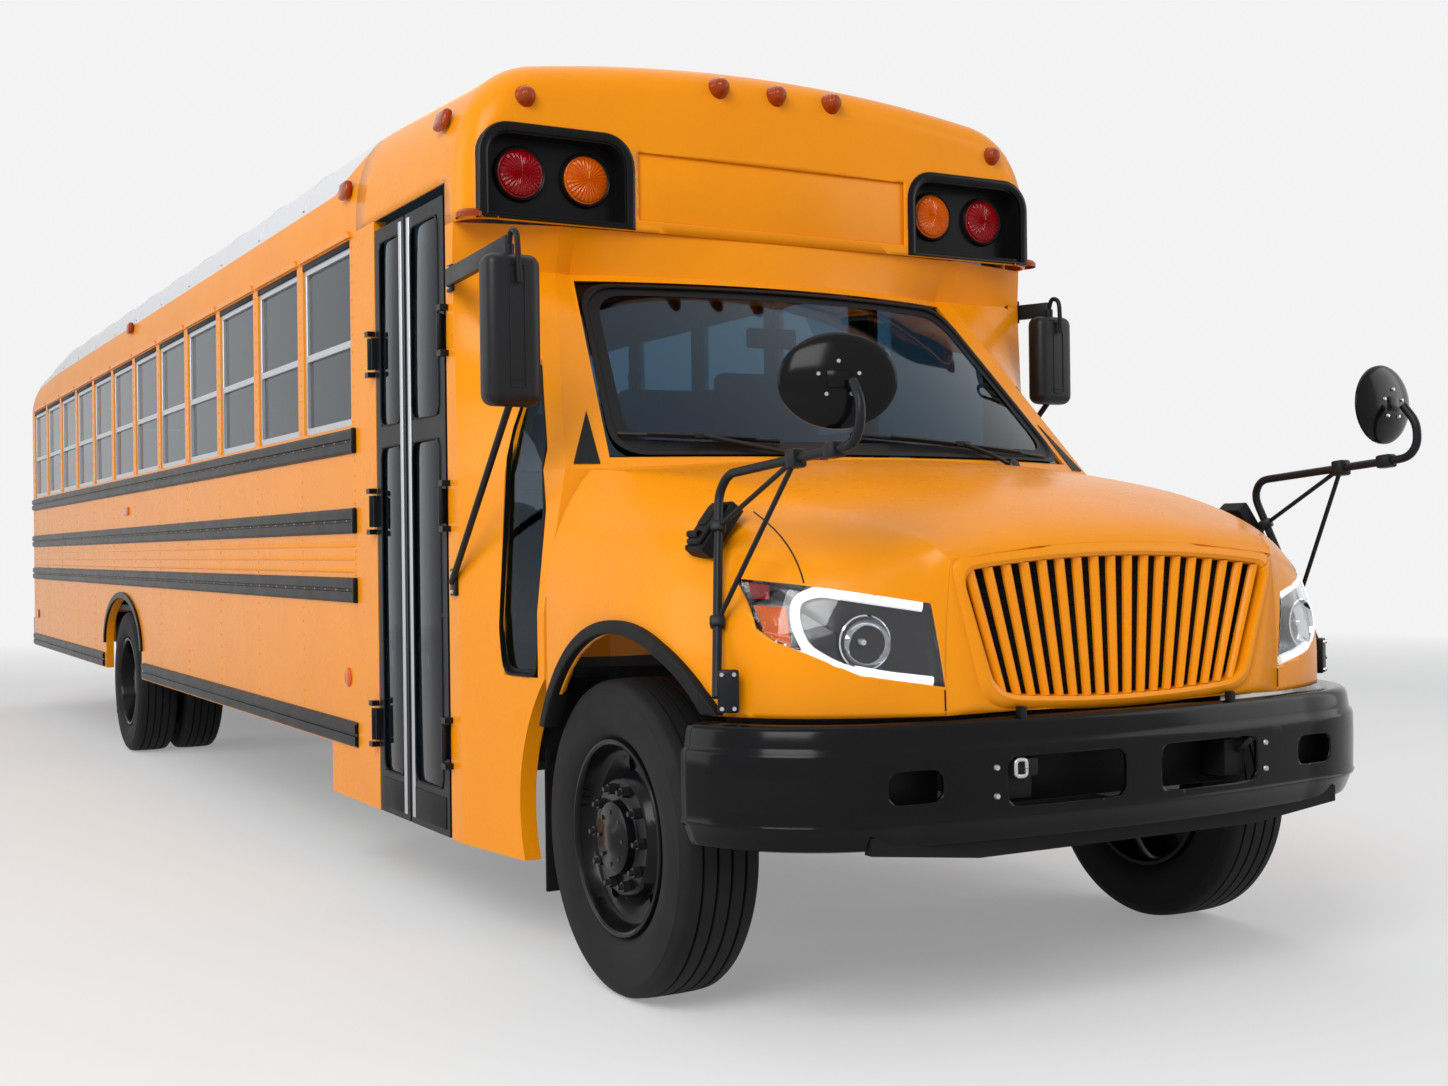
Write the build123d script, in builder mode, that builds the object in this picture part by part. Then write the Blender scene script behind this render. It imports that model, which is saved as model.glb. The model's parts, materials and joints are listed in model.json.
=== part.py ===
from build123d import *
from math import asin, atan2, cos, radians, sin
import os

os.makedirs("parts", exist_ok=True)

# Driving dimensions in millimetres. The bus faces -Y, its entrance door is on the -X side, and Z = 0 is the road.

# Overall layout
HALF_WIDTH = 1219.0
FRONT_REACH = 1112.0
REAR_REACH = 11590.0
WHEELBASE = 7250.0
WALL = 50.0
SHEET = 30.0

# Stations along the bus, measured back from the front axle
FRONT_AXLE_Y = (FRONT_REACH - REAR_REACH) / 2
REAR_AXLE_Y = FRONT_AXLE_Y + WHEELBASE
DOOR_FRONT_Y = FRONT_AXLE_Y + 1085.0
DOOR_REAR_Y = FRONT_AXLE_Y + 1855.0
WINDOW_START_Y = FRONT_AXLE_Y + 2120.0
WINDOW_PITCH = 775.0
WINDOW_COUNT = 12
REAR_POST = 100.0
BODY_REAR_Y = WINDOW_START_Y + WINDOW_COUNT * WINDOW_PITCH + REAR_POST
HOOD_REAR_Y = FRONT_AXLE_Y + 420.0
NOSE_Y = FRONT_AXLE_Y - 905.0
CAP_FRONT_Y = FRONT_AXLE_Y + 885.0
CAP_REAR_Y = FRONT_AXLE_Y + 2080.0

# Heights
SKIRT_Z = 515.0
FLOOR_Z = 960.0
FLOOR_THICK = 35.0
SILL_Z = 1800.0
WINDOW_TOP_Z = 2520.0
MID_BAR_Z = 2130.0
EAVE_Z = 2560.0
SHOULDER_Z = 2965.0
SHOULDER_X = 820.0
HAUNCH_X = 1100.0
HAUNCH_Z = 2842.0
CROWN_Z = 3040.0
HAUNCH_FOOT_Z = 1100.0
COWL_TOP_Z = 1550.0
GLASS_TOP_Z = 2260.0
LIP_Z = 2410.0
COWL_BOTTOM_Z = 310.0
HOOD_BOTTOM_Z = 855.0

# Wheels
TYRE_RADIUS = 460.0
TYRE_WIDTH = 250.0
RIM_RADIUS = 286.0
RIM_LIP = 14.0
FRONT_WHEEL_X = 1010.0
KINGPIN_X = 880.0
TWIN_OUTER_X = 1078.0
TWIN_SPACING = 290.0
ARCH_RADIUS = 590.0
ARCH_Z = 490.0
REAR_ARCH_RADIUS = 640.0
REAR_ARCH_TOP_Z = 1010.0
FLARE = 38.0

# Windows and door
WINDOW_WIDTH = 685.0
SASH = 30.0
SASH_DEPTH = 34.0
PANE = 6.0
DOOR_BOTTOM_Z = 312.0
DOOR_TOP_Z = 2520.0
DOOR_THICK = 38.0
DOOR_STILE = 55.0
DOOR_GAP = 10.0
MEET_GAP = 16.0
KICK_TOP_Z = 470.0
DOOR_MID_LOW_Z = 1690.0
DOOR_MID_HIGH_Z = 1770.0

# Frame, bumpers and running gear
RAIL_X = 430.0
RAIL_HEIGHT = 255.0
RAIL_FLANGE = 80.0
RAIL_TOP_Z = 870.0
RAIL_WALL = 12.0
BUMPER_LOW_Z = 522.0
BUMPER_HIGH_Z = 845.0
BUMPER_WALL = 45.0
SPRING_X = 430.0

# Door hinges: a pin standing off the wall, the leaf's edge beside it, and lugs on the wall above and below
HINGE_OFFSET = 22.0
HINGE_PIN = 9.0
HINGE_BARREL = 60.0
HINGE_LUG = 20.0
HINGE_GAP = 8.0
DOOR_HINGE_Z = (640.0, 1450.0, 2050.0)
EXIT_HINGE_Z = (1200.0, 2200.0)


def block(x, y, z, mode=Mode.ADD):
    """Adds a box to the open part, from spans (low, high) along each axis."""
    centre = ((x[0] + x[1]) / 2, (y[0] + y[1]) / 2, (z[0] + z[1]) / 2)
    with Locations(centre):
        Box(x[1] - x[0], y[1] - y[0], z[1] - z[0], mode=mode)


def cross_cylinder(x, y, z, radius, mode=Mode.ADD):
    """Adds a cylinder lying along X to the open part, from a span along X and a centre."""
    with Locations(Location(((x[0] + x[1]) / 2, y, z), (0, 90, 0))):
        Cylinder(radius, x[1] - x[0], mode=mode)


def rod(start, end, radius):
    """Adds a straight round rod between two points to the open part."""
    reach = Vector(*end) - Vector(*start)
    with BuildSketch(Plane(origin=start, z_dir=reach)) as section:
        Circle(radius)
    extrude(section.sketch, amount=reach.length)


def bent_tube(points, radius, sides):
    """Adds a bar of many flat sides that follows a polyline to the open part, with mitred corners."""
    with BuildLine() as path:
        Polyline(*points)
    with BuildSketch(Plane(origin=points[0], z_dir=path.line % 0)) as section:
        RegularPolygon(radius, sides)
    sweep(section.sketch, path=path.line, transition=Transition.RIGHT)


def hinge_block(axis, along, out, reach_along, reach_out, z):
    """Adds a box beside an upright hinge axis, from its reaches along the wall and out of it."""
    spots = [(axis[0] + a * along[0] + o * out[0], axis[1] + a * along[1] + o * out[1])
             for a in reach_along for o in reach_out]
    block((min(x for x, _ in spots), max(x for x, _ in spots)), (min(y for _, y in spots), max(y for _, y in spots)), z)


def hinge_barrel(axis, along, out, middle_z):
    """Adds a hinge's pin and the strap that holds it to the leaf to the open part."""
    span = (middle_z - HINGE_BARREL, middle_z + HINGE_BARREL)
    with Locations((axis[0], axis[1], middle_z)):
        Cylinder(HINGE_PIN, 2 * HINGE_BARREL)
    hinge_block(axis, along, out, (4, 30), (3 - HINGE_OFFSET * 0.75, 0), span)
    hinge_block(axis, along, out, (12, 30), (-HINGE_OFFSET - 2, 0), span)


def hinge_lugs(axis, along, out, middle_z):
    """Adds the two lugs on the wall that carry a hinge's pin to the open part."""
    for low in (middle_z - HINGE_BARREL - HINGE_GAP - HINGE_LUG, middle_z + HINGE_BARREL + HINGE_GAP):
        hinge_block(axis, along, out, (-35, 4), (-HINGE_OFFSET, HINGE_PIN), (low, low + HINGE_LUG))


def save(piece, name):
    """Labels a finished piece and writes it as its own file."""
    piece.part.label = name
    export_step(piece.part, f"parts/{name}.step")


def roof_outline(inset, base_z):
    """Draws the roof's closed cross section in the open sketch, drawn in by an inset."""
    low = (HALF_WIDTH - inset, EAVE_Z)
    haunch = (HAUNCH_X - inset * 0.8, HAUNCH_Z - inset * 0.6)
    shoulder = (SHOULDER_X - inset * 0.3, SHOULDER_Z - inset)
    with BuildLine() as outline:
        ThreePointArc(low, haunch, shoulder)
        ThreePointArc(shoulder, (0, CROWN_Z - inset), (-shoulder[0], shoulder[1]))
        ThreePointArc((-shoulder[0], shoulder[1]), (-haunch[0], haunch[1]), (-low[0], low[1]))
        if base_z < low[1]:
            Polyline((-low[0], low[1]), (-low[0], base_z), (low[0], base_z), low)
        else:
            Line((-low[0], low[1]), low)
    make_face(outline.edges())


# Chassis frame: two channel rails, and the cross members between them
RAIL_FRONT_Y = FRONT_AXLE_Y - 850.0
RAIL_REAR_Y = BODY_REAR_Y - 60.0
CROSS_MEMBER_Y = [FRONT_AXLE_Y + step for step in (-690, 1500, 3300, 5100, 6500, 8100, 9600, 11200)]
with BuildPart() as frame_rails:
    for side in (-1, 1):
        outer, inner = side * RAIL_X, side * (RAIL_X - RAIL_FLANGE)
        span = (min(outer, inner), max(outer, inner))
        block(span, (RAIL_FRONT_Y, RAIL_REAR_Y), (RAIL_TOP_Z - RAIL_HEIGHT, RAIL_TOP_Z))
        hollow = (min(inner, outer - side * RAIL_WALL), max(inner, outer - side * RAIL_WALL))
        block(hollow, (RAIL_FRONT_Y, RAIL_REAR_Y),
              (RAIL_TOP_Z - RAIL_HEIGHT + RAIL_WALL, RAIL_TOP_Z - RAIL_WALL), Mode.SUBTRACT)
save(frame_rails, "frame_rails")

with BuildPart() as cross_members:
    for member_y in CROSS_MEMBER_Y:
        block((-RAIL_X + RAIL_WALL, RAIL_X - RAIL_WALL), (member_y - 30, member_y + 30),
              (RAIL_TOP_Z - RAIL_HEIGHT + 40, RAIL_TOP_Z - 40))
save(cross_members, "cross_members")


def window_centres():
    """Gives the centre of each side window along the bus."""
    return [WINDOW_START_Y + (index + 0.5) * WINDOW_PITCH for index in range(WINDOW_COUNT)]


# Side walls with their windows and the rear wheel arch cut
STOP_RADIUS = 225.0
STOP_CENTRE = (FRONT_AXLE_Y + 1650.0, 1440.0)
STOP_X = HALF_WIDTH + 22.0
STOP_HINGE_Y = STOP_CENTRE[0] - STOP_RADIUS - 60
STOP_PIN = 11.0
STOP_PIN_X = STOP_X + STOP_PIN
STOP_BARREL = 80.0
LUG_THICK = 20.0
LUG_GAP = 8.0
DRIVER_WINDOW_Y = (FRONT_AXLE_Y + 1180.0, FRONT_AXLE_Y + 2010.0)
LOW_SKIRT_REAR_Y = FRONT_AXLE_Y + 2480.0
FRONT_LEAF_AXIS = (-HALF_WIDTH - HINGE_OFFSET, DOOR_FRONT_Y)
REAR_LEAF_AXIS = (-HALF_WIDTH - HINGE_OFFSET, DOOR_REAR_Y)
ARCH_RISE = 320.0
for name, side, front_y in (("side_wall_right", -1, DOOR_REAR_Y), ("side_wall_left", 1, DOOR_FRONT_Y)):
    wall_x = sorted((side * HALF_WIDTH, side * (HALF_WIDTH - WALL)))
    with BuildPart() as side_wall:
        block(wall_x, (front_y, BODY_REAR_Y), (SKIRT_Z, EAVE_Z))
        for window_y in window_centres():
            block(wall_x, (window_y - WINDOW_WIDTH / 2, window_y + WINDOW_WIDTH / 2), (SILL_Z, WINDOW_TOP_Z),
                  Mode.SUBTRACT)
        if side > 0:
            block(wall_x, DRIVER_WINDOW_Y, (SILL_Z - 120, WINDOW_TOP_Z), Mode.SUBTRACT)
            for lug_z in (STOP_CENTRE[1] - STOP_BARREL - LUG_GAP - LUG_THICK, STOP_CENTRE[1] + STOP_BARREL + LUG_GAP):
                block((HALF_WIDTH, STOP_PIN_X + STOP_PIN), (STOP_HINGE_Y - STOP_PIN, STOP_HINGE_Y + STOP_PIN),
                      (lug_z, lug_z + LUG_THICK))
        else:
            block((-HALF_WIDTH, -HALF_WIDTH + SHEET), (DOOR_REAR_Y, LOW_SKIRT_REAR_Y), (COWL_BOTTOM_Z, SKIRT_Z))
            for hinge_z in DOOR_HINGE_Z:
                hinge_lugs(REAR_LEAF_AXIS, (0, -1), (-1, 0), hinge_z)
        block(wall_x, (REAR_AXLE_Y - REAR_ARCH_RADIUS, REAR_AXLE_Y + REAR_ARCH_RADIUS),
              (SKIRT_Z, REAR_ARCH_TOP_Z - ARCH_RISE), Mode.SUBTRACT)
        with BuildSketch(Plane.YZ.offset(wall_x[0])):
            with Locations((REAR_AXLE_Y, REAR_ARCH_TOP_Z - ARCH_RISE)):
                Ellipse(REAR_ARCH_RADIUS, ARCH_RISE)
        extrude(amount=WALL, mode=Mode.SUBTRACT)
    save(side_wall, name)

# Roof skin and front cap share one cross section, and the cap rounds off to its face in steps
NOSE_ROUND = 115.0
NOSE_STEPS = 4
HOUSING_X = (615.0, 1140.0)
HOUSING_Z = (2425.0, 2715.0)
HOUSING_ROUND = 85.0
HOUSING_DEPTH = 75.0
HOUSING_WALL = 10.0
BROW_HALF = 570.0
BROW_Z = (2450.0, 2690.0)
BROW_DEPTH = 8.0
CAP_JOIN = 4.0


def lamp_recess(side, inset):
    """Draws the mouth of a front lamp housing in the open sketch, round at its two upper corners."""
    low_x, high_x = sorted((side * (HOUSING_X[0] + inset), side * (HOUSING_X[1] - inset)))
    low_z, high_z = HOUSING_Z[0] + inset, HOUSING_Z[1] - inset
    bend = HOUSING_ROUND - inset
    turn = bend * (1 - sin(radians(45)))
    with BuildLine() as outline:
        Polyline((low_x, high_z - bend), (low_x, low_z), (high_x, low_z), (high_x, high_z - bend))
        ThreePointArc((high_x, high_z - bend), (high_x - turn, high_z - turn), (high_x - bend, high_z))
        Line((high_x - bend, high_z), (low_x + bend, high_z))
        ThreePointArc((low_x + bend, high_z), (low_x + turn, high_z - turn), (low_x, high_z - bend))
    make_face(outline.edges())


with BuildPart() as roof:
    with BuildSketch(Plane.XZ.offset(-CAP_REAR_Y)):
        roof_outline(0, EAVE_Z)
    extrude(amount=CAP_REAR_Y - BODY_REAR_Y)
    with BuildSketch(Plane.XZ.offset(-CAP_REAR_Y)):
        roof_outline(WALL, EAVE_Z - 1)
    extrude(amount=CAP_REAR_Y - BODY_REAR_Y, mode=Mode.SUBTRACT)
save(roof, "roof")

with BuildPart() as cap_form:
    for step in range(NOSE_STEPS + 1):
        turn = radians(90 * step / NOSE_STEPS)
        with BuildSketch(Plane.XZ.offset(-(CAP_FRONT_Y + NOSE_ROUND * (1 - cos(turn))))):
            roof_outline(NOSE_ROUND * (1 - sin(turn)), LIP_Z)
    loft(ruled=True)
    with BuildSketch(Plane.XZ.offset(-(CAP_FRONT_Y + NOSE_ROUND))):
        roof_outline(0, LIP_Z)
    extrude(amount=CAP_FRONT_Y + NOSE_ROUND - CAP_REAR_Y + CAP_JOIN)

with BuildPart() as front_cap:
    add(cap_form.part)
    with BuildSketch(Plane.XZ.offset(-(CAP_FRONT_Y + WALL))):
        roof_outline(NOSE_ROUND, LIP_Z - 1)
    extrude(amount=-NOSE_ROUND, mode=Mode.SUBTRACT)
    with BuildSketch(Plane.XZ.offset(-(CAP_FRONT_Y + NOSE_ROUND))):
        roof_outline(WALL, LIP_Z - 1)
    extrude(amount=CAP_FRONT_Y + NOSE_ROUND - CAP_REAR_Y, mode=Mode.SUBTRACT)
    block((-HALF_WIDTH, HALF_WIDTH), (DOOR_FRONT_Y - DOOR_GAP, CAP_REAR_Y), (LIP_Z, EAVE_Z), Mode.SUBTRACT)
    block((-BROW_HALF, BROW_HALF), (CAP_FRONT_Y - 1, CAP_FRONT_Y + BROW_DEPTH), BROW_Z, Mode.SUBTRACT)
    for side in (-1, 1):
        with BuildSketch(Plane.XZ.offset(-CAP_FRONT_Y)):
            lamp_recess(side, 0)
        extrude(amount=-HOUSING_DEPTH - HOUSING_WALL, mode=Mode.SUBTRACT)
save(front_cap, "front_cap")

# Rear wall with the opening of the emergency door and two windows
EXIT_HALF = 330.0
EXIT_BOTTOM_Z = FLOOR_Z
EXIT_TOP_Z = 2430.0
REAR_WINDOW_X = (470.0, 1040.0)
REAR_WINDOW_Z = (1800.0, 2380.0)
EXIT_AXIS = (-EXIT_HALF - 2, BODY_REAR_Y + HINGE_OFFSET)
with BuildPart() as rear_wall:
    with BuildSketch(Plane.XZ.offset(-BODY_REAR_Y)):
        roof_outline(WALL + 0.5, SKIRT_Z)
    extrude(amount=WALL)
    block((-EXIT_HALF, EXIT_HALF), (BODY_REAR_Y - WALL, BODY_REAR_Y), (EXIT_BOTTOM_Z, EXIT_TOP_Z), Mode.SUBTRACT)
    for side in (-1, 1):
        block(sorted((side * REAR_WINDOW_X[0], side * REAR_WINDOW_X[1])), (BODY_REAR_Y - WALL, BODY_REAR_Y),
              REAR_WINDOW_Z, Mode.SUBTRACT)
    for hinge_z in EXIT_HINGE_Z:
        hinge_lugs(EXIT_AXIS, (1, 0), (0, 1), hinge_z)
save(rear_wall, "rear_wall")

# Front of the body in plan: station height, outer corner, hood or pillar corner, glass corner, centre of the bow
PLAN_COLUMNS = ("z", "corner_x", "corner_y", "pillar_x", "pillar_y", "glass_x", "glass_y", "bow_y")
FOOT_PLAN = dict(zip(PLAN_COLUMNS, (HAUNCH_FOOT_Z, HALF_WIDTH, 975, 1148, 432, 950, 372, 122)))
COWL_PLAN = dict(zip(PLAN_COLUMNS, (COWL_TOP_Z, HALF_WIDTH, 975, 1068, 432, 948, 372, 122)))
HEAD_PLAN = dict(zip(PLAN_COLUMNS, (GLASS_TOP_Z, HALF_WIDTH, 1010, 850, 985, 790, 1000, 860)))
LIP_PLAN = dict(zip(PLAN_COLUMNS, (LIP_Z, HALF_WIDTH, 1000, 860, 915, 800, 915, 890)))


def front_plan(plan, inset):
    """Draws a plan section of the body's front in the open sketch, drawn in by an inset."""
    rear = DOOR_FRONT_Y - DOOR_GAP
    corner = (plan["corner_x"] - inset, FRONT_AXLE_Y + plan["corner_y"] + inset * 0.1)
    pillar = (plan["pillar_x"] - inset, FRONT_AXLE_Y + plan["pillar_y"] + inset)
    glass = (plan["glass_x"] - inset * 0.5, FRONT_AXLE_Y + plan["glass_y"] + inset)
    bow = (0, FRONT_AXLE_Y + plan["bow_y"] + inset)
    with BuildLine() as outline:
        Polyline((corner[0], rear), corner, pillar, glass)
        ThreePointArc(glass, bow, (-glass[0], glass[1]))
        Polyline((-glass[0], glass[1]), (-pillar[0], pillar[1]), (-corner[0], corner[1]), (-corner[0], rear))
        Line((-corner[0], rear), (corner[0], rear))
    make_face(outline.edges())


# Floor slab with the step well beside the entrance door
STEP_INNER_X = -560.0
STEPS = 3
STEP_RISE = (FLOOR_Z - COWL_BOTTOM_Z - FLOOR_THICK) / STEPS
STEP_RUN = (HALF_WIDTH - WALL + STEP_INNER_X) / (STEPS - 1) - 20
with BuildPart() as floor:
    inside = HALF_WIDTH - WALL
    with BuildSketch(Plane.XY.offset(FLOOR_Z - FLOOR_THICK)):
        front_plan(FOOT_PLAN, WALL + 1)
    extrude(amount=FLOOR_THICK)
    block((-inside, inside), (DOOR_FRONT_Y - DOOR_GAP, BODY_REAR_Y - WALL), (FLOOR_Z - FLOOR_THICK, FLOOR_Z))
    block((-inside - 1, STEP_INNER_X), (DOOR_FRONT_Y - 1, DOOR_REAR_Y), (0, FLOOR_Z + 1), Mode.SUBTRACT)
    for step in range(STEPS - 1):
        edge = STEP_INNER_X - step * STEP_RUN
        step_z = FLOOR_Z - (step + 1) * STEP_RISE
        block((edge - STEP_RUN, edge), (DOOR_FRONT_Y, DOOR_REAR_Y), (step_z - SHEET, step_z))
        block((edge - SHEET / 2, edge + SHEET / 2), (DOOR_FRONT_Y, DOOR_REAR_Y),
              (step_z - SHEET, step_z + STEP_RISE))
    last_edge = STEP_INNER_X - (STEPS - 1) * STEP_RUN
    block((last_edge - SHEET / 2, last_edge + SHEET / 2), (DOOR_FRONT_Y, DOOR_REAR_Y),
          (FLOOR_Z - STEPS * STEP_RISE, FLOOR_Z - (STEPS - 1) * STEP_RISE))
    block((-inside + SHEET, last_edge), (DOOR_FRONT_Y, DOOR_REAR_Y),
          (FLOOR_Z - STEPS * STEP_RISE, FLOOR_Z - STEPS * STEP_RISE + SHEET))
save(floor, "floor")


def front_shell(stages, inset, mode=Mode.ADD):
    """Adds the body's front to the open part as a ruled form through its plan stages, drawn in by an inset."""
    for low_plan, high_plan in zip(stages, stages[1:]):
        sections = []
        for plan in (low_plan, high_plan):
            with BuildSketch(Plane.XY.offset(plan["z"])) as section:
                front_plan(plan, inset)
            sections.append(section.sketch.face())
        loft(sections, ruled=True, mode=mode)


# Tall corner windows beside the cowl: their outline seen from the side, from the foot up the front edge
CORNER_GLASS = ((470, 895), (470, 1100), (500, 1430), (560, 1620), (685, 1800), (775, 1935), (735, 1650), (702, 1000),
                (680, 895))
with BuildPart() as corner_openings:
    with BuildSketch(Plane.YZ.offset(-HALF_WIDTH)):
        with BuildLine():
            Polyline(*[(FRONT_AXLE_Y + y, z) for y, z in CORNER_GLASS], close=True)
        make_face()
    extrude(amount=2 * HALF_WIDTH)
    block((-800, 800), (FRONT_AXLE_Y, FRONT_AXLE_Y + 1200), (COWL_BOTTOM_Z, LIP_Z), Mode.SUBTRACT)

# Cowl below the windshield: side panels, firewall and top plate round the driver's feet
COWL_LOW_PLAN = dict(FOOT_PLAN, z=COWL_BOTTOM_Z)
COWL_INNER_PLAN = dict(COWL_PLAN, z=COWL_TOP_Z - WALL)
with BuildPart() as cowl:
    front_shell((COWL_LOW_PLAN, FOOT_PLAN, COWL_PLAN), 0)
    front_shell((COWL_LOW_PLAN, FOOT_PLAN, COWL_INNER_PLAN), WALL, Mode.SUBTRACT)
    block((-HALF_WIDTH + WALL, HALF_WIDTH - WALL), (DOOR_FRONT_Y - 60, DOOR_FRONT_Y),
          (COWL_BOTTOM_Z, COWL_TOP_Z), Mode.SUBTRACT)
    block((-1060, 1060), (FRONT_AXLE_Y, FRONT_AXLE_Y + 560), (COWL_BOTTOM_Z, FLOOR_Z), Mode.SUBTRACT)
    block((-HALF_WIDTH, HALF_WIDTH), (FRONT_AXLE_Y, FRONT_AXLE_Y + 400), (COWL_BOTTOM_Z, FLOOR_Z), Mode.SUBTRACT)
    cross_cylinder((-HALF_WIDTH, HALF_WIDTH), FRONT_AXLE_Y, ARCH_Z, ARCH_RADIUS, Mode.SUBTRACT)
    block((-850, 850), (FRONT_AXLE_Y + 420, DOOR_FRONT_Y - 40), (COWL_TOP_Z - WALL - 1, COWL_TOP_Z),
          Mode.SUBTRACT)
    add(corner_openings.part, mode=Mode.SUBTRACT)
    for hinge_z in DOOR_HINGE_Z:
        if hinge_z < COWL_TOP_Z:
            hinge_lugs(FRONT_LEAF_AXIS, (0, 1), (-1, 0), hinge_z)
save(cowl, "cowl")

# Windshield frame: pillars and brow, with the opening for the one-piece glass
FRAME_STAGES = (COWL_PLAN, HEAD_PLAN, LIP_PLAN)
with BuildPart() as windshield_frame:
    front_shell(FRAME_STAGES, 0)
    front_shell(FRAME_STAGES, WALL, Mode.SUBTRACT)
    block((-HALF_WIDTH + WALL, HALF_WIDTH - WALL), (DOOR_FRONT_Y - 80, DOOR_FRONT_Y), (COWL_TOP_Z, LIP_Z),
          Mode.SUBTRACT)
    add(corner_openings.part, mode=Mode.SUBTRACT)
    for hinge_z in DOOR_HINGE_Z:
        if hinge_z > COWL_TOP_Z:
            hinge_lugs(FRONT_LEAF_AXIS, (0, 1), (-1, 0), hinge_z)


def glass_band(depth_out, depth_in, share_low, share_high, side_inset):
    """Gives the two sections of a band that follows the windshield, to be lofted."""
    sections = []
    for share in (share_low, share_high):
        plan = {key: COWL_PLAN[key] + share * (HEAD_PLAN[key] - COWL_PLAN[key]) for key in COWL_PLAN}
        edge_x = plan["glass_x"] - side_inset
        front_y = FRONT_AXLE_Y + plan["glass_y"]
        bow_y = FRONT_AXLE_Y + plan["bow_y"]
        with BuildSketch(Plane.XY.offset(plan["z"])) as section:
            with BuildLine():
                ThreePointArc((edge_x, front_y - depth_out), (0, bow_y - depth_out), (-edge_x, front_y - depth_out))
                Line((-edge_x, front_y - depth_out), (-edge_x, front_y + depth_in))
                ThreePointArc((-edge_x, front_y + depth_in), (0, bow_y + depth_in), (edge_x, front_y + depth_in))
                Line((edge_x, front_y + depth_in), (edge_x, front_y - depth_out))
            make_face()
        sections.append(section.sketch.face())
    return sections


with windshield_frame:
    loft(glass_band(80, 220, 0.05, 0.965, 10), ruled=True, mode=Mode.SUBTRACT)
save(windshield_frame, "windshield_frame")

# Windshield and the other fixed panes at the front
with BuildPart() as windshield:
    loft(glass_band(-8, 22, 0.055, 0.96, 14), ruled=True)
save(windshield, "windshield")

# Window sashes: an aluminium frame with a bar across, two panes each
with BuildPart() as window_sashes:
    for side in (-1, 1):
        sash_x = sorted((side * (HALF_WIDTH - 8), side * (HALF_WIDTH - 8 - SASH_DEPTH)))
        for window_y in window_centres():
            half = WINDOW_WIDTH / 2
            block(sash_x, (window_y - half, window_y + half), (SILL_Z, WINDOW_TOP_Z))
            for low, high in ((SILL_Z + SASH, MID_BAR_Z - SASH / 2), (MID_BAR_Z + SASH / 2, WINDOW_TOP_Z - SASH)):
                block(sash_x, (window_y - half + SASH, window_y + half - SASH), (low, high), Mode.SUBTRACT)
save(window_sashes, "window_sashes")

GLASS_DEPTH = 18.0
with BuildPart() as corner_panes:
    front_shell((COWL_LOW_PLAN, FOOT_PLAN, COWL_PLAN, HEAD_PLAN), GLASS_DEPTH)
    front_shell((COWL_LOW_PLAN, FOOT_PLAN, COWL_PLAN, HEAD_PLAN), GLASS_DEPTH + PANE, Mode.SUBTRACT)
    add(corner_openings.part, mode=Mode.INTERSECT)

with BuildPart() as side_glass:
    for side in (-1, 1):
        middle = side * (HALF_WIDTH - 8 - SASH_DEPTH / 2)
        for window_y in window_centres():
            half = WINDOW_WIDTH / 2 - SASH
            for low, high in ((SILL_Z + SASH, MID_BAR_Z - SASH / 2), (MID_BAR_Z + SASH / 2, WINDOW_TOP_Z - SASH)):
                block((middle - PANE / 2, middle + PANE / 2), (window_y - half, window_y + half), (low, high))
    driver_x = HALF_WIDTH - 8 - SASH_DEPTH / 2
    block((driver_x - PANE / 2, driver_x + PANE / 2), DRIVER_WINDOW_Y, (SILL_Z - 120, WINDOW_TOP_Z))
    for side in (-1, 1):
        block(sorted((side * REAR_WINDOW_X[0], side * REAR_WINDOW_X[1])),
              (BODY_REAR_Y - 28, BODY_REAR_Y - 28 + PANE), REAR_WINDOW_Z)
    add(corner_panes.part)
save(side_glass, "side_glass")

# Rub rails: low edge, high edge, front end and rear end of each, as a two-ribbed strip
RAIL_COLUMNS = ("low", "high", "front", "rear")
RUB_RAILS = [dict(zip(RAIL_COLUMNS, row)) for row in (
    (1688, 1788, WINDOW_START_Y, BODY_REAR_Y - 20),
    (1370, 1471, WINDOW_START_Y, BODY_REAR_Y - 20),
    (1094, 1194, WINDOW_START_Y, BODY_REAR_Y - 20),
    (SKIRT_Z + 5, 621, WINDOW_START_Y, REAR_AXLE_Y - REAR_ARCH_RADIUS - 60),
    (SKIRT_Z + 5, 621, REAR_AXLE_Y + REAR_ARCH_RADIUS + 60, BODY_REAR_Y - 20),
)]
RAIL_STAND = 16.0
RAIL_BASE = 6.0
ARCH_TRIM = 40.0
with BuildPart() as rub_rails:
    for side in (-1, 1):
        trim_x = sorted((side * HALF_WIDTH, side * (HALF_WIDTH + RAIL_STAND)))
        with BuildSketch(Plane.YZ.offset(trim_x[0])):
            with Locations((REAR_AXLE_Y, REAR_ARCH_TOP_Z - ARCH_RISE)):
                Ellipse(REAR_ARCH_RADIUS + ARCH_TRIM, ARCH_RISE + ARCH_TRIM)
                Ellipse(REAR_ARCH_RADIUS, ARCH_RISE, mode=Mode.SUBTRACT)
                with Locations((0, -ARCH_RISE)):
                    Rectangle(4 * REAR_ARCH_RADIUS, 2 * ARCH_RISE, mode=Mode.SUBTRACT)
        extrude(amount=RAIL_STAND)
        for rail in RUB_RAILS:
            width = rail["high"] - rail["low"]
            run = (rail["front"], rail["rear"])
            base_x = sorted((side * HALF_WIDTH, side * (HALF_WIDTH + RAIL_BASE)))
            rib_x = sorted((side * HALF_WIDTH, side * (HALF_WIDTH + RAIL_STAND)))
            block(base_x, run, (rail["low"], rail["high"]))
            for share in (0.08, 0.56):
                block(rib_x, run, (rail["low"] + share * width, rail["low"] + (share + 0.36) * width))
save(rub_rails, "rub_rails")

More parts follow.
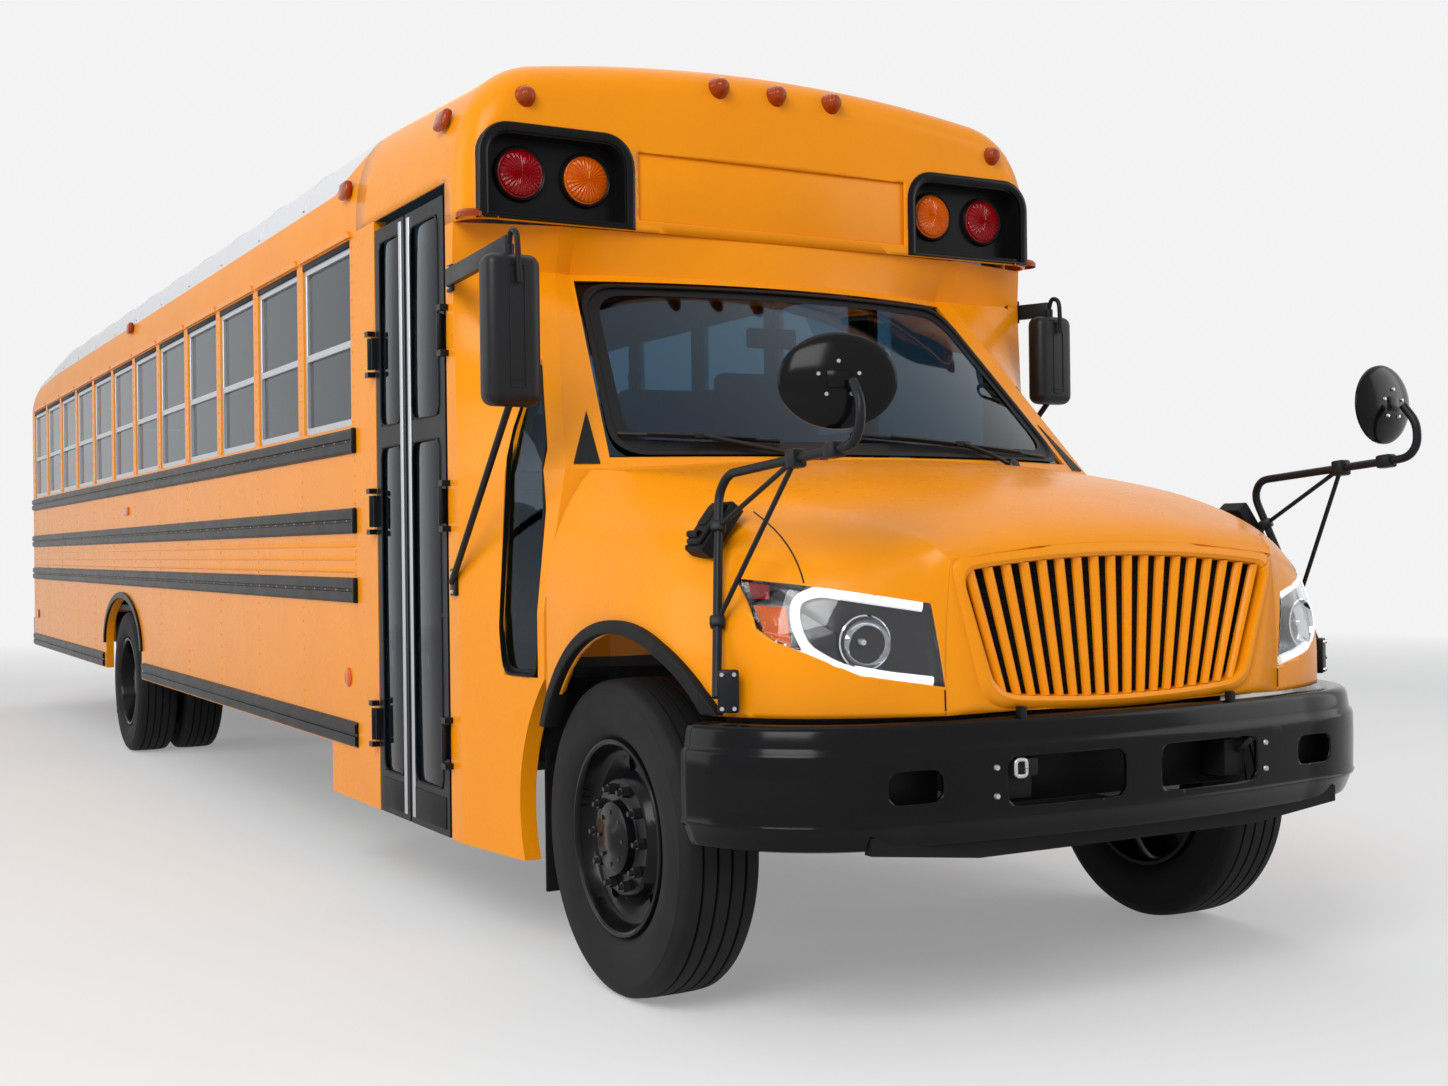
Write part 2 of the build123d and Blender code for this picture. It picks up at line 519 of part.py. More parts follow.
# Warning lamp housings: trays sunk in the cap in front, and flat plates above the rear windows
REAR_HOUSING_X = (560.0, 1060.0)
REAR_HOUSING_Z = (2560.0, 2790.0)
REAR_HOUSING_THICK = 30.0
with BuildPart() as lamp_housings:
    for side in (-1, 1):
        with BuildSketch(Plane.XZ.offset(-CAP_FRONT_Y)):
            lamp_recess(side, 0)
        extrude(amount=-HOUSING_DEPTH - HOUSING_WALL)
    add(cap_form.part, mode=Mode.INTERSECT)
    for side in (-1, 1):
        with BuildSketch(Plane.XZ.offset(-CAP_FRONT_Y)):
            lamp_recess(side, HOUSING_WALL)
        extrude(amount=-HOUSING_DEPTH, mode=Mode.SUBTRACT)
        block(sorted((side * REAR_HOUSING_X[0], side * REAR_HOUSING_X[1])),
              (BODY_REAR_Y, BODY_REAR_Y + REAR_HOUSING_THICK), REAR_HOUSING_Z)
save(lamp_housings, "lamp_housings")

# Lamps: round lamps that face forwards or backwards, with their centre, radius, base and depth
LAMP_COLUMNS = ("x", "z", "radius", "base_y", "depth")
LAMPS = [dict(zip(LAMP_COLUMNS, row)) for row in (
    (746, 2585, 84, CAP_FRONT_Y + HOUSING_DEPTH, -32),
    (993, 2585, 84, CAP_FRONT_Y + HOUSING_DEPTH, -32),
    (690, 2675, 80, BODY_REAR_Y + REAR_HOUSING_THICK, 18),
    (930, 2675, 80, BODY_REAR_Y + REAR_HOUSING_THICK, 18),
    (1000, 1330, 90, BODY_REAR_Y, 18),
    (1000, 1110, 90, BODY_REAR_Y, 18),
    (760, 1110, 60, BODY_REAR_Y, 18),
)]
CLEARANCE_LAMPS = ((0, 16, 2955), (241, 16, 2955), (995, 43, 2835))
CLEARANCE_RADIUS = 31.0
CLEARANCE_DEPTH = 75.0
MARKER_RADIUS = 52.0
SIDE_LAMP_Y = (WINDOW_START_Y + 300, WINDOW_START_Y + 5150)
with BuildPart() as lamps:
    for side in (-1, 1):
        for x, setback, z in CLEARANCE_LAMPS:
            if x or side > 0:
                with BuildSketch(Plane.XZ.offset(-(CAP_FRONT_Y + setback + CLEARANCE_DEPTH / 3))):
                    with Locations((side * x, z)):
                        Circle(CLEARANCE_RADIUS)
                extrude(amount=CLEARANCE_DEPTH)
        with Locations((side * (HALF_WIDTH - 40), CAP_FRONT_Y + 42, LIP_Z + 22)):
            Cylinder(MARKER_RADIUS, 26)
    add(cap_form.part, mode=Mode.SUBTRACT)
    for side in (-1, 1):
        for lamp_y in SIDE_LAMP_Y:
            with Locations(Location((side * (HAUNCH_X + 10), lamp_y, HAUNCH_Z - 25), (0, side * -35, 0))):
                Box(52, 64, 92)
    with BuildSketch(Plane.XZ.offset(-CAP_REAR_Y)):
        roof_outline(0, EAVE_Z)
    extrude(amount=CAP_REAR_Y - BODY_REAR_Y, mode=Mode.SUBTRACT)
    for lamp in LAMPS:
        for side in (-1, 1):
            with BuildSketch(Plane.XZ.offset(-lamp["base_y"])):
                with Locations((side * lamp["x"], lamp["z"])):
                    Circle(lamp["radius"])
            extrude(amount=-lamp["depth"])
save(lamps, "lamps")


# Front bumper: bowed in plan with wide corner arcs, its face in tapered layers, with slots for the tow eyes
BUMPER_HALF = 1200.0
BUMPER_FRONT_Y = FRONT_AXLE_Y - 992.0
BUMPER_CORNER_X = 710.0
BUMPER_CORNER_Y = FRONT_AXLE_Y - 935.0
BUMPER_END_Y = FRONT_AXLE_Y - 545.0
BUMPER_BEND = BUMPER_HALF - BUMPER_CORNER_X
LAYER_COLUMNS = ("z", "inset")
BUMPER_LAYERS = [dict(zip(LAYER_COLUMNS, row)) for row in (
    (BUMPER_LOW_Z, 34), (588, 0), (775, 0), (790, 14), (832, 20), (BUMPER_HIGH_Z, 34))]
SLOT_COLUMNS = ("inner", "outer", "low", "high")
BUMPER_SLOTS = [dict(zip(SLOT_COLUMNS, row)) for row in ((62, 452, 615, 745), (640, 800, 640, 725))]
SLOT_ROUND = 28.0
BRACKET_Z = (630.0, 735.0)
HOOD_HINGE_X = (300.0, 360.0)
HOOD_HINGE_Y = FRONT_AXLE_Y - 935.0
HOOD_HINGE_Z = 862.0
HOOD_PIN = 8.0
HOOD_LUG_X = (368.0, 390.0)


def bumper_outline(inset):
    """Draws the bumper's filled plan outline in the open sketch, drawn in by an inset."""
    bend = BUMPER_BEND - inset
    centre_y = BUMPER_CORNER_Y + BUMPER_BEND
    end_turn = asin((centre_y - BUMPER_END_Y) / bend)
    start = (BUMPER_CORNER_X, centre_y - bend)
    middle_turn = (radians(90) + end_turn) / 2
    middle = (BUMPER_CORNER_X + bend * cos(middle_turn), centre_y - bend * sin(middle_turn))
    end = (BUMPER_CORNER_X + bend * cos(end_turn), BUMPER_END_Y)
    with BuildLine() as outline:
        ThreePointArc((-start[0], start[1]), (0, BUMPER_FRONT_Y + inset), start)
        ThreePointArc(start, middle, end)
        Line(end, (-end[0], end[1]))
        ThreePointArc((-end[0], end[1]), (-middle[0], middle[1]), (-start[0], start[1]))
    make_face(outline.edges())


with BuildPart() as front_bumper:
    for level in BUMPER_LAYERS:
        with BuildSketch(Plane.XY.offset(level["z"])):
            bumper_outline(level["inset"])
    loft(ruled=True)
    with BuildSketch(Plane.XY.offset(BUMPER_LOW_Z - 1)):
        bumper_outline(BUMPER_WALL)
    extrude(amount=BUMPER_HIGH_Z - BUMPER_LOW_Z + 2, mode=Mode.SUBTRACT)
    for side in (-1, 1):
        for slot in BUMPER_SLOTS:
            with BuildSketch(Plane.XZ.offset(-(BUMPER_FRONT_Y - 5))):
                with Locations((side * (slot["inner"] + slot["outer"]) / 2, (slot["low"] + slot["high"]) / 2)):
                    RectangleRounded(slot["outer"] - slot["inner"], slot["high"] - slot["low"], SLOT_ROUND)
            extrude(amount=-130, mode=Mode.SUBTRACT)
        bracket_x = sorted((side * (RAIL_X - RAIL_FLANGE), side * RAIL_X))
        block(bracket_x, (BUMPER_FRONT_Y + BUMPER_WALL + 8, RAIL_FRONT_Y), BRACKET_Z)
        lug_x = sorted((side * HOOD_LUG_X[0], side * HOOD_LUG_X[1]))
        block(lug_x, (HOOD_HINGE_Y - 12, HOOD_HINGE_Y + 12), (BRACKET_Z[1], HOOD_HINGE_Z + HOOD_PIN))
save(front_bumper, "front_bumper")

REAR_BUMPER_HIGH = 240.0
with BuildPart() as rear_bumper:
    block((-HALF_WIDTH, HALF_WIDTH), (BODY_REAR_Y, FRONT_AXLE_Y + REAR_REACH),
          (SKIRT_Z + 5, SKIRT_Z + 5 + REAR_BUMPER_HIGH))
save(rear_bumper, "rear_bumper")

# Engine as one plain block, with the radiator ahead of it
ENGINE = ((-300, 300), (FRONT_AXLE_Y - 620, FRONT_AXLE_Y + 100), (880, 1300))
RADIATOR = ((-320, 320), (FRONT_AXLE_Y - 720, FRONT_AXLE_Y - 640), (880, 1180))
with BuildPart() as engine:
    block(*ENGINE)
save(engine, "engine")

with BuildPart() as radiator:
    block(*RADIATOR)
save(radiator, "radiator")

# Front axle beam, rear axle with its differential, and the leaf springs between them and the rails
SPRING_HEIGHT = 60.0
SPRING_WIDTH = 75.0
BEAM_HALF = 50.0
BEAM_Z = (TYRE_RADIUS - 75, TYRE_RADIUS + 45)
PIVOT_X = KINGPIN_X - 40
PIVOT_Z = (BEAM_Z[0] + BEAM_Z[1]) / 2
PIVOT_RADIUS = 45.0
PIVOT_HEIGHT = 120.0
with BuildPart() as front_axle:
    block((35 - PIVOT_X, PIVOT_X - 35), (FRONT_AXLE_Y - BEAM_HALF, FRONT_AXLE_Y + BEAM_HALF), BEAM_Z)
    for side in (-1, 1):
        with Locations((side * PIVOT_X, FRONT_AXLE_Y, PIVOT_Z)):
            Cylinder(PIVOT_RADIUS, PIVOT_HEIGHT)
save(front_axle, "front_axle")

TWIN_INNER_FACE = TWIN_OUTER_X - TWIN_SPACING - TYRE_WIDTH / 2
REAR_TUBE_HALF = TWIN_INNER_FACE - 45
REAR_TUBE_RADIUS = 75.0
DIFFERENTIAL_RADIUS = 190.0
DIFFERENTIAL_LENGTH = 320.0
with BuildPart() as rear_axle:
    cross_cylinder((-REAR_TUBE_HALF, REAR_TUBE_HALF), REAR_AXLE_Y, TYRE_RADIUS, REAR_TUBE_RADIUS)
    with Locations(Location((0, REAR_AXLE_Y, TYRE_RADIUS), (90, 0, 0))):
        Cylinder(DIFFERENTIAL_RADIUS, DIFFERENTIAL_LENGTH)
save(rear_axle, "rear_axle")

SPRING_EYE = 40.0
SHORT_LEAF = 200.0
SPRING_COLUMNS = ("centre", "front", "rear", "seat_z")
SPRINGS = [dict(zip(SPRING_COLUMNS, row)) for row in (
    (FRONT_AXLE_Y, 600, 660, TYRE_RADIUS + 45),
    (REAR_AXLE_Y, 680, 680, TYRE_RADIUS + 75),
)]
with BuildPart() as leaf_springs:
    for side in (-1, 1):
        spring_x = sorted((side * (SPRING_X - SPRING_WIDTH / 2), side * (SPRING_X + SPRING_WIDTH / 2)))
        for spring in SPRINGS:
            front_y, rear_y = spring["centre"] - spring["front"], spring["centre"] + spring["rear"]
            block(spring_x, (front_y - SPRING_EYE, rear_y + SPRING_EYE),
                  (spring["seat_z"], spring["seat_z"] + SPRING_HEIGHT / 2))
            block(spring_x, (front_y + SHORT_LEAF, rear_y - SHORT_LEAF),
                  (spring["seat_z"] + SPRING_HEIGHT / 2, spring["seat_z"] + SPRING_HEIGHT))
            for hanger_y in (front_y, rear_y):
                block(spring_x, (hanger_y - SPRING_EYE, hanger_y + SPRING_EYE),
                      (spring["seat_z"], RAIL_TOP_Z - RAIL_HEIGHT))
save(leaf_springs, "leaf_springs")

SHAFT_RADIUS = 55.0
SHAFT_ENDS = ((0, FRONT_AXLE_Y + 460, 590), (0, REAR_AXLE_Y - 200, TYRE_RADIUS + 10))
with BuildPart() as drive_shaft:
    rod(*SHAFT_ENDS, SHAFT_RADIUS)
save(drive_shaft, "drive_shaft")

TANK = ((-HALF_WIDTH + 120, -RAIL_X - 20), (REAR_AXLE_Y - 3600, REAR_AXLE_Y - 2300), (SKIRT_Z + 10, 880))
TANK_ROUND = 60.0
with BuildPart() as fuel_tank:
    block(*TANK)
    fillet(fuel_tank.edges().filter_by(Axis.Y), radius=TANK_ROUND)
save(fuel_tank, "fuel_tank")

EXHAUST_X = 560.0
EXHAUST_Z = 600.0
EXHAUST_SIDES = 12
EXHAUST_RADIUS = 48.0
MUFFLER_RADIUS = 95.0
EXHAUST_PATH = ((EXHAUST_X, FRONT_AXLE_Y + 1500, EXHAUST_Z), (EXHAUST_X, REAR_AXLE_Y - 1500, EXHAUST_Z),
                (EXHAUST_X + 40, REAR_AXLE_Y - 1000, EXHAUST_Z))
MUFFLER_ENDS = ((EXHAUST_X, FRONT_AXLE_Y + 2200, EXHAUST_Z), (EXHAUST_X, FRONT_AXLE_Y + 3000, EXHAUST_Z))
with BuildPart() as exhaust:
    bent_tube(EXHAUST_PATH, EXHAUST_RADIUS, EXHAUST_SIDES)
    rod(*MUFFLER_ENDS, MUFFLER_RADIUS)
save(exhaust, "exhaust")

# Seats: twelve rows of benches each side of the aisle, and the driver's seat
SEAT_INNER_X = 205.0
SEAT_OUTER_X = HALF_WIDTH - WALL - 20
SEAT_TOP_Z = FLOOR_Z + 450
BACK_TOP_Z = FLOOR_Z + 1080
SEAT_DEPTH = 400.0
BACK_THICK = 90.0
SEAT_PAD = 150.0
LEG = 45.0
LEG_INSET = 160.0
SEAT_LEAD = 190.0
LEG_SPAN = (60.0, 300.0)
DRIVER_X = (270.0, 790.0)
DRIVER_Y = (FRONT_AXLE_Y + 1430, FRONT_AXLE_Y + 1910)
DRIVER_CUSHION_Z = (FLOOR_Z + 320, FLOOR_Z + 440)
DRIVER_BACK_TOP_Z = FLOOR_Z + 1080
DRIVER_BASE = ((400, 660), (FRONT_AXLE_Y + 1530, FRONT_AXLE_Y + 1790), (FLOOR_Z, FLOOR_Z + 320))
with BuildPart() as seats:
    for side in (-1, 1):
        seat_x = sorted((side * SEAT_INNER_X, side * SEAT_OUTER_X))
        for window_y in window_centres():
            front_y = window_y - SEAT_LEAD
            block(seat_x, (front_y, front_y + SEAT_DEPTH), (SEAT_TOP_Z - SEAT_PAD, SEAT_TOP_Z))
            block(seat_x, (front_y + SEAT_DEPTH - BACK_THICK, front_y + SEAT_DEPTH),
                  (SEAT_TOP_Z - SEAT_PAD, BACK_TOP_Z))
            leg_x = sorted((side * (SEAT_INNER_X + LEG_INSET), side * (SEAT_INNER_X + LEG_INSET + LEG)))
            block(leg_x, [front_y + reach for reach in LEG_SPAN], (FLOOR_Z, SEAT_TOP_Z - SEAT_PAD))
    block(DRIVER_X, DRIVER_Y, DRIVER_CUSHION_Z)
    block(DRIVER_X, (DRIVER_Y[1] - BACK_THICK, DRIVER_Y[1]), (DRIVER_CUSHION_Z[1], DRIVER_BACK_TOP_Z))
    block(*DRIVER_BASE)
save(seats, "seats")

# Dashboard with the steering column and wheel
STEERING_RADIUS = 228.0
STEERING_RIM = 26.0
STEERING_CENTRE = (520, FRONT_AXLE_Y + 1050, 1505)
STEERING_HUB = (50.0, 40.0)
STEERING_SPOKES = (420.0, 34.0, 18.0)
COLUMN_ENDS = ((520, FRONT_AXLE_Y + 740, 1330), (520, FRONT_AXLE_Y + 1040, 1500))
COLUMN_RADIUS = 30.0
DASH_PANEL = ((-900, 900), (FRONT_AXLE_Y + 480, FRONT_AXLE_Y + 760), (1180, 1490))
with BuildPart() as dashboard:
    block(*DASH_PANEL)
    rod(*COLUMN_ENDS, COLUMN_RADIUS)
    with Locations(Plane(origin=STEERING_CENTRE, z_dir=Vector(*COLUMN_ENDS[1]) - Vector(*COLUMN_ENDS[0]))):
        Cylinder(STEERING_RADIUS, STEERING_RIM)
        Cylinder(STEERING_RADIUS - STEERING_RIM, STEERING_RIM, mode=Mode.SUBTRACT)
        Cylinder(*STEERING_HUB)
        Box(*STEERING_SPOKES)
save(dashboard, "dashboard")

# Rear-view mirrors: place and size of each rounded housing, its box arm and its strut, the right one further forward
MIRROR_REACH = 1380.0
MIRROR_COLUMNS = ("side", "y", "low", "high", "wide", "root_y", "root_z", "foot_z")
MIRRORS = [dict(zip(MIRROR_COLUMNS, row)) for row in (
    (-1, 330, 1730, 2190, 180, 1010, 2220, 1190),
    (1, 900, 1860, 2215, 175, 1035, 2245, 1700),
)]
MIRROR_DEPTH = 95.0
MIRROR_ROUND = 32.0
ARM_THICK = 22.0
ARM_HIGH = 60.0
STRUT_RADIUS = 12.0
PAD_THICK = 14.0
with BuildPart() as rear_view_mirrors:
    for mirror in MIRRORS:
        side = mirror["side"]
        centre_y = FRONT_AXLE_Y + mirror["y"]
        centre_x = side * (MIRROR_REACH - mirror["wide"] / 2)
        with BuildSketch(Plane.XY.offset(mirror["low"])):
            with Locations((centre_x, centre_y)):
                RectangleRounded(mirror["wide"], MIRROR_DEPTH, MIRROR_ROUND)
        extrude(amount=mirror["high"] - mirror["low"])
        root_x = side * (HALF_WIDTH + PAD_THICK)
        root_y = FRONT_AXLE_Y + mirror["root_y"]
        arm_run = Vector(centre_x - root_x, centre_y - root_y, 0)
        with BuildSketch(Plane(origin=(root_x, root_y, mirror["root_z"]), x_dir=(0, 0, 1), z_dir=arm_run)):
            Rectangle(ARM_HIGH, ARM_THICK)
        extrude(amount=arm_run.length)
        block((centre_x - ARM_THICK, centre_x + ARM_THICK), (centre_y - ARM_THICK, centre_y + ARM_THICK),
              (mirror["high"] - 1, mirror["root_z"] + ARM_HIGH / 2))
        rod((root_x, root_y, mirror["foot_z"]), (centre_x, centre_y, mirror["low"] + 20), STRUT_RADIUS)
        for root_z in (mirror["root_z"], mirror["foot_z"]):
            block(sorted((side * HALF_WIDTH, side * (HALF_WIDTH + PAD_THICK + 2))), (root_y - 25, root_y + 25),
                  (root_z - 45, root_z + 45))
save(rear_view_mirrors, "rear_view_mirrors")

# Mud flaps behind all wheels
FLAP_THICK = 12.0
FLAP_COLUMNS = ("inner", "outer", "y", "low", "high")
FLAPS = [dict(zip(FLAP_COLUMNS, row)) for row in (
    (860, 1085, FRONT_AXLE_Y + 575, 200, 880), (740, 1160, REAR_AXLE_Y + 600, 200, 900))]
with BuildPart() as mud_flaps:
    for flap in FLAPS:
        for side in (-1, 1):
            block(sorted((side * flap["inner"], side * flap["outer"])), (flap["y"], flap["y"] + FLAP_THICK),
                  (flap["low"], flap["high"]))
save(mud_flaps, "mud_flaps")

# Wheels: the rim's flanges, the disc's place in it and its ring of hand holes
RIM_HALF = 112.0
RIM_DEPTH = 30.0
DISC_FACE = 48.0
DISC_BACK = 28.0
HUB_REACH = 122.0
BORE_RADIUS = 36.0
HAND_HOLES = 5
HAND_HOLE_RADIUS = 27.0
HAND_HOLE_PITCH = 215.0


def hand_holes(axle_y, span):
    """Cuts the ring of hand holes through the disc of the wheel in the open part."""
    for index in range(HAND_HOLES):
        turn = radians(360 * index / HAND_HOLES)
        cross_cylinder(span, axle_y + HAND_HOLE_PITCH * sin(turn), TYRE_RADIUS + HAND_HOLE_PITCH * cos(turn),
                       HAND_HOLE_RADIUS, Mode.SUBTRACT)


def tyre_profile(centre_x):
    """Draws half a tyre's section in the XZ plane, bead at the rim and crown at the tread."""
    half = TYRE_WIDTH / 2
    with BuildLine() as outline:
        Polyline((centre_x - half + 26, RIM_RADIUS + 1), (centre_x - half, RIM_RADIUS + 60),
                 (centre_x - half, TYRE_RADIUS - 40), (centre_x - half + 32, TYRE_RADIUS),
                 (centre_x + half - 32, TYRE_RADIUS), (centre_x + half, TYRE_RADIUS - 40),
                 (centre_x + half, RIM_RADIUS + 60), (centre_x + half - 26, RIM_RADIUS + 1), close=True)
    make_face(outline.edges())


def wheel_plane(axle_y):
    """Gives the section plane of a wheel: first axis along the axle, second axis up from its centre."""
    return Plane(origin=(0, axle_y, TYRE_RADIUS), x_dir=(1, 0, 0), z_dir=(0, -1, 0))


# Steering knuckles: two barrels on the kingpin, above and below the beam's eye, with a stub axle
BARREL_RADIUS = 42.0
BARREL_HEIGHT = 40.0
BARREL_LIFT = 85.0
YOKE_X = (KINGPIN_X + 10, KINGPIN_X + 48)
YOKE_Z = (TYRE_RADIUS - 120, TYRE_RADIUS + 90)
YOKE_ARM = 40.0
STUB_X = (KINGPIN_X + 48, KINGPIN_X + 130)
STUB_RADIUS = 34.0
for name, side in (("knuckle_right", -1), ("knuckle_left", 1)):
    with BuildPart() as knuckle:
        with Locations((side * PIVOT_X, FRONT_AXLE_Y, PIVOT_Z + BARREL_LIFT),
                       (side * PIVOT_X, FRONT_AXLE_Y, PIVOT_Z - BARREL_LIFT)):
            Cylinder(BARREL_RADIUS, BARREL_HEIGHT)
        block(sorted(side * x for x in YOKE_X), (FRONT_AXLE_Y - 45, FRONT_AXLE_Y + 45), YOKE_Z)
        for arm_z in ((YOKE_Z[1] - YOKE_ARM, YOKE_Z[1]), (YOKE_Z[0], YOKE_Z[0] + YOKE_ARM)):
            block(sorted((side * PIVOT_X, side * YOKE_X[1])), (FRONT_AXLE_Y - 35, FRONT_AXLE_Y + 35), arm_z)
        cross_cylinder(sorted(side * x for x in STUB_X), FRONT_AXLE_Y, TYRE_RADIUS, STUB_RADIUS)
    save(knuckle, name)

# Front wheels: the tyre, and the rim with a dished disc and hub
for name, side in (("right", -1), ("left", 1)):
    with BuildPart() as front_tyre:
        with BuildSketch(wheel_plane(FRONT_AXLE_Y)):
            tyre_profile(side * FRONT_WHEEL_X)
        revolve(axis=Axis((0, FRONT_AXLE_Y, TYRE_RADIUS), (1, 0, 0)))
    save(front_tyre, f"front_tyre_{name}")
    with BuildPart() as front_wheel:
        hub_in, hub_out = KINGPIN_X + 55, FRONT_WHEEL_X + HUB_REACH
        with BuildSketch(wheel_plane(FRONT_AXLE_Y)):
            with BuildLine():
                Polyline((side * (FRONT_WHEEL_X - RIM_HALF), RIM_RADIUS - RIM_LIP),
                         (side * (FRONT_WHEEL_X - RIM_HALF), RIM_RADIUS), (side * (FRONT_WHEEL_X + RIM_HALF), RIM_RADIUS),
                         (side * (FRONT_WHEEL_X + RIM_HALF), RIM_RADIUS - RIM_LIP),
                         (side * (FRONT_WHEEL_X + DISC_FACE), RIM_RADIUS - RIM_DEPTH),
                         (side * (FRONT_WHEEL_X + DISC_FACE), 170), (side * hub_out, 110), (side * hub_out, BORE_RADIUS),
                         (side * hub_in, BORE_RADIUS), (side * hub_in, 120), (side * (FRONT_WHEEL_X + DISC_BACK), 160),
                         (side * (FRONT_WHEEL_X + DISC_BACK), RIM_RADIUS - RIM_DEPTH - 4), close=True)
            make_face()
        revolve(axis=Axis((0, FRONT_AXLE_Y, TYRE_RADIUS), (1, 0, 0)))
        hand_holes(FRONT_AXLE_Y, sorted((side * (FRONT_WHEEL_X - 10), side * (FRONT_WHEEL_X + 90))))
    save(front_wheel, f"front_wheel_{name}")

# Rear twin wheels: two tyres on two rims with one deep-set hub
for name, side in (("right", -1), ("left", 1)):
    with BuildPart() as rear_tyres:
        for centre_x in (TWIN_OUTER_X, TWIN_OUTER_X - TWIN_SPACING):
            with BuildSketch(wheel_plane(REAR_AXLE_Y)):
                tyre_profile(side * centre_x)
            revolve(axis=Axis((0, REAR_AXLE_Y, TYRE_RADIUS), (1, 0, 0)))
    save(rear_tyres, f"rear_tyres_{name}")
    with BuildPart() as rear_wheels:
        low, high = TWIN_OUTER_X - TWIN_SPACING - RIM_HALF, TWIN_OUTER_X + RIM_HALF
        middle = TWIN_OUTER_X - TWIN_SPACING / 2
        with BuildSketch(wheel_plane(REAR_AXLE_Y)):
            with BuildLine():
                Polyline((side * low, RIM_RADIUS - RIM_LIP), (side * low, RIM_RADIUS), (side * high, RIM_RADIUS),
                         (side * high, RIM_RADIUS - RIM_LIP), (side * (middle + 24), RIM_RADIUS - RIM_DEPTH),
                         (side * (middle + 24), 150), (side * (TWIN_OUTER_X + 60), 112),
                         (side * (TWIN_OUTER_X + 60), 40), (side * (TWIN_INNER_FACE - 30), 40),
                         (side * (TWIN_INNER_FACE - 30), 150), (side * (middle - 24), 150),
                         (side * (middle - 24), RIM_RADIUS - RIM_DEPTH), close=True)
            make_face()
        revolve(axis=Axis((0, REAR_AXLE_Y, TYRE_RADIUS), (1, 0, 0)))
        hand_holes(REAR_AXLE_Y, sorted((side * (middle - 60), side * (middle + 60))))
    save(rear_wheels, f"rear_wheels_{name}")

# Tilting hood: cross sections from the cowl to the nose, and how far back the inner skin lags behind each
SECTION_COLUMNS = ("y", "half", "side_z", "shoulder_x", "shoulder_z", "crown_z", "lag")
HOOD_SECTIONS = [dict(zip(SECTION_COLUMNS, row)) for row in (
    (420, 1148, 1100, 1020, 1550, 1605, 5),
    (180, 1152, 1080, 930, 1528, 1585, 0),
    (-120, 1152, 1040, 840, 1488, 1545, 2),
    (-350, 1135, 1000, 775, 1450, 1504, 4),
    (-520, 1095, 970, 720, 1412, 1466, 7),
    (-650, 1035, 950, 672, 1375, 1427, 12),
    (-750, 945, 945, 640, 1342, 1392, 17),
    (-830, 815, 945, 618, 1312, 1357, 21),
    (-880, 685, 945, 600, 1282, 1325, 25),
    (-905, 600, 945, 580, 1258, 1300, 30),
)]


def hood_section(section, inset, base_z):
    """Draws one cross section of the hood in the open sketch, drawn in by an inset."""
    half = section["half"] - inset
    side_z = section["side_z"]
    shoulder = (section["shoulder_x"] - inset * 0.7, section["shoulder_z"] - inset * 0.8)
    across, rise = half - shoulder[0], shoulder[1] - side_z
    bend = (across ** 2 + rise ** 2) / (2 * across)
    turn = atan2(rise, bend - across) / 2
    middle = (half - bend + bend * cos(turn), side_z + bend * sin(turn))
    with BuildLine() as outline:
        Polyline((-half, side_z), (-half, base_z), (half, base_z), (half, side_z))
        ThreePointArc((half, side_z), middle, shoulder)
        ThreePointArc(shoulder, (0, section["crown_z"] - inset), (-shoulder[0], shoulder[1]))
        ThreePointArc((-shoulder[0], shoulder[1]), (-middle[0], middle[1]), (-half, side_z))
    make_face(outline.edges())


def hood_loft(sections, inset, base_z, lagging=0):
    """Adds the ruled form through the hood's sections to the open part, drawn in by an inset."""
    stages = []
    for row in sections:
        with BuildSketch(Plane.XZ.offset(-(FRONT_AXLE_Y + row["y"] + lagging * row["lag"]))) as section:
            hood_section(row, inset, base_z)
        stages.append(section.sketch.face())
    loft(stages, ruled=True)


with BuildPart() as hood_form:
    hood_loft(HOOD_SECTIONS, 0, HOOD_BOTTOM_Z)

with BuildPart() as hood_inside:
    hood_loft(HOOD_SECTIONS, SHEET, HOOD_BOTTOM_Z - 1, 1)

GRILLE_HIGH_Z = 1226.0
GRILLE_LOW_Z = 905.0
GRILLE_TOP_HALF = 552.0
GRILLE_LOW_HALF = 440.0
GRILLE_ARCH = (36.0, 23.0)
GRILLE_REACH = 90.0
with BuildPart() as grille_opening:
    with BuildSketch(Plane.XZ.offset(-(NOSE_Y - 10))):
        with BuildLine():
            ThreePointArc((-GRILLE_TOP_HALF, GRILLE_HIGH_Z), (0, GRILLE_HIGH_Z + GRILLE_ARCH[0]),
                          (GRILLE_TOP_HALF, GRILLE_HIGH_Z))
            Line((GRILLE_TOP_HALF, GRILLE_HIGH_Z), (GRILLE_LOW_HALF, GRILLE_LOW_Z))
            ThreePointArc((GRILLE_LOW_HALF, GRILLE_LOW_Z), (0, GRILLE_LOW_Z - GRILLE_ARCH[1]),
                          (-GRILLE_LOW_HALF, GRILLE_LOW_Z))
            Line((-GRILLE_LOW_HALF, GRILLE_LOW_Z), (-GRILLE_TOP_HALF, GRILLE_HIGH_Z))
        make_face()
    extrude(amount=-GRILLE_REACH)

HEADLAMP_CORNERS = ((1015, 1215), (839, 1184), (635, 1146), (603, 929), (816, 964), (901, 1006), (986, 1050),
                    (1015, 1085))
HEADLAMP_REACH = 400.0
with BuildPart() as headlamp_openings:
    for side in (-1, 1):
        with BuildSketch(Plane.XZ.offset(-(NOSE_Y - 10))):
            with BuildLine():
                Polyline(*[(side * x, z) for x, z in HEADLAMP_CORNERS], close=True)
            make_face()
        extrude(amount=-HEADLAMP_REACH)

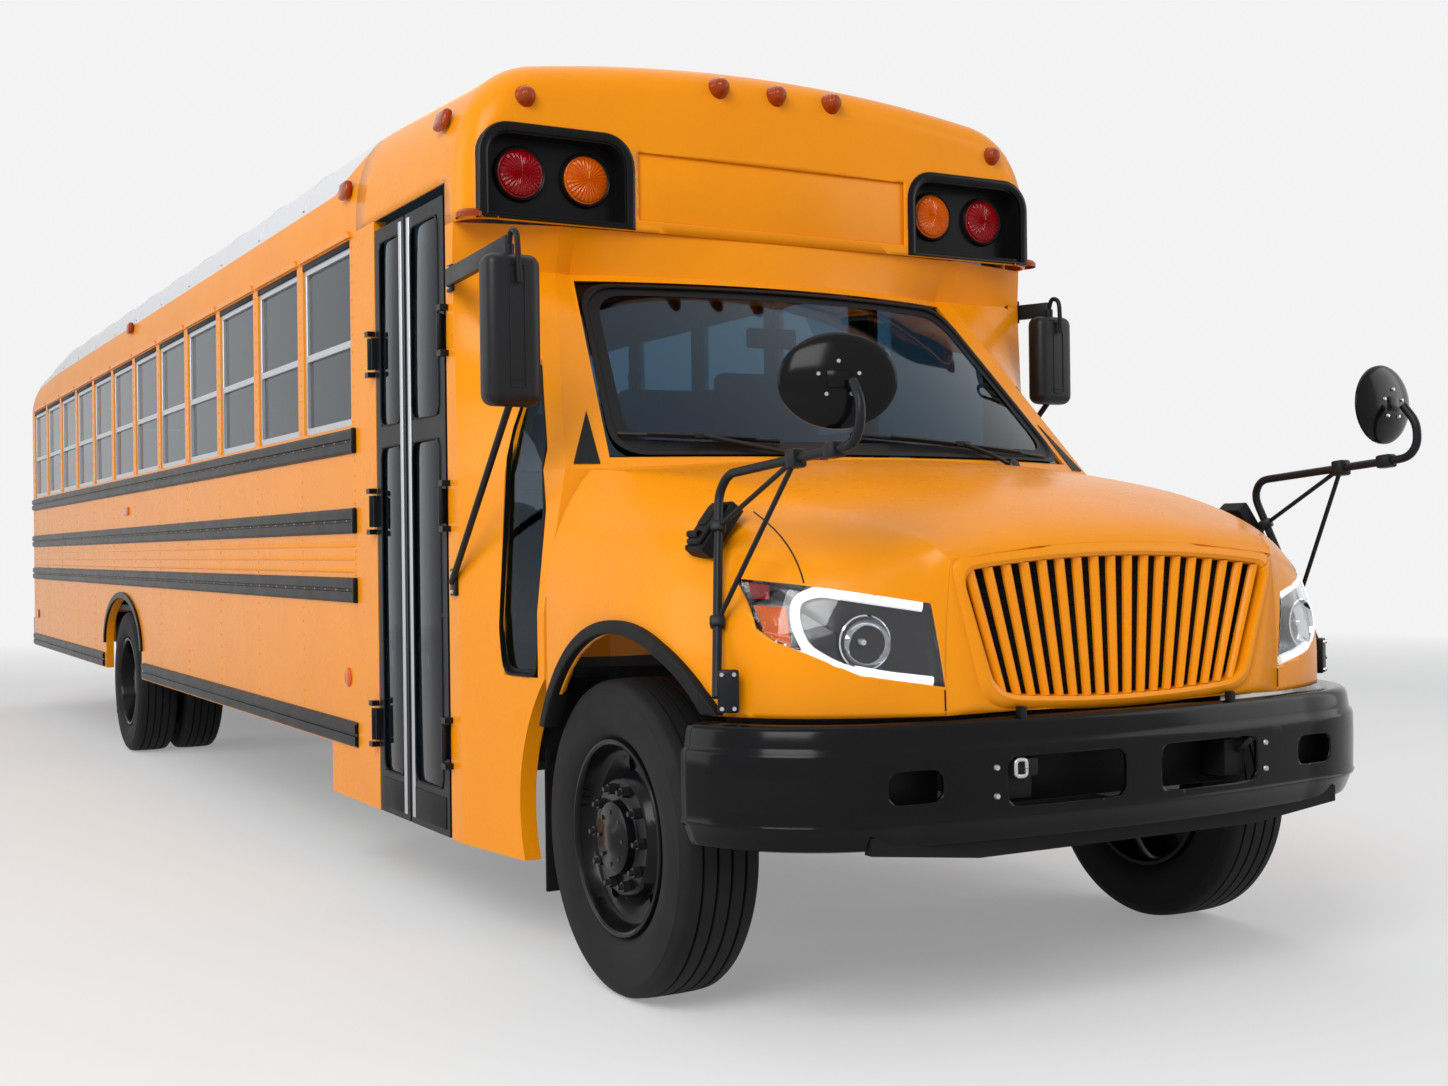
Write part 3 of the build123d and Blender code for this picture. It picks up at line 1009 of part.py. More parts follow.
# The hood's arch is centred ahead of the axle and ends in the rubber flare
HOOD_ARCH_Y = FRONT_AXLE_Y - 110.0
HOOD_ARCH_Z = 519.0
HOOD_ARCH_RADIUS = 538.0
STRAP_THICK = 18.0
with BuildPart() as hood:
    add(hood_form.part)
    add(hood_inside.part, mode=Mode.SUBTRACT)
    cross_cylinder((-HALF_WIDTH, HALF_WIDTH), HOOD_ARCH_Y, HOOD_ARCH_Z, HOOD_ARCH_RADIUS, Mode.SUBTRACT)
    with BuildSketch(Plane.XY.offset(HOOD_BOTTOM_Z)):
        with BuildLine():
            Polyline((-HALF_WIDTH, HOOD_REAR_Y + 60), (-HALF_WIDTH, HOOD_REAR_Y), (-1148, HOOD_REAR_Y),
                     (-950, HOOD_REAR_Y - 60))
            ThreePointArc((-950, HOOD_REAR_Y - 60), (0, HOOD_REAR_Y - 310), (950, HOOD_REAR_Y - 60))
            Polyline((950, HOOD_REAR_Y - 60), (1148, HOOD_REAR_Y), (HALF_WIDTH, HOOD_REAR_Y),
                     (HALF_WIDTH, HOOD_REAR_Y + 60), (-HALF_WIDTH, HOOD_REAR_Y + 60))
        make_face()
    extrude(amount=900, mode=Mode.SUBTRACT)
    add(grille_opening.part, mode=Mode.SUBTRACT)
    add(headlamp_openings.part, mode=Mode.SUBTRACT)
    for side in (-1, 1):
        hinge_x = sorted((side * HOOD_HINGE_X[0], side * HOOD_HINGE_X[1]))
        cross_cylinder(hinge_x, HOOD_HINGE_Y, HOOD_HINGE_Z, HOOD_PIN)
        block(hinge_x, (HOOD_HINGE_Y, NOSE_Y + SHEET / 2), (HOOD_HINGE_Z, HOOD_HINGE_Z + STRAP_THICK))
save(hood, "hood")

# Grille: slats that fill the opening in the nose from its upper to its lower edge
SLAT_COUNT = 18
SLAT_WIDTH = 34.0
SLAT_MARGIN = 4.0
with BuildPart() as grille:
    for index in range(SLAT_COUNT):
        share = (index + 0.5) / SLAT_COUNT * 2 - 1
        low_x, high_x = share * (GRILLE_LOW_HALF - SLAT_MARGIN), share * (GRILLE_TOP_HALF - SLAT_MARGIN)
        low_z, high_z = GRILLE_LOW_Z - GRILLE_ARCH[1] - 1, GRILLE_HIGH_Z + GRILLE_ARCH[0] + 1
        half = SLAT_WIDTH / 2
        with BuildSketch(Plane.XZ.offset(-(NOSE_Y - 10))):
            with BuildLine():
                Polyline((low_x - half * GRILLE_LOW_HALF / GRILLE_TOP_HALF, low_z),
                         (low_x + half * GRILLE_LOW_HALF / GRILLE_TOP_HALF, low_z),
                         (high_x + half, high_z), (high_x - half, high_z), close=True)
            make_face()
        extrude(amount=-GRILLE_REACH)
    add(grille_opening.part, mode=Mode.INTERSECT)
    add(hood_form.part, mode=Mode.INTERSECT)
    add(hood_inside.part, mode=Mode.SUBTRACT)
save(grille, "grille")

# Headlamps on the hood's front corners, flush with its skin
with BuildPart() as headlamps:
    add(headlamp_openings.part)
    add(hood_form.part, mode=Mode.INTERSECT)
    add(hood_inside.part, mode=Mode.SUBTRACT)
save(headlamps, "headlamps")

# Fender flares that follow the skin round the arch, down to the bumper in front and lower behind, and the latches
FLARE_PROUD = 28.0
FLARE_BURIED = 30.0
FLARE_FRONT_Z = HOOD_BOTTOM_Z + 3
FLARE_REAR_Z = 750.0
FLARE_SECTIONS = HOOD_SECTIONS[:6]
LATCH_CENTRE = (1000, -400, 1345)
LATCH_SIZE = (44, 100, 165)
LATCH_LEAN = 38
with BuildPart() as skin_buried:
    hood_loft(FLARE_SECTIONS, FLARE_BURIED, FLARE_REAR_Z - 1)

with BuildPart() as flares_and_latches:
    hood_loft(FLARE_SECTIONS, -FLARE_PROUD, FLARE_REAR_Z)
    with BuildPart(mode=Mode.INTERSECT):
        cross_cylinder((-HALF_WIDTH, HALF_WIDTH), HOOD_ARCH_Y, HOOD_ARCH_Z, HOOD_ARCH_RADIUS + FLARE)
    cross_cylinder((-HALF_WIDTH, HALF_WIDTH), HOOD_ARCH_Y, HOOD_ARCH_Z, HOOD_ARCH_RADIUS, Mode.SUBTRACT)
    add(skin_buried.part, mode=Mode.SUBTRACT)
    block((-HALF_WIDTH, HALF_WIDTH), (FRONT_AXLE_Y - ARCH_RADIUS * 2, HOOD_ARCH_Y), (0, FLARE_FRONT_Z), Mode.SUBTRACT)
    block((-HALF_WIDTH, HALF_WIDTH), (HOOD_REAR_Y - 6, HOOD_REAR_Y + 400), (0, CROWN_Z), Mode.SUBTRACT)
    for side in (-1, 1):
        spot = (side * LATCH_CENTRE[0], FRONT_AXLE_Y + LATCH_CENTRE[1], LATCH_CENTRE[2])
        with Locations(Location(spot, (0, side * -LATCH_LEAN, 0))):
            Box(*LATCH_SIZE)
    add(hood_form.part, mode=Mode.SUBTRACT)
save(flares_and_latches, "flares_and_latches")

# Cross-view mirrors: post, arm, gooseneck, dish and braces on each front corner of the hood
POST_FOOT = (1122, -622, 910)
POST_HIGH = (1009, -445, 1442)
ARM_START = (999, -480, 1494)
ARM_END = (988, -984, 1531)
NECK_RADIUS = 12.0
TUBE_SIDES = 8
NECK_FRONT_Y = NECK_RADIUS - FRONT_REACH
NECK = ((988, -1062, 1537), (988, NECK_FRONT_Y, 1575), (984, NECK_FRONT_Y, 1640), (978, -1060, 1692))
DISH_CENTRE = (976, -985, 1700)
DISH_HALF = (147.0, 118.0)
DISH_THICK = 60.0
DISH_YAW = {-1: radians(28), 1: radians(-10)}
BRACE_RADIUS = 7.0
BRACE_FEET = (0.36, 0.83)
BRACE_HEAD = 0.66
POST_PLATE = ((1035, 1136), (-650, -594), (875, 972))
with BuildPart() as cross_view_mirrors:
    for side in (-1, 1):
        spots = [Vector(side * x, FRONT_AXLE_Y + y, z)
                 for x, y, z in (POST_FOOT, POST_HIGH, ARM_START, ARM_END, *NECK, DISH_CENTRE)]
        bent_tube(spots, NECK_RADIUS, TUBE_SIDES)
        for share in BRACE_FEET:
            bent_tube((spots[0] + (spots[1] - spots[0]) * share, spots[2] + (spots[3] - spots[2]) * BRACE_HEAD),
                      BRACE_RADIUS, TUBE_SIDES)
        turn = DISH_YAW[side]
        with BuildSketch(Plane(origin=spots[-1], x_dir=(cos(turn), -sin(turn), 0), z_dir=(sin(turn), cos(turn), 0))):
            Ellipse(*DISH_HALF)
        extrude(amount=DISH_THICK / 2, both=True)
        block(sorted(side * x for x in POST_PLATE[0]), [FRONT_AXLE_Y + y for y in POST_PLATE[1]], POST_PLATE[2])
    add(hood_form.part, mode=Mode.SUBTRACT)
save(cross_view_mirrors, "cross_view_mirrors")

# Entrance door: two glazed leaves that swing outwards, hung on the front and rear posts
DOOR_X = (-HALF_WIDTH, -HALF_WIDTH + DOOR_THICK)
DOOR_MEET_Y = FRONT_AXLE_Y + 1500.0
LEAVES = (("front", DOOR_FRONT_Y + DOOR_GAP, DOOR_MEET_Y - MEET_GAP / 2, FRONT_LEAF_AXIS, (0, 1)),
          ("rear", DOOR_MEET_Y + MEET_GAP / 2, DOOR_REAR_Y - DOOR_GAP, REAR_LEAF_AXIS, (0, -1)))
for name, low_y, high_y, axis, along in LEAVES:
    panes = ((KICK_TOP_Z, DOOR_MID_LOW_Z), (DOOR_MID_HIGH_Z, DOOR_TOP_Z - DOOR_STILE))
    with BuildPart() as door_leaf:
        block(DOOR_X, (low_y, high_y), (DOOR_BOTTOM_Z, DOOR_TOP_Z))
        for low_z, high_z in panes:
            block(DOOR_X, (low_y + DOOR_STILE, high_y - DOOR_STILE), (low_z, high_z), Mode.SUBTRACT)
        for hinge_z in DOOR_HINGE_Z:
            hinge_barrel(axis, along, (-1, 0), hinge_z)
    save(door_leaf, f"door_leaf_{name}")
    with BuildPart() as door_glass:
        middle = (DOOR_X[0] + DOOR_X[1]) / 2
        for low_z, high_z in panes:
            block((middle - PANE / 2, middle + PANE / 2), (low_y + DOOR_STILE, high_y - DOOR_STILE), (low_z, high_z))
    save(door_glass, f"door_glass_{name}")

# Rear emergency door with its window, hung on its right edge
EXIT_GAP = 8.0
EXIT_WINDOW_Z = (1800.0, 2330.0)
with BuildPart() as emergency_door:
    block((-EXIT_HALF + EXIT_GAP, EXIT_HALF - EXIT_GAP), (BODY_REAR_Y - WALL + 8, BODY_REAR_Y),
          (EXIT_BOTTOM_Z + EXIT_GAP, EXIT_TOP_Z - EXIT_GAP))
    block((-EXIT_HALF + 80, EXIT_HALF - 80), (BODY_REAR_Y - WALL + 8, BODY_REAR_Y), EXIT_WINDOW_Z, Mode.SUBTRACT)
    for hinge_z in EXIT_HINGE_Z:
        hinge_barrel(EXIT_AXIS, (1, 0), (0, 1), hinge_z)
save(emergency_door, "emergency_door")

with BuildPart() as emergency_door_glass:
    block((-EXIT_HALF + 80, EXIT_HALF - 80), (BODY_REAR_Y - 28, BODY_REAR_Y - 28 + PANE), EXIT_WINDOW_Z)
save(emergency_door_glass, "emergency_door_glass")

# Stop arm: a blank octagon folded flat against the left side, hinged at its front edge
with BuildPart() as stop_arm:
    with BuildSketch(Plane.YZ.offset(STOP_X)):
        with Locations(STOP_CENTRE):
            RegularPolygon(STOP_RADIUS, 8, major_radius=False, rotation=22.5)
    extrude(amount=12)
    with Locations((STOP_PIN_X, STOP_HINGE_Y, STOP_CENTRE[1])):
        Cylinder(STOP_PIN, 2 * STOP_BARREL)
    block((STOP_X, STOP_X + 2 * STOP_PIN), (STOP_HINGE_Y, STOP_CENTRE[0] - STOP_RADIUS + 40),
          (STOP_CENTRE[1] - STOP_BARREL, STOP_CENTRE[1] + STOP_BARREL))
save(stop_arm, "stop_arm")
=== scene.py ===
"""School bus: the finishes, added pieces and studio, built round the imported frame."""

from __future__ import annotations

import json
import logging
import math
from dataclasses import dataclass
from enum import Enum
from typing import Callable, Sequence

import bmesh
import bpy
from mathutils import Matrix, Vector

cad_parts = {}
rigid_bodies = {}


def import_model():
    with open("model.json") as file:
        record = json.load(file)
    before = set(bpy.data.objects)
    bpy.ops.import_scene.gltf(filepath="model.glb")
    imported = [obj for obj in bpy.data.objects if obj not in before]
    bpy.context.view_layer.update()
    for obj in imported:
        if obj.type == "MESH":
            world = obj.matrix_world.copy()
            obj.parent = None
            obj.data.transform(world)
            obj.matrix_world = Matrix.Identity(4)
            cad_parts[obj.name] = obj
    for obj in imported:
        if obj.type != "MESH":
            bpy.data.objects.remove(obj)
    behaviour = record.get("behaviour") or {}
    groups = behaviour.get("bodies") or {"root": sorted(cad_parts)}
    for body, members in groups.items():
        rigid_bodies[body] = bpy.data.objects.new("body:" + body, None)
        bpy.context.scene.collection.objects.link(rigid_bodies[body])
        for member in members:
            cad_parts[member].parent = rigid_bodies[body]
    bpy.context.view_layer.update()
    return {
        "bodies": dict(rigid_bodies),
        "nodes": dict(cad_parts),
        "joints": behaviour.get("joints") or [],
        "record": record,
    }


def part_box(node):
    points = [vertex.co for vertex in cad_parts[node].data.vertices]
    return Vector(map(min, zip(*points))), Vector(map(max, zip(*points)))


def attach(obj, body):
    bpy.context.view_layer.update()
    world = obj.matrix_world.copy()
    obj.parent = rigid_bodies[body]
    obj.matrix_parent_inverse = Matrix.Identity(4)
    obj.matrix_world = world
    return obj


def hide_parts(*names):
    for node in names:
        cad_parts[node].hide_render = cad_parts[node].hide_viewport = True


LOG = logging.getLogger("school_bus")

Point = Sequence[float]
Colour = tuple[float, float, float]
Pair = tuple[float, float]
Pairs = tuple[Pair, ...]
Input = float | Sequence[float] | bpy.types.NodeSocket
SHARP_ANGLE = math.radians(35.0)

# The windows' number and their rhythm behind the front axle, which roof bows and seats keep to
WINDOWS = 12
WINDOW_START = 2.120
WINDOW_PITCH = 0.775


class Body(Enum):
    """The CAD bodies that pieces ride on."""

    CHASSIS = "chassis"
    HOOD = "hood"
    DOOR_FRONT = "door_front"
    DOOR_REAR = "door_rear"
    EXIT = "emergency_door"
    STOP = "stop_arm"
    WHEEL_FRONT_RIGHT = "front_wheel_right"
    WHEEL_FRONT_LEFT = "front_wheel_left"
    WHEELS_REAR_RIGHT = "rear_wheels_right"
    WHEELS_REAR_LEFT = "rear_wheels_left"


class Side(Enum):
    """The two sides of the bus, with the sign of X on each."""

    RIGHT = -1
    LEFT = 1


@dataclass(frozen=True)
class Layout:
    """The frame's driving sizes in metres, worked out from the CAD nodes' boxes."""

    half_width: float
    front_axle_y: float
    rear_axle_y: float
    body_rear_y: float
    wheel_z: float
    tyre_radius: float

    @staticmethod
    def from_frame() -> "Layout":
        """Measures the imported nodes.

        Returns:
            The layout that every class builds from.
        """
        tyre_low, tyre_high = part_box("front_tyre_right")
        rear_low, rear_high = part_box("rear_tyres_right")
        roof_low, roof_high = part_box("roof")
        return Layout(
            half_width=-roof_low.x,
            front_axle_y=(tyre_low.y + tyre_high.y) / 2,
            rear_axle_y=(rear_low.y + rear_high.y) / 2,
            body_rear_y=roof_high.y,
            wheel_z=(tyre_low.z + tyre_high.z) / 2,
            tyre_radius=(tyre_high.z - tyre_low.z) / 2,
        )

    def at(self, offset: float) -> float:
        """Gives the Y of a station measured back from the front axle."""
        return self.front_axle_y + offset


class NodeTree:
    """A small builder for the node tree of a material or a world."""

    def __init__(self, owner: bpy.types.Material | bpy.types.World) -> None:
        """Starts with an empty tree."""
        owner.use_nodes = True
        self.nodes, self.links = owner.node_tree.nodes, owner.node_tree.links
        self.nodes.clear()

    def fill(self, node: bpy.types.Node, inputs: dict[str | int, Input]) -> None:
        """Fills a node's inputs.

        Args:
            node: The node.
            inputs: What each input gets: another node's socket, a number, or a colour or vector.
        """
        for name, value in inputs.items():
            socket = node.inputs[name]
            if isinstance(value, bpy.types.NodeSocket):
                self.links.new(value, socket)
            else:
                socket.default_value = (*value, 1.0) if socket.type == "RGBA" else value

    def add(self, kind: str, inputs: dict[str | int, Input] | None = None,
            **settings: str | bool) -> bpy.types.Node:
        """Adds a node.

        Args:
            kind: The node's type, without its prefix.
            inputs: What its inputs get.
            settings: The node's own options.

        Returns:
            The node.
        """
        node = self.nodes.new(f"ShaderNode{kind}")
        for name, value in settings.items():
            setattr(node, name, value)
        self.fill(node, inputs or {})
        return node

    def math(self, operation: str, *values: Input) -> bpy.types.NodeSocket:
        """Adds an operation on values and sockets, and gives its result."""
        return self.add("Math", dict(enumerate(values)), operation=operation).outputs["Value"]

    def direct(self) -> bpy.types.NodeSocket:
        """Gives 1 to the rays that pictures, reflections and panes are seen by, and 0 to the others."""
        path = self.add("LightPath").outputs
        either = self.math("MAXIMUM", path["Is Camera Ray"], path["Is Transmission Ray"])
        return self.math("MAXIMUM", either, path["Is Glossy Ray"])


class Shader(NodeTree):
    """The builder of one material, on Object coordinates."""

    def __init__(self, name: str) -> None:
        """Starts a named material with only a Principled shader."""
        self.material = bpy.data.materials.new(name)
        super().__init__(self.material)
        self.shader = self.add("BsdfPrincipled")
        self.output = self.add("OutputMaterial", {"Surface": self.shader.outputs["BSDF"]})
        self.place = self.add("TexCoord").outputs["Object"]

    def noise(self, scale: float, detail: float = 4.0) -> bpy.types.NodeSocket:
        """Adds a noise field with its scale in cells per metre and its octaves, and gives its value."""
        return self.add("TexNoise", {"Vector": self.place, "Scale": scale, "Detail": detail}).outputs["Fac"]

    def ramp(self, value: bpy.types.NodeSocket, low: float, high: float,
             first: Colour, second: Colour) -> bpy.types.NodeSocket:
        """Maps a value to a colour between two stops and gives the colour."""
        node = self.add("ValToRGB", {"Fac": value})
        for stop, position, colour in zip(node.color_ramp.elements, (low, high), (first, second)):
            stop.position, stop.color = position, (*colour, 1)
        return node.outputs["Color"]

    def remap(self, value: bpy.types.NodeSocket, low: float, high: float) -> bpy.types.NodeSocket:
        """Maps a value from between 0 and 1 to a range and gives the result."""
        return self.add("MapRange", {"Value": value, "To Min": low, "To Max": high}).outputs["Result"]

    def bump(self, height: bpy.types.NodeSocket, strength: float, distance: float) -> None:
        """Adds a relief, on top of any that is there.

        Args:
            height: The relief's shape.
            strength: Its strength.
            distance: Its height in metres.
        """
        node = self.add("Bump", {"Height": height, "Strength": strength, "Distance": distance})
        normal = self.shader.inputs["Normal"]
        if normal.is_linked:
            self.links.new(normal.links[0].from_socket, node.inputs["Normal"])
        self.links.new(node.outputs["Normal"], normal)

    def repaint(self, amount: bpy.types.NodeSocket, colour: Colour) -> None:
        """Lays a second colour over the first by an amount."""
        base = self.shader.inputs["Base Color"]
        mix = self.add("Mix", {"Factor": amount, "A": base.links[0].from_socket, "B": colour},
                       data_type="RGBA")
        self.links.new(mix.outputs["Result"], base)


@dataclass(frozen=True)
class Finish:
    """A plain finish: one colour that varies a little, a roughness that varies, and a fine relief."""

    name: str
    colour: Colour
    slot: str
    roughness: Pair = (0.4, 0.55)
    metallic: float = 0.0
    coat: float = 0.0
    tint: float = 0.12
    grain_scale: float = 60.0
    grain_depth: float = 0.0004
    grain_strength: float = 0.2
    sheen: float = 0.0
    specular: float = 0.5
    glow: float = 0.0

    def material(self) -> bpy.types.Material:
        """Makes the finish's material once, and gives the same one after that."""
        found = bpy.data.materials.get(self.name)
        if found:
            return found
        shader = Shader(self.name)
        self.dress(shader)
        return shader.material

    def dress(self, shader: Shader) -> None:
        """Fills the material's node tree."""
        darker = tuple(channel * (1 - self.tint) for channel in self.colour)
        shader.fill(shader.shader, {
            "Base Color": shader.ramp(shader.noise(3.0, 5.0), 0.35, 0.65, darker, self.colour),
            "Roughness": shader.remap(shader.noise(11.0, 6.0), *self.roughness),
            "Metallic": self.metallic, "Coat Weight": self.coat, "Coat Roughness": 0.06,
            "Specular IOR Level": self.specular, "Sheen Weight": self.sheen,
            "Emission Color": self.colour, "Emission Strength": self.glow})
        shader.bump(shader.noise(self.grain_scale, 3.0), self.grain_strength, self.grain_depth)


@dataclass(frozen=True)
class TwoTonePaint(Finish):
    """Body paint that changes colour above a height, as a roof does along its upper panels."""

    upper: Colour = (0.64, 0.65, 0.67)
    split_z: float = 2.765
    start: float = 5.393
    slant: float = 2.97

    def dress(self, shader: Shader) -> None:
        """Fills the node tree, with the upper colour from a slanting line backwards."""
        super().dress(shader)
        place = shader.add("SeparateXYZ", {"Vector": shader.place}).outputs
        above = shader.math("GREATER_THAN", place["Z"], self.split_z)
        lean = shader.math("MULTIPLY_ADD", place["Z"], self.slant, place["Y"])
        shader.repaint(shader.math("MULTIPLY", above, shader.math("GREATER_THAN", lean, self.start)),
                       self.upper)


@dataclass(frozen=True)
class EdgePaint(Finish):
    """Body paint that turns black on what stands out beyond the body's width, such as hinge lugs."""

    half_width: float = 1.2195
    dark: Colour = (0.007, 0.007, 0.008)

    def dress(self, shader: Shader) -> None:
        """Fills the node tree, with the dark colour past the body's width."""
        super().dress(shader)
        place = shader.add("SeparateXYZ", {"Vector": shader.place}).outputs
        beyond = shader.math("GREATER_THAN", shader.math("ABSOLUTE", place["X"]), self.half_width)
        shader.repaint(beyond, self.dark)


@dataclass(frozen=True)
class LensFinish(Finish):
    """A moulded lamp lens with fine upright flutes."""

    flutes: float = 39.0

    def dress(self, shader: Shader) -> None:
        """Fills the node tree, with the flutes on top of the grain."""
        super().dress(shader)
        wave = shader.add("TexWave", {"Vector": shader.place, "Scale": self.flutes}, bands_direction="X")
        shader.bump(wave.outputs["Fac"], 0.5, 0.0012)
        shader.fill(shader.shader, {"Subsurface Weight": 0.15, "Subsurface Scale": 0.01})


@dataclass(frozen=True)
class GlassFinish(Finish):
    """Tinted safety glass with a faint film of dust, and the tint of the sky that it mirrors."""

    sky: Colour = (0.42, 0.66, 1.0)

    def dress(self, shader: Shader) -> None:
        """Fills the node tree."""
        shader.fill(shader.shader, {
            "Roughness": shader.remap(shader.noise(14.0, 6.0), *self.roughness), "Base Color": self.colour,
            "Transmission Weight": 1.0, "IOR": 1.3, "Specular IOR Level": self.specular,
            "Specular Tint": self.sky})
        shader.bump(shader.noise(2.0, 2.0), 0.05, 0.002)


YELLOW: Colour = (0.86, 0.285, 0.003)
PAINT = Finish("bus_yellow_paint", YELLOW, "bus_yellow", (0.24, 0.32), coat=0.05, tint=0.05, specular=0.14,
               grain_scale=120.0, grain_depth=0.0003, grain_strength=0.05)
HINGE_PAINT = EdgePaint("bus_yellow_with_black_hinges", YELLOW, "bus_yellow", (0.24, 0.32), coat=0.05,
                        tint=0.05, specular=0.14, grain_scale=120.0, grain_depth=0.0003, grain_strength=0.05)
ROOF_PAINT = TwoTonePaint("roof_two_tone_paint", YELLOW, "roof_white", (0.28, 0.38), tint=0.05, specular=0.14,
                          grain_scale=80.0, grain_depth=0.0003, grain_strength=0.06)
TRIM = Finish("rail_black_paint", (0.006, 0.006, 0.007), "trim_black", (0.25, 0.4), tint=0.3, specular=0.1)
DOOR_TRIM = Finish("door_frame_black", (0.009, 0.010, 0.012), "trim_black", (0.3, 0.42), tint=0.3,
                   specular=0.12)
BUMPER = Finish("bumper_black_paint", (0.004, 0.004, 0.005), "bumper_black", (0.12, 0.2), coat=0.03, tint=0.3,
                grain_strength=0.06, specular=0.12)
WHEEL = Finish("wheel_gloss_black", (0.004, 0.004, 0.005), "wheel_black", (0.16, 0.26), coat=0.03, tint=0.3,
               specular=0.14)
FRAME = Finish("chassis_black_paint", (0.008, 0.008, 0.009), "frame_black", (0.45, 0.7), tint=0.35,
               grain_depth=0.001, specular=0.15)
FLOORING = Finish("ribbed_rubber_floor", (0.03, 0.03, 0.032), "floor_rubber", (0.6, 0.8), tint=0.3)
RUBBER = Finish("black_flap_rubber", (0.007, 0.007, 0.008), "flap_rubber", (0.5, 0.68), tint=0.3,
                grain_scale=200.0, specular=0.15)
GASKET = Finish("window_rubber", (0.006, 0.006, 0.007), "flap_rubber", (0.45, 0.6), tint=0.3,
                grain_scale=300.0, specular=0.15)
TYRE = Finish("tyre_rubber", (0.010, 0.010, 0.011), "tyre", (0.62, 0.8), tint=0.35, grain_scale=240.0,
              grain_depth=0.0008, grain_strength=0.35, specular=0.2)
SASH = Finish("sash_aluminium", (0.36, 0.38, 0.41), "sash_aluminium", (0.3, 0.42), metallic=0.9,
              grain_scale=300.0)
STEEL = Finish("dull_steel", (0.20, 0.19, 0.18), "steel", (0.4, 0.6), metallic=0.9, tint=0.3)
IRON = Finish("cast_iron", (0.03, 0.03, 0.032), "iron", (0.55, 0.75), metallic=0.4, tint=0.3,
              grain_depth=0.002)
NUT = Finish("dark_bolt_steel", (0.035, 0.035, 0.038), "steel", (0.3, 0.45), metallic=0.7, tint=0.3)
BOLT = Finish("bright_bolt_steel", (0.50, 0.50, 0.51), "steel", (0.2, 0.35), metallic=0.9, tint=0.2)
MOULDING = Finish("moulded_black_plastic", (0.007, 0.007, 0.009), "moulding_black", (0.34, 0.48), tint=0.3,
                  grain_scale=400.0, grain_strength=0.3, specular=0.25)
ARM = Finish("mirror_arm_coating", (0.010, 0.011, 0.014), "moulding_black", (0.3, 0.45), tint=0.2,
             specular=0.15)
DASH = Finish("dash_grey_plastic", (0.03, 0.032, 0.036), "dash_plastic", (0.5, 0.65), tint=0.2,
              grain_scale=500.0, grain_strength=0.1, specular=0.2)
VINYL = Finish("seat_vinyl", (0.018, 0.022, 0.034), "seat_vinyl", (0.38, 0.5), tint=0.2, grain_scale=350.0,
               grain_strength=0.15, sheen=0.1)
BEZEL = Finish("lamp_bezel_black", (0.012, 0.012, 0.014), "lamp_clear", (0.15, 0.25), coat=0.2, specular=0.3,
               grain_strength=0.05)
CHROME = Finish("lamp_reflector_chrome", (0.62, 0.63, 0.66), "lamp_clear", (0.05, 0.12), metallic=1.0,
                grain_strength=0.02)
MIRROR = Finish("mirror_glass_silvered", (0.60, 0.63, 0.66), "steel", (0.01, 0.03), metallic=1.0,
                grain_strength=0.0)
GUIDE = Finish("lamp_guide_white", (0.95, 0.97, 1.0), "lamp_clear", (0.15, 0.25), coat=0.3,
               grain_strength=0.05, tint=0.02, glow=0.55)
WHITE = Finish("sign_white_paint", (0.80, 0.80, 0.80), "roof_white", (0.3, 0.4))
AMBER = LensFinish("amber_ribbed_lens", (0.62, 0.10, 0.0), "lamp_amber", (0.08, 0.14), coat=0.05,
                   specular=0.2, glow=0.04)
DEEP_AMBER = LensFinish("deep_amber_lens", (0.33, 0.042, 0.001), "lamp_amber", (0.08, 0.14), coat=0.05,
                        specular=0.2, glow=0.01)
RED = LensFinish("red_ribbed_lens", (0.24, 0.001, 0.004), "lamp_amber", (0.08, 0.14), coat=0.05, specular=0.2,
                 glow=0.04)
STOP = Finish("stop_red_paint", (0.5, 0.012, 0.014), "stop_red", (0.25, 0.35), coat=0.2)
CLEAR = LensFinish("clear_ribbed_lens", (0.60, 0.62, 0.65), "lamp_clear", (0.08, 0.14), coat=0.3)
GLASS = GlassFinish("tinted_window_glass", (0.09, 0.155, 0.20), "glass", (0.0, 0.02), specular=0.22)
COVER = GlassFinish("clear_lamp_cover", (0.95, 0.96, 0.97), "lamp_clear", (0.0, 0.02), specular=0.3,
                    sky=(1.0, 1.0, 1.0))

FINISH_NODES: tuple[tuple[Finish, str], ...] = (
    (PAINT, "front_cap rear_wall hood grille emergency_door"),
    (HINGE_PAINT, "side_wall_right side_wall_left cowl windshield_frame"),
    (ROOF_PAINT, "roof"), (TRIM, "rub_rails lamp_housings"), (DOOR_TRIM, "door_leaf_front door_leaf_rear"),
    (FRAME, "frame_rails cross_members radiator front_axle rear_axle fuel_tank"),
    (STEEL, "leaf_springs drive_shaft exhaust"), (IRON, "engine knuckle_right knuckle_left"),
    (GLASS, "windshield side_glass door_glass_front door_glass_rear emergency_door_glass"),
    (BUMPER, "front_bumper rear_bumper"), (RUBBER, "mud_flaps flares_and_latches"),
    (MOULDING, "rear_view_mirrors cross_view_mirrors"), (FLOORING, "floor"), (SASH, "window_sashes"),
    (TYRE, "front_tyre_right front_tyre_left rear_tyres_right rear_tyres_left"),
    (WHEEL, "front_wheel_right front_wheel_left rear_wheels_right rear_wheels_left"),
    (AMBER, "lamps"), (CLEAR, "headlamps"), (VINYL, "seats"), (DASH, "dashboard"), (STOP, "stop_arm"),
)
NODE_FINISHES = {node: finish for finish, nodes in FINISH_NODES for node in nodes.split()}

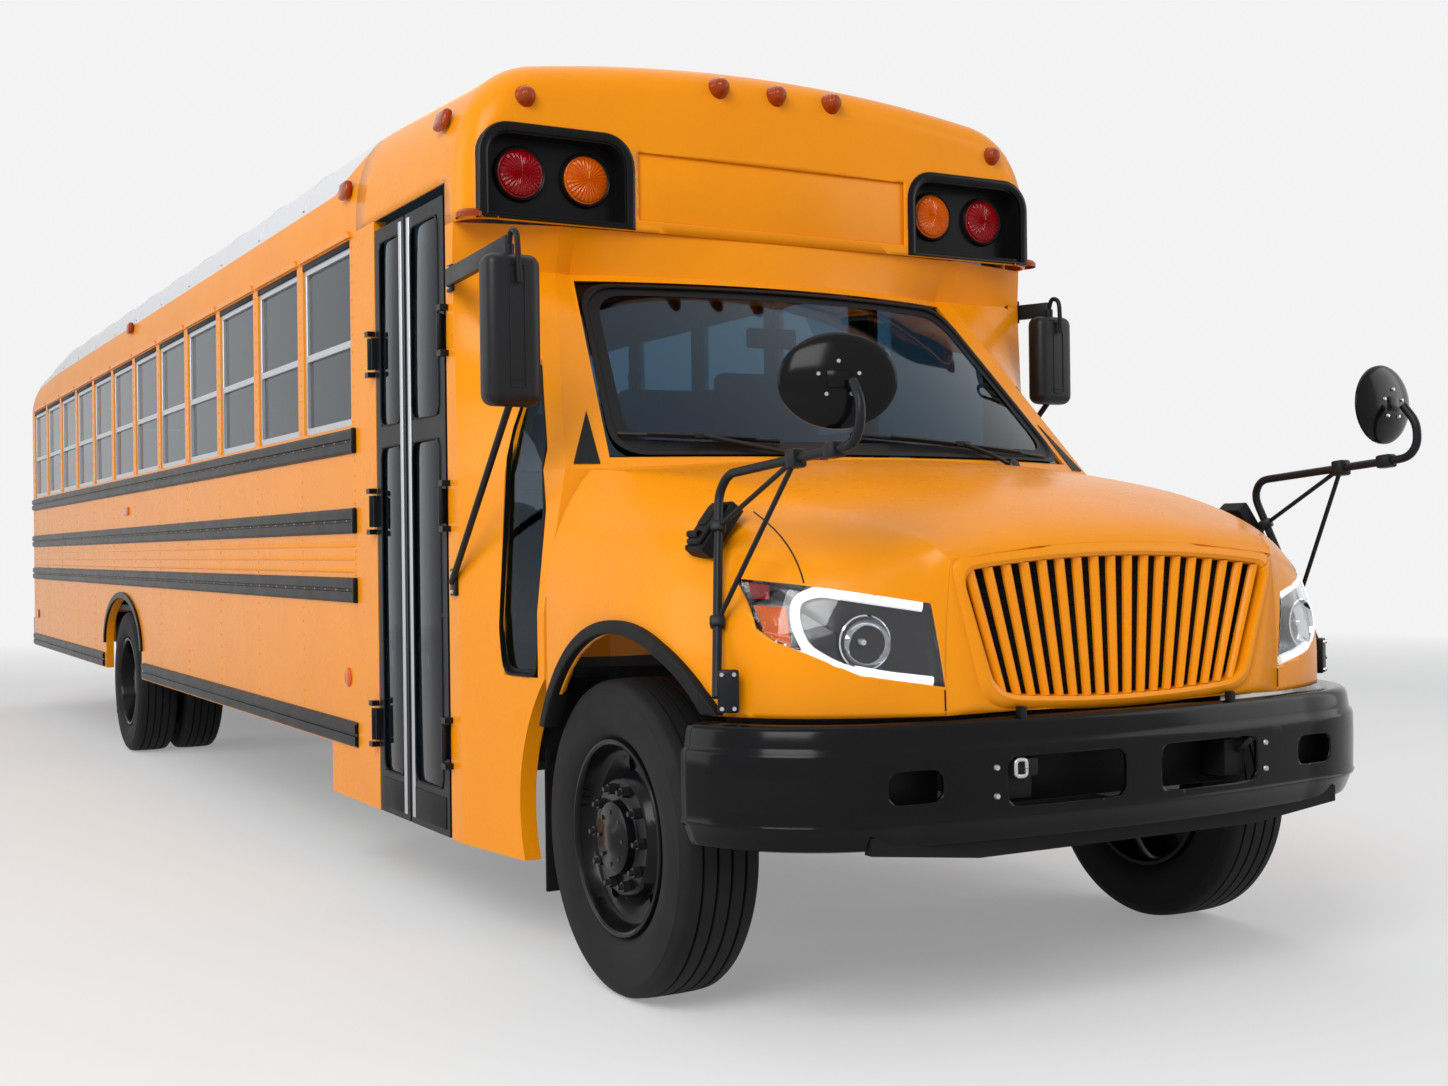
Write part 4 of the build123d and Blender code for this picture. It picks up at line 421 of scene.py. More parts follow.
EDGE_ROUNDS: dict[str, float] = {
    "rear_bumper": 0.012, "flares_and_latches": 0.005,
    "rub_rails": 0.004, "window_sashes": 0.003, "lamp_housings": 0.003, "dashboard": 0.008,
    "fuel_tank": 0.004, "door_leaf_front": 0.004, "door_leaf_rear": 0.004, "emergency_door": 0.004,
    "mud_flaps": 0.003, "stop_arm": 0.002, "engine": 0.015, "frame_rails": 0.004, "cross_members": 0.004,
}


def dress_nodes(nodes: dict[str, bpy.types.Object]) -> None:
    """Gives each CAD node its finish, and rounds the edges of the painted and moulded ones.

    Args:
        nodes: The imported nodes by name.
    """
    for name, obj in nodes.items():
        finish = NODE_FINISHES[name]
        obj.data.materials.clear()
        obj.data.materials.append(finish.material())
        if name in EDGE_ROUNDS:
            weld = obj.modifiers.new("weld", "WELD")
            weld.merge_threshold = 0.00005
            rounding = obj.modifiers.new("rounding", "BEVEL")
            rounding.width = EDGE_ROUNDS[name]
            rounding.segments = 2
            rounding.limit_method = "ANGLE"
            rounding.angle_limit = SHARP_ANGLE
            rounding.harden_normals = False
        LOG.info("dressed %s with %s", name, finish.name)


def finish_object(mesh: bmesh.types.BMesh, name: str, smooth: bool = False) -> bpy.types.Object:
    """Writes a bmesh to a new object at the origin.

    Args:
        mesh: The bmesh, which is freed.
        name: The object's name.
        smooth: Whether its faces are shaded smooth, but for their sharp edges.

    Returns:
        The object, linked to the scene.
    """
    data = bpy.data.meshes.new(name)
    for face in mesh.faces:
        face.smooth = smooth
    for edge in mesh.edges:
        edge.smooth = len(edge.link_faces) != 2 or edge.calc_face_angle(0.0) < SHARP_ANGLE
    mesh.to_mesh(data)
    mesh.free()
    obj = bpy.data.objects.new(name, data)
    bpy.context.scene.collection.objects.link(obj)
    return obj


def basis(place: Point, normal: Point, up: Point = (0.0, 0.0, 1.0)) -> Matrix:
    """Gives a matrix whose Z axis is a normal at a place, and whose Y axis leans to a second direction.

    Args:
        place: The matrix's origin.
        normal: The direction of its Z axis.
        up: The direction that its Y axis leans towards.

    Returns:
        The matrix.
    """
    z_axis = Vector(normal).normalized()
    x_axis = Vector(up).cross(z_axis)
    if x_axis.length < 1e-4:
        x_axis = Vector((1.0, 0.0, 0.0)).cross(z_axis)
    x_axis.normalize()
    y_axis = z_axis.cross(x_axis)
    turn = Matrix((x_axis, y_axis, z_axis)).transposed().to_4x4()
    return Matrix.Translation(Vector(place)) @ turn


def bend(points: Sequence[Point], radius: float, steps: int = 6) -> list[Vector]:
    """Rounds the corners of a polyline.

    Args:
        points: The polyline's points.
        radius: How far from a corner its curve starts.
        steps: The number of pieces in each curve.

    Returns:
        The points of the rounded line.
    """
    spots = [Vector(point) for point in points]
    line = [spots[0]]
    for before, corner, after in zip(spots, spots[1:], spots[2:]):
        first = corner + (before - corner).normalized() * min(radius, (before - corner).length * 0.45)
        last = corner + (after - corner).normalized() * min(radius, (after - corner).length * 0.45)
        for step in range(steps + 1):
            share = step / steps
            line.append(first.lerp(corner, share).lerp(corner.lerp(last, share), share))
    line.append(spots[-1])
    return line


def arc_height(middle: float, edge: float, half: float, across: float) -> float:
    """Gives the height of a circular arc at a distance from its middle.

    Args:
        middle: The arc's height at its middle.
        edge: Its height at both ends.
        half: Half its chord.
        across: The distance from the middle.

    Returns:
        The height there.
    """
    rise = edge - middle
    if abs(rise) < 1e-9:
        return middle
    radius = (half * half + rise * rise) / (2 * abs(rise))
    drop = radius - math.sqrt(max(radius * radius - across * across, 0.0))
    return middle + math.copysign(drop, rise)


def rounded_loop(turn: float, edge: Callable[[int, float], Vector], reach: Sequence[float]) -> Vector:
    """Gives a point of a four-sided loop with rounded corners.

    Args:
        turn: The share of the way round.
        edge: Gives a point of a side from its number and the share of the way along it.
        reach: The share of each side that a corner takes at each of its ends.

    Returns:
        The point.
    """
    split = 0.2
    leg = (turn % 1.0) * 4
    index = int(leg)
    share = leg - index
    if split <= share <= 1 - split:
        middle = (share - split) / (1 - 2 * split)
        return edge(index, reach[index] + (1 - 2 * reach[index]) * middle)
    if share < split:
        part, before, after = 0.5 + 0.5 * share / split, (index - 1) % 4, index
    else:
        part, before, after = 0.5 * (share - 1 + split) / split, index, (index + 1) % 4
    first, corner, last = edge(before, 1 - reach[before]), edge(after, 0.0), edge(after, reach[after])
    return first.lerp(corner, part).lerp(corner.lerp(last, part), part)


def straight(corners: Sequence[Vector]) -> Callable[[int, float], Vector]:
    """Gives the edge function of a four-sided loop with straight sides between its corners."""
    return lambda index, share: corners[index].lerp(corners[(index + 1) % 4], share)


def circle(radius: float, count: int, start: float = 0.0) -> list[Pair]:
    """Gives points round a circle, as their cosine and sine parts.

    Args:
        radius: The circle's radius.
        count: The number of points.
        start: The first point's share of a step.

    Returns:
        The two parts of each point.
    """
    turns = [math.tau * (step + start) / count for step in range(count)]
    return [(radius * math.cos(turn), radius * math.sin(turn)) for turn in turns]


def tray_loop(inner: float, outer: float, low: float, high: float, radius: float) -> list[Pair]:
    """Gives the outline of a box whose two upper corners are round.

    Args:
        inner: The near end.
        outer: The far end.
        low: The foot.
        high: The top.
        radius: The radius of the upper corners.

    Returns:
        The outline's points, from the near end of the foot.
    """
    quarter = circle(radius, 32)[:9]
    far = [(outer - radius + part, high - radius + rise) for part, rise in quarter]
    near = [(inner + radius - rise, high - radius + part) for part, rise in quarter]
    return [(inner, low), (outer, low), *far, *near]


class Form:
    """A mesh under construction, with the shapes that the pieces share."""

    def __init__(self, mesh: bmesh.types.BMesh | None = None) -> None:
        """Starts from a mesh, or else an empty one."""
        self.mesh = mesh or bmesh.new()

    def round_edges(self, verts: Sequence[bmesh.types.BMVert], radius: float, segments: int) -> None:
        """Rounds the edges that meet some vertices, where the radius isn't 0."""
        if radius:
            edges = list({edge for vert in verts for edge in vert.link_edges})
            bmesh.ops.bevel(self.mesh, geom=edges, offset=radius, offset_type="OFFSET", segments=segments,
                            profile=0.5, affect="EDGES", material=-1, clamp_overlap=True)

    def block(self, matrix: Matrix, size: Point, bevel: float, segments: int = 2) -> None:
        """Adds a box centred on a matrix's origin and turned with it, with rounded edges."""
        made = bmesh.ops.create_cube(self.mesh, size=1.0,
                                     matrix=matrix @ Matrix.Diagonal((*size, 1.0)))["verts"]
        self.round_edges(made, bevel, segments)

    def box(self, first: Point, second: Point, bevel: float = 0.0, segments: int = 2) -> None:
        """Adds an upright box between two opposite corners, with rounded edges."""
        low, high = Vector(map(min, first, second)), Vector(map(max, first, second))
        self.block(Matrix.Translation((low + high) / 2), high - low, bevel, segments)

    def button(self, place: Point, normal: Point, radius: float, height: float, sides: int = 8,
               top: float = 0.6) -> None:
        """Adds a low stud with a narrower top, such as a rivet or a bolt head.

        Args:
            place: The middle of its foot.
            normal: The way it points.
            radius: Its radius at the foot.
            height: Its height.
            sides: The number of its sides.
            top: The share of the radius that its top keeps.
        """
        matrix = basis(Vector(place) + Vector(normal).normalized() * height / 2, normal)
        bmesh.ops.create_cone(self.mesh, cap_ends=True, segments=sides, radius1=radius, radius2=radius * top,
                              depth=height, matrix=matrix)

    def surface(self, shape: Callable[[float, float], Point], columns: int, rows: int,
                closed: bool = False) -> None:
        """Adds a grid that a function bends into a surface.

        Args:
            shape: Gives the place of each point from its two shares, from 0 to 1.
            columns: The number of faces along the first share.
            rows: The number of faces along the second share.
            closed: Whether the ends of the second share meet.
        """
        made = bmesh.ops.create_grid(self.mesh, x_segments=columns, y_segments=rows, size=0.5)["verts"]
        for vert in made:
            vert.co = Vector(shape(vert.co.x + 0.5, vert.co.y + 0.5))
        if closed:
            bmesh.ops.remove_doubles(self.mesh, verts=made, dist=1e-6)

    def tube(self, points: Sequence[Point], radius: float, sides: int) -> None:
        """Adds a round tube along a line, closed at both ends.

        Args:
            points: The line's points.
            radius: The tube's radius.
            sides: The number of its sides.
        """
        spots = [Vector(point) for point in points]
        last = len(spots) - 1
        frames: list[tuple[Vector, Vector]] = []
        side = Vector((0.0, 0.0, 1.0))
        for index in range(last + 1):
            along = (spots[min(index + 1, last)] - spots[max(index - 1, 0)]).normalized()
            side = side - along * side.dot(along)
            if side.length < 1e-3:
                side = along.orthogonal()
            side.normalize()
            frames.append((side, along.cross(side)))

        def shape(share: float, turn: float) -> Vector:
            """Gives a point on the tube."""
            index, angle = round(share * last), math.tau * turn
            first, second = frames[index]
            return spots[index] + (first * math.cos(angle) + second * math.sin(angle)) * radius

        before = len(self.mesh.edges)
        self.surface(shape, last, sides, True)
        rims = [edge for edge in list(self.mesh.edges)[before:] if edge.is_boundary]
        bmesh.ops.holes_fill(self.mesh, edges=rims, sides=0)

    def spin(self, profile: Sequence[Pair], place: Point, axis: Point, steps: int) -> None:
        """Adds a turned form from its profile.

        Args:
            profile: The distance along the axis and the radius of each point.
            place: Where the distances along the axis start.
            axis: The axis.
            steps: The number of faces round the form.
        """
        matrix = basis(place, axis)
        verts = [self.mesh.verts.new(matrix @ Vector((radius, 0.0, along))) for along, radius in profile]
        edges = [self.mesh.edges.new(pair) for pair in zip(verts, verts[1:])]
        bmesh.ops.spin(self.mesh, geom=verts + edges, cent=place, axis=Vector(axis).normalized(),
                       angle=math.tau, steps=steps, use_merge=True)

    def prism(self, outline: Sequence[Point], depth: Point) -> None:
        """Adds a plate from the outline of one face and the way from that face to the other."""
        face = self.mesh.faces.new([self.mesh.verts.new(Vector(point)) for point in outline])
        made = bmesh.ops.extrude_face_region(self.mesh, geom=[face])["geom"]
        far = [item for item in made if isinstance(item, bmesh.types.BMVert)]
        bmesh.ops.translate(self.mesh, verts=far, vec=Vector(depth))

    def cut(self, outline: Sequence[Point], axis: Point,
            near: Callable[[Vector], bool]) -> list[bmesh.types.BMFace]:
        """Cuts a convex outline through the surface along an axis.

        Args:
            outline: The outline's corners, in order.
            axis: The way the cut goes.
            near: Tells from a face's centre whether the cut may touch it.

        Returns:
            The faces inside the outline.
        """
        spots = [Vector(point) for point in outline]
        middle = sum(spots, Vector()) / len(spots)
        planes = []
        for first, second in zip(spots, spots[1:] + spots[:1]):
            normal = (second - first).cross(Vector(axis)).normalized()
            planes.append((first, normal if (middle - first).dot(normal) > 0 else -normal))
        for spot, normal in planes:
            faces = [face for face in self.mesh.faces if near(face.calc_center_median())]
            edges = list({edge for face in faces for edge in face.edges})
            verts = list({vert for face in faces for vert in face.verts})
            bmesh.ops.bisect_plane(self.mesh, geom=verts + edges + faces, dist=1e-6, plane_co=spot,
                                   plane_no=normal)
        return [face for face in self.mesh.faces if near(face.calc_center_median())
                and all((face.calc_center_median() - spot).dot(normal) > 0 for spot, normal in planes)]

    def cut_out(self, outline: Sequence[Point], axis: Point, near: Callable[[Vector], bool]) -> None:
        """Cuts a convex outline through the surface and takes away what is inside it."""
        bmesh.ops.delete(self.mesh, geom=self.cut(outline, axis, near), context="FACES")

    def turn_out(self, out: Vector) -> None:
        """Turns an open surface's faces so that the one farthest in a direction points that way."""
        bmesh.ops.recalc_face_normals(self.mesh, faces=self.mesh.faces)
        outermost = max(self.mesh.faces, key=lambda face: face.calc_center_median().dot(out))
        if outermost.normal.dot(out) < 0:
            bmesh.ops.reverse_faces(self.mesh, faces=self.mesh.faces)


@dataclass(frozen=True)
class Workshop:
    """Finishes forms into pieces that ride on the frame's bodies."""

    layout: Layout

    def spot(self, x: float, back: float, z: float) -> Vector:
        """Gives a place from its X, its distance behind the front axle and its height."""
        return Vector((x, self.layout.at(back), z))

    def place(self, form: Form, name: str, finish: Finish, body: Body = Body.CHASSIS, smooth: bool = True,
              replaces: Sequence[str] = (), recalc: bool = True) -> bpy.types.Object:
        """Turns a form into a piece of the bus.

        Args:
            form: The form, which is used up.
            name: The piece's name.
            finish: Its finish.
            body: The body that it rides on.
            smooth: Whether it is shaded smooth.
            replaces: The CAD nodes that it stands for.
            recalc: Whether its faces are turned outwards first.

        Returns:
            The piece.
        """
        if recalc:
            bmesh.ops.recalc_face_normals(form.mesh, faces=form.mesh.faces)
        obj = finish_object(form.mesh, name, smooth)
        obj.data.materials.append(finish.material())
        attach(obj, body.value)
        if replaces:
            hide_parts(*replaces)
        LOG.info("piece %s: %d faces on %s", name, len(obj.data.polygons), body.value)
        return obj

    def place_sheet(self, form: Form, name: str, finish: Finish, thickness: float, out: Point,
                    body: Body = Body.CHASSIS, replaces: Sequence[str] = ()) -> None:
        """Turns a surface into a sheet that grows inwards from it.

        Args:
            form: The surface, which is used up.
            name: The piece's name.
            finish: Its finish.
            thickness: The sheet's thickness.
            out: The way that its outermost face points.
            body: The body that it rides on.
            replaces: The CAD nodes that it stands for.
        """
        form.turn_out(Vector(out))
        sheet = self.place(form, name, finish, body, replaces=replaces, recalc=False)
        shell = sheet.modifiers.new("sheet", "SOLIDIFY")
        shell.thickness = thickness
        shell.offset = -1.0


def spline(table: Sequence[Sequence[float]], column: int, station: float) -> float:
    """Reads a column of a table between its rows, along a smooth curve through them.

    Args:
        table: The rows.
        column: The column to read.
        station: The row's number, with a fraction.

    Returns:
        The value there.
    """
    last = len(table) - 1
    index = min(int(station), last - 1)
    share = station - index
    before, here = table[max(index - 1, 0)][column], table[index][column]
    after, beyond = table[index + 1][column], table[min(index + 2, last)][column]
    start, end = (after - before) / 2, (beyond - here) / 2
    square, cube = share * share, share * share * share
    return ((2 * cube - 3 * square + 1) * here + (cube - 2 * square + share) * start
            + (3 * square - 2 * cube) * after + (cube - square) * end)


@dataclass(frozen=True)
class HoodSkin:
    """The tilting hood's skin: a smooth form through its cross sections, with its openings and nose."""

    layout: Layout
    sections: tuple[tuple[float, ...], ...] = (
        (0.420, 1.148, 1.100, 1.020, 1.550, 1.605), (0.180, 1.152, 1.080, 0.930, 1.528, 1.585),
        (-0.120, 1.152, 1.040, 0.840, 1.488, 1.545), (-0.350, 1.135, 1.000, 0.775, 1.450, 1.504),
        (-0.520, 1.095, 0.970, 0.720, 1.412, 1.466), (-0.650, 1.035, 0.950, 0.672, 1.375, 1.427),
        (-0.750, 0.945, 0.945, 0.640, 1.342, 1.392), (-0.830, 0.815, 0.945, 0.618, 1.312, 1.357),
        (-0.880, 0.685, 0.945, 0.600, 1.282, 1.325), (-0.905, 0.600, 0.945, 0.580, 1.258, 1.300),
    )
    bottom_z: float = 0.855
    sheet: float = 0.012
    lamp_corners: Pairs = (
        (1.015, 1.215), (0.839, 1.184), (0.635, 1.146), (0.603, 0.929), (0.816, 0.964), (0.901, 1.006),
        (0.986, 1.050), (1.015, 1.085))
    arch_y: float = -0.110
    arch_z: float = 0.519
    arch_radius: float = 0.540
    grille_top: tuple[float, float, float] = (0.552, 1.226, 1.262)
    grille_low: tuple[float, float, float] = (0.440, 0.905, 0.882)
    cowl_corner: Pairs = (
        (0.95, 0.36), (1.148, 0.42), (1.35, 0.481), (1.35, 0.7), (0.95, 0.7))
    frame_steps: Pairs = ((0.036, 0.0), (0.026, 0.012), (0.012, 0.016), (0.002, 0.010),
                                                    (-0.002, -0.012), (-0.002, -0.034))

    def row(self, station: float) -> tuple[float, ...]:
        """Gives the section's six values at a station, which is a row number with a fraction."""
        return tuple(spline(self.sections, column, station) for column in range(6))

    def side_x(self, station: float, height: float) -> float:
        """Gives how far the skin's side stands out at a station and a height.

        Args:
            station: The section's row number, with a fraction.
            height: The height.

        Returns:
            The distance from the middle of the bus.
        """
        _, half, side_z, shoulder_x, shoulder_z, _ = self.row(station)
        if height <= side_z:
            return half
        across, rise = half - shoulder_x, shoulder_z - side_z
        radius = (across ** 2 + rise ** 2) / (2 * across)
        return half - radius + math.sqrt(max(radius ** 2 - (height - side_z) ** 2, 0.0))

    def point(self, along: float, round_share: float) -> Vector:
        """Gives a point of the skin.

        Args:
            along: The share of the way from the cowl to the nose.
            round_share: The share of the way round, from the right lower edge over the top to the left one.

        Returns:
            The point, in the frame's axes.
        """
        y, half, side_z, shoulder_x, shoulder_z, crown_z = self.row(along * (len(self.sections) - 1))
        side = -1 if round_share < 0.5 else 1
        share = 1 - abs(2 * round_share - 1)
        straight, corner = 0.16, 0.62
        if share < straight:
            x, z = half, self.bottom_z + (side_z - self.bottom_z) * share / straight
        elif share < corner:
            across, rise = half - shoulder_x, shoulder_z - side_z
            radius = (across ** 2 + rise ** 2) / (2 * across)
            turn = math.atan2(rise, radius - across) * (share - straight) / (corner - straight)
            x, z = half - radius + radius * math.cos(turn), side_z + radius * math.sin(turn)
        else:
            x = shoulder_x * (1 - share) / (1 - corner)
            z = arc_height(crown_z, shoulder_z, shoulder_x, x)
        return Vector((side * x, self.layout.at(y), z))

    def on_corner(self, x: float, z: float, depth: float) -> Vector:
        """Gives the point of the front corner's skin that is seen from straight ahead at a place.

        Args:
            x: The distance to the side, with its sign.
            z: The height.
            depth: How far behind the skin the point lies.

        Returns:
            The point, in the frame's axes.
        """
        low, high = 2.0, float(len(self.sections) - 1)
        for _ in range(30):
            middle = (low + high) / 2
            if self.side_x(middle, z) > abs(x):
                low = middle
            else:
                high = middle
        return Vector((x, self.layout.at(self.row(low)[0] + depth), z))

    def mouth(self, turn: float, spread: float) -> Vector:
        """Gives a point of the grille opening's outline, spread outwards from it.

        Args:
            turn: The share of the way round the outline.
            spread: The distance outwards.

        Returns:
            The distance to the side and the height.
        """
        top_half, top_z, top_middle = (size + spread for size in self.grille_top)
        low_half = self.grille_low[0] + spread
        low_z, low_middle = (height - spread for height in self.grille_low[1:])

        def edge(index: int, share: float) -> Vector:
            """Gives a point of one side: top, right, foot or left."""
            if index == 0:
                x = (1 - 2 * share) * top_half
                return Vector((x, arc_height(top_middle, top_z, top_half, abs(x))))
            if index == 2:
                x = (2 * share - 1) * low_half
                return Vector((x, arc_height(low_middle, low_z, low_half, abs(x))))
            down = share if index == 1 else 1 - share
            half = top_half + (low_half - top_half) * down
            return Vector((-half if index == 1 else half, top_z + (low_z - top_z) * down))

        return rounded_loop(turn, edge, (0.05, 0.16, 0.09, 0.16))

    def nose_edge(self, turn: float) -> Vector:
        """Gives a point of the nose's outer edge that matches a point of the grille opening's outline."""
        _, half, side_z, shoulder_x, shoulder_z, crown_z = self.sections[-1]
        last = float(len(self.sections) - 1)
        leg = turn * 4
        if leg < 1:
            x = (1 - 2 * leg) * shoulder_x
            return Vector((x, arc_height(crown_z, shoulder_z, shoulder_x, abs(x))))
        if leg < 2 or leg >= 3:
            share = leg - 1 if leg < 2 else 4 - leg
            z = shoulder_z + share * (self.bottom_z - shoulder_z)
            return Vector((self.side_x(last, z) * (-1 if leg < 2 else 1), z))
        return Vector(((2 * (leg - 2) - 1) * half, self.bottom_z))

    def build(self, shop: Workshop) -> None:
        """Makes the skin, cuts its openings and makes the lamp covers from the pieces cut out.

        Args:
            shop: Places the pieces.
        """
        form, front = Form(), self.layout.at
        form.surface(self.point, 72, 84)
        arch = [(0.0, front(self.arch_y) + along, self.arch_z + rise)
                for along, rise in circle(self.arch_radius, 36)]
        form.cut_out(arch, (1, 0, 0), lambda spot: spot.z < 1.15 and abs(spot.x) > 0.9
                     and front(-0.75) < spot.y < front(0.5))
        middle_cut = [(x, front(arc_height(0.11, 0.36, 0.95, abs(x))), 0.0)
                      for x in (0.95 * (step / 8 - 1) for step in range(17))]
        side_cuts = [[(sign * x, front(y), 0.0) for x, y in self.cowl_corner] for sign in (-1, 1)]
        for cut in ([*middle_cut, (0.95, front(0.7), 0.0), (-0.95, front(0.7), 0.0)], *side_cuts):
            form.cut_out(cut, (0, 0, 1), lambda spot: spot.y > front(-0.05))
        covers = []
        for side in Side:
            corners = [(side.value * x, front(-0.9), z) for x, z in self.lamp_corners]
            inside = form.cut(corners, (0, 1, 0), lambda spot: spot.x * side.value > 0.5
                              and spot.y < front(-0.45) and 0.9 < spot.z < 1.26)
            form.mesh.faces.index_update()
            chosen = {face.index for face in inside}
            cover = Form(form.mesh.copy())
            others = [face for face in cover.mesh.faces if face.index not in chosen]
            bmesh.ops.delete(cover.mesh, geom=others, context="FACES")
            bmesh.ops.delete(form.mesh, geom=inside, context="FACES")
            covers.append((side, cover))

        def nose(turn: float, out: float) -> Vector:
            """Gives a point of the nose, from its edge over the grille's raised frame into the opening."""
            index = round(out * len(self.frame_steps))
            spread, proud = self.frame_steps[index - 1] if index else (0.0, 0.0)
            spot = self.mouth(turn, spread) if index else self.nose_edge(turn)
            return Vector((spot.x, front(-0.905 - proud), spot.y))

        ring = Form()
        ring.surface(nose, 96, len(self.frame_steps))
        shop.place_sheet(form, "hood_skin", PAINT, self.sheet, (0, 0, 1), Body.HOOD, ("hood",))
        shop.place_sheet(ring, "nose_frame", PAINT, self.sheet * 0.6, (0, -1, 0), Body.HOOD)
        for side, cover in covers:
            shop.place_sheet(cover, f"headlamp_cover_{side.name.lower()}", COVER, 0.004, (0, -1, 0),
                             Body.HOOD, ("headlamps",) if side is Side.RIGHT else ())


@dataclass(frozen=True)
class Grille:
    """The upright curved slats in the nose and the screen behind them; their raised frame is made with the
    hood's skin.
    """

    hood: HoodSkin
    count: int = 18
    slat: float = 0.031
    nose_y: float = -0.905
    bulge: float = 0.012
    return_depth: float = 0.012
    screen_depth: float = 0.045

    def build(self, shop: Workshop) -> None:
        """Makes the slats and the screen behind them.

        Args:
            shop: Places the pieces.
        """
        top_half, top_z, top_middle = self.hood.grille_top
        low_half, low_z, low_middle = self.hood.grille_low
        front = shop.layout.at(self.nose_y)
        form, screen = Form(), Form()
        for index in range(self.count):
            share = (index + 0.5) / self.count * 2 - 1

            def slat(up: float, across: float) -> Vector:
                """Gives a point of one slat from its height and its way across."""
                half = low_half + (top_half - low_half) * up - 0.004
                x = share * half
                low = arc_height(low_middle, low_z, low_half, abs(share * low_half))
                high = arc_height(top_middle, top_z, top_half, abs(share * top_half))
                width = self.slat * half / top_half
                step = round(across * 8)
                swell = math.sin(math.pi * max(min((step - 1) / 6, 1.0), 0.0))
                back = self.return_depth if step in (0, 8) else 0.004 - self.bulge * swell
                side = max(min((step - 4) / 3, 1.0), -1.0)
                return Vector((x + side * width / 2, front + back, low + (high - low) * up))

            form.surface(slat, 12, 8)
        shop.place(form, "grille_slats", PAINT, Body.HOOD, replaces=("grille",))
        back = front + self.screen_depth
        screen.box((-top_half - 0.01, back, low_middle - 0.01),
                   (top_half + 0.01, back + 0.006, top_middle + 0.01), 0.002)
        for step in range(12):
            height = low_z + (top_z - low_z) * (step + 0.5) / 12
            screen.tube([(-top_half, back - 0.006, height), (top_half, back - 0.006, height)], 0.004, 6)
        shop.place(screen, "grille_screen", FRAME, Body.HOOD)


@dataclass(frozen=True)
class Headlamps:
    """The lamp units behind the clear covers on both front corners of the hood."""

    hood: HoodSkin
    guide: Pairs = (
        (0.649, 1.137), (0.796, 1.163), (0.880, 1.180), (0.928, 1.159), (0.940, 1.095), (0.925, 1.032),
        (0.859, 0.985), (0.743, 0.960), (0.629, 0.944))
    turn_lamp: Pairs = ((1.001, 1.144), (0.947, 1.140), (0.952, 1.040), (0.996, 1.070))
    reflector: Pairs = ((0.994, 1.203), (0.962, 1.196), (0.972, 1.159), (1.001, 1.162))
    swell: float = 0.010
    bowl: Pair = (0.793, 1.048)
    bowl_profile: Pairs = (
        (0.010, 0.072), (0.012, 0.068), (0.008, 0.066), (-0.006, 0.058), (-0.018, 0.044), (-0.024, 0.026),
        (-0.026, 0.012), (-0.004, 0.011), (0.002, 0.007), (0.003, 0.0))
    rings: Pairs = ((1.0, 0.006), (0.97, 0.022), (0.90, 0.034), (0.5, 0.036), (0.02, 0.036))

    def outline_point(self, turn: float, scale: float) -> Pair:
        """Gives a place on the lamp's outline, drawn in towards its middle."""
        corners = [Vector(corner) for corner in self.hood.lamp_corners]
        middle = sum(corners, Vector((0.0, 0.0))) / len(corners)
        index, share = divmod((turn % 1.0) * len(corners), 1.0)
        edge = corners[int(index)].lerp(corners[(int(index) + 1) % len(corners)], share)
        return tuple(middle.lerp(edge, scale))

    def patch(self, form: Form, side: int, corners: Sequence[Pair], depth: float) -> None:
        """Adds a domed lens between four corners on the skin, at a depth behind it."""
        first, second, third, fourth = (Vector(corner) for corner in corners)

        def shape(across: float, up: float) -> Vector:
            """Gives a point of the lens."""
            x, z = first.lerp(second, across).lerp(fourth.lerp(third, across), up)
            swell = self.swell * math.sin(math.pi * across) * math.sin(math.pi * up)
            return self.hood.on_corner(side * x, z, depth - swell)

        form.surface(shape, 8, 12)

    def build(self, shop: Workshop) -> None:
        """Makes the buckets, reflectors, light guides and coloured lenses.

        Args:
            shop: Places the pieces.
        """
        finishes = {"bucket": BEZEL, "bowl": CHROME, "guide": GUIDE, "turn": AMBER, "reflector": RED}
        parts = {name: Form() for name in finishes}
        for sign in (side.value for side in Side):

            def bucket(turn: float, inward: float) -> Vector:
                """Gives a point of the dark housing behind the cover."""
                scale, depth = self.rings[round(inward * (len(self.rings) - 1))]
                x, z = self.outline_point(turn, scale)
                return self.hood.on_corner(sign * x, z, depth)

            parts["bucket"].surface(bucket, 64, len(self.rings) - 1)
            centre = self.hood.on_corner(sign * self.bowl[0], self.bowl[1], 0.022)
            parts["bowl"].spin(self.bowl_profile, centre, (sign * 0.22, -1.0, 0.0), 40)
            line = bend([self.hood.on_corner(sign * x, z, 0.014) for x, z in self.guide], 0.03, 4)
            parts["guide"].tube(line, 0.0135, 12)
            self.patch(parts["turn"], sign, self.turn_lamp, 0.022)
            self.patch(parts["reflector"], sign, self.reflector, 0.018)
        for name, form in parts.items():
            shop.place(form, f"headlamp_{name}s", finishes[name], Body.HOOD)


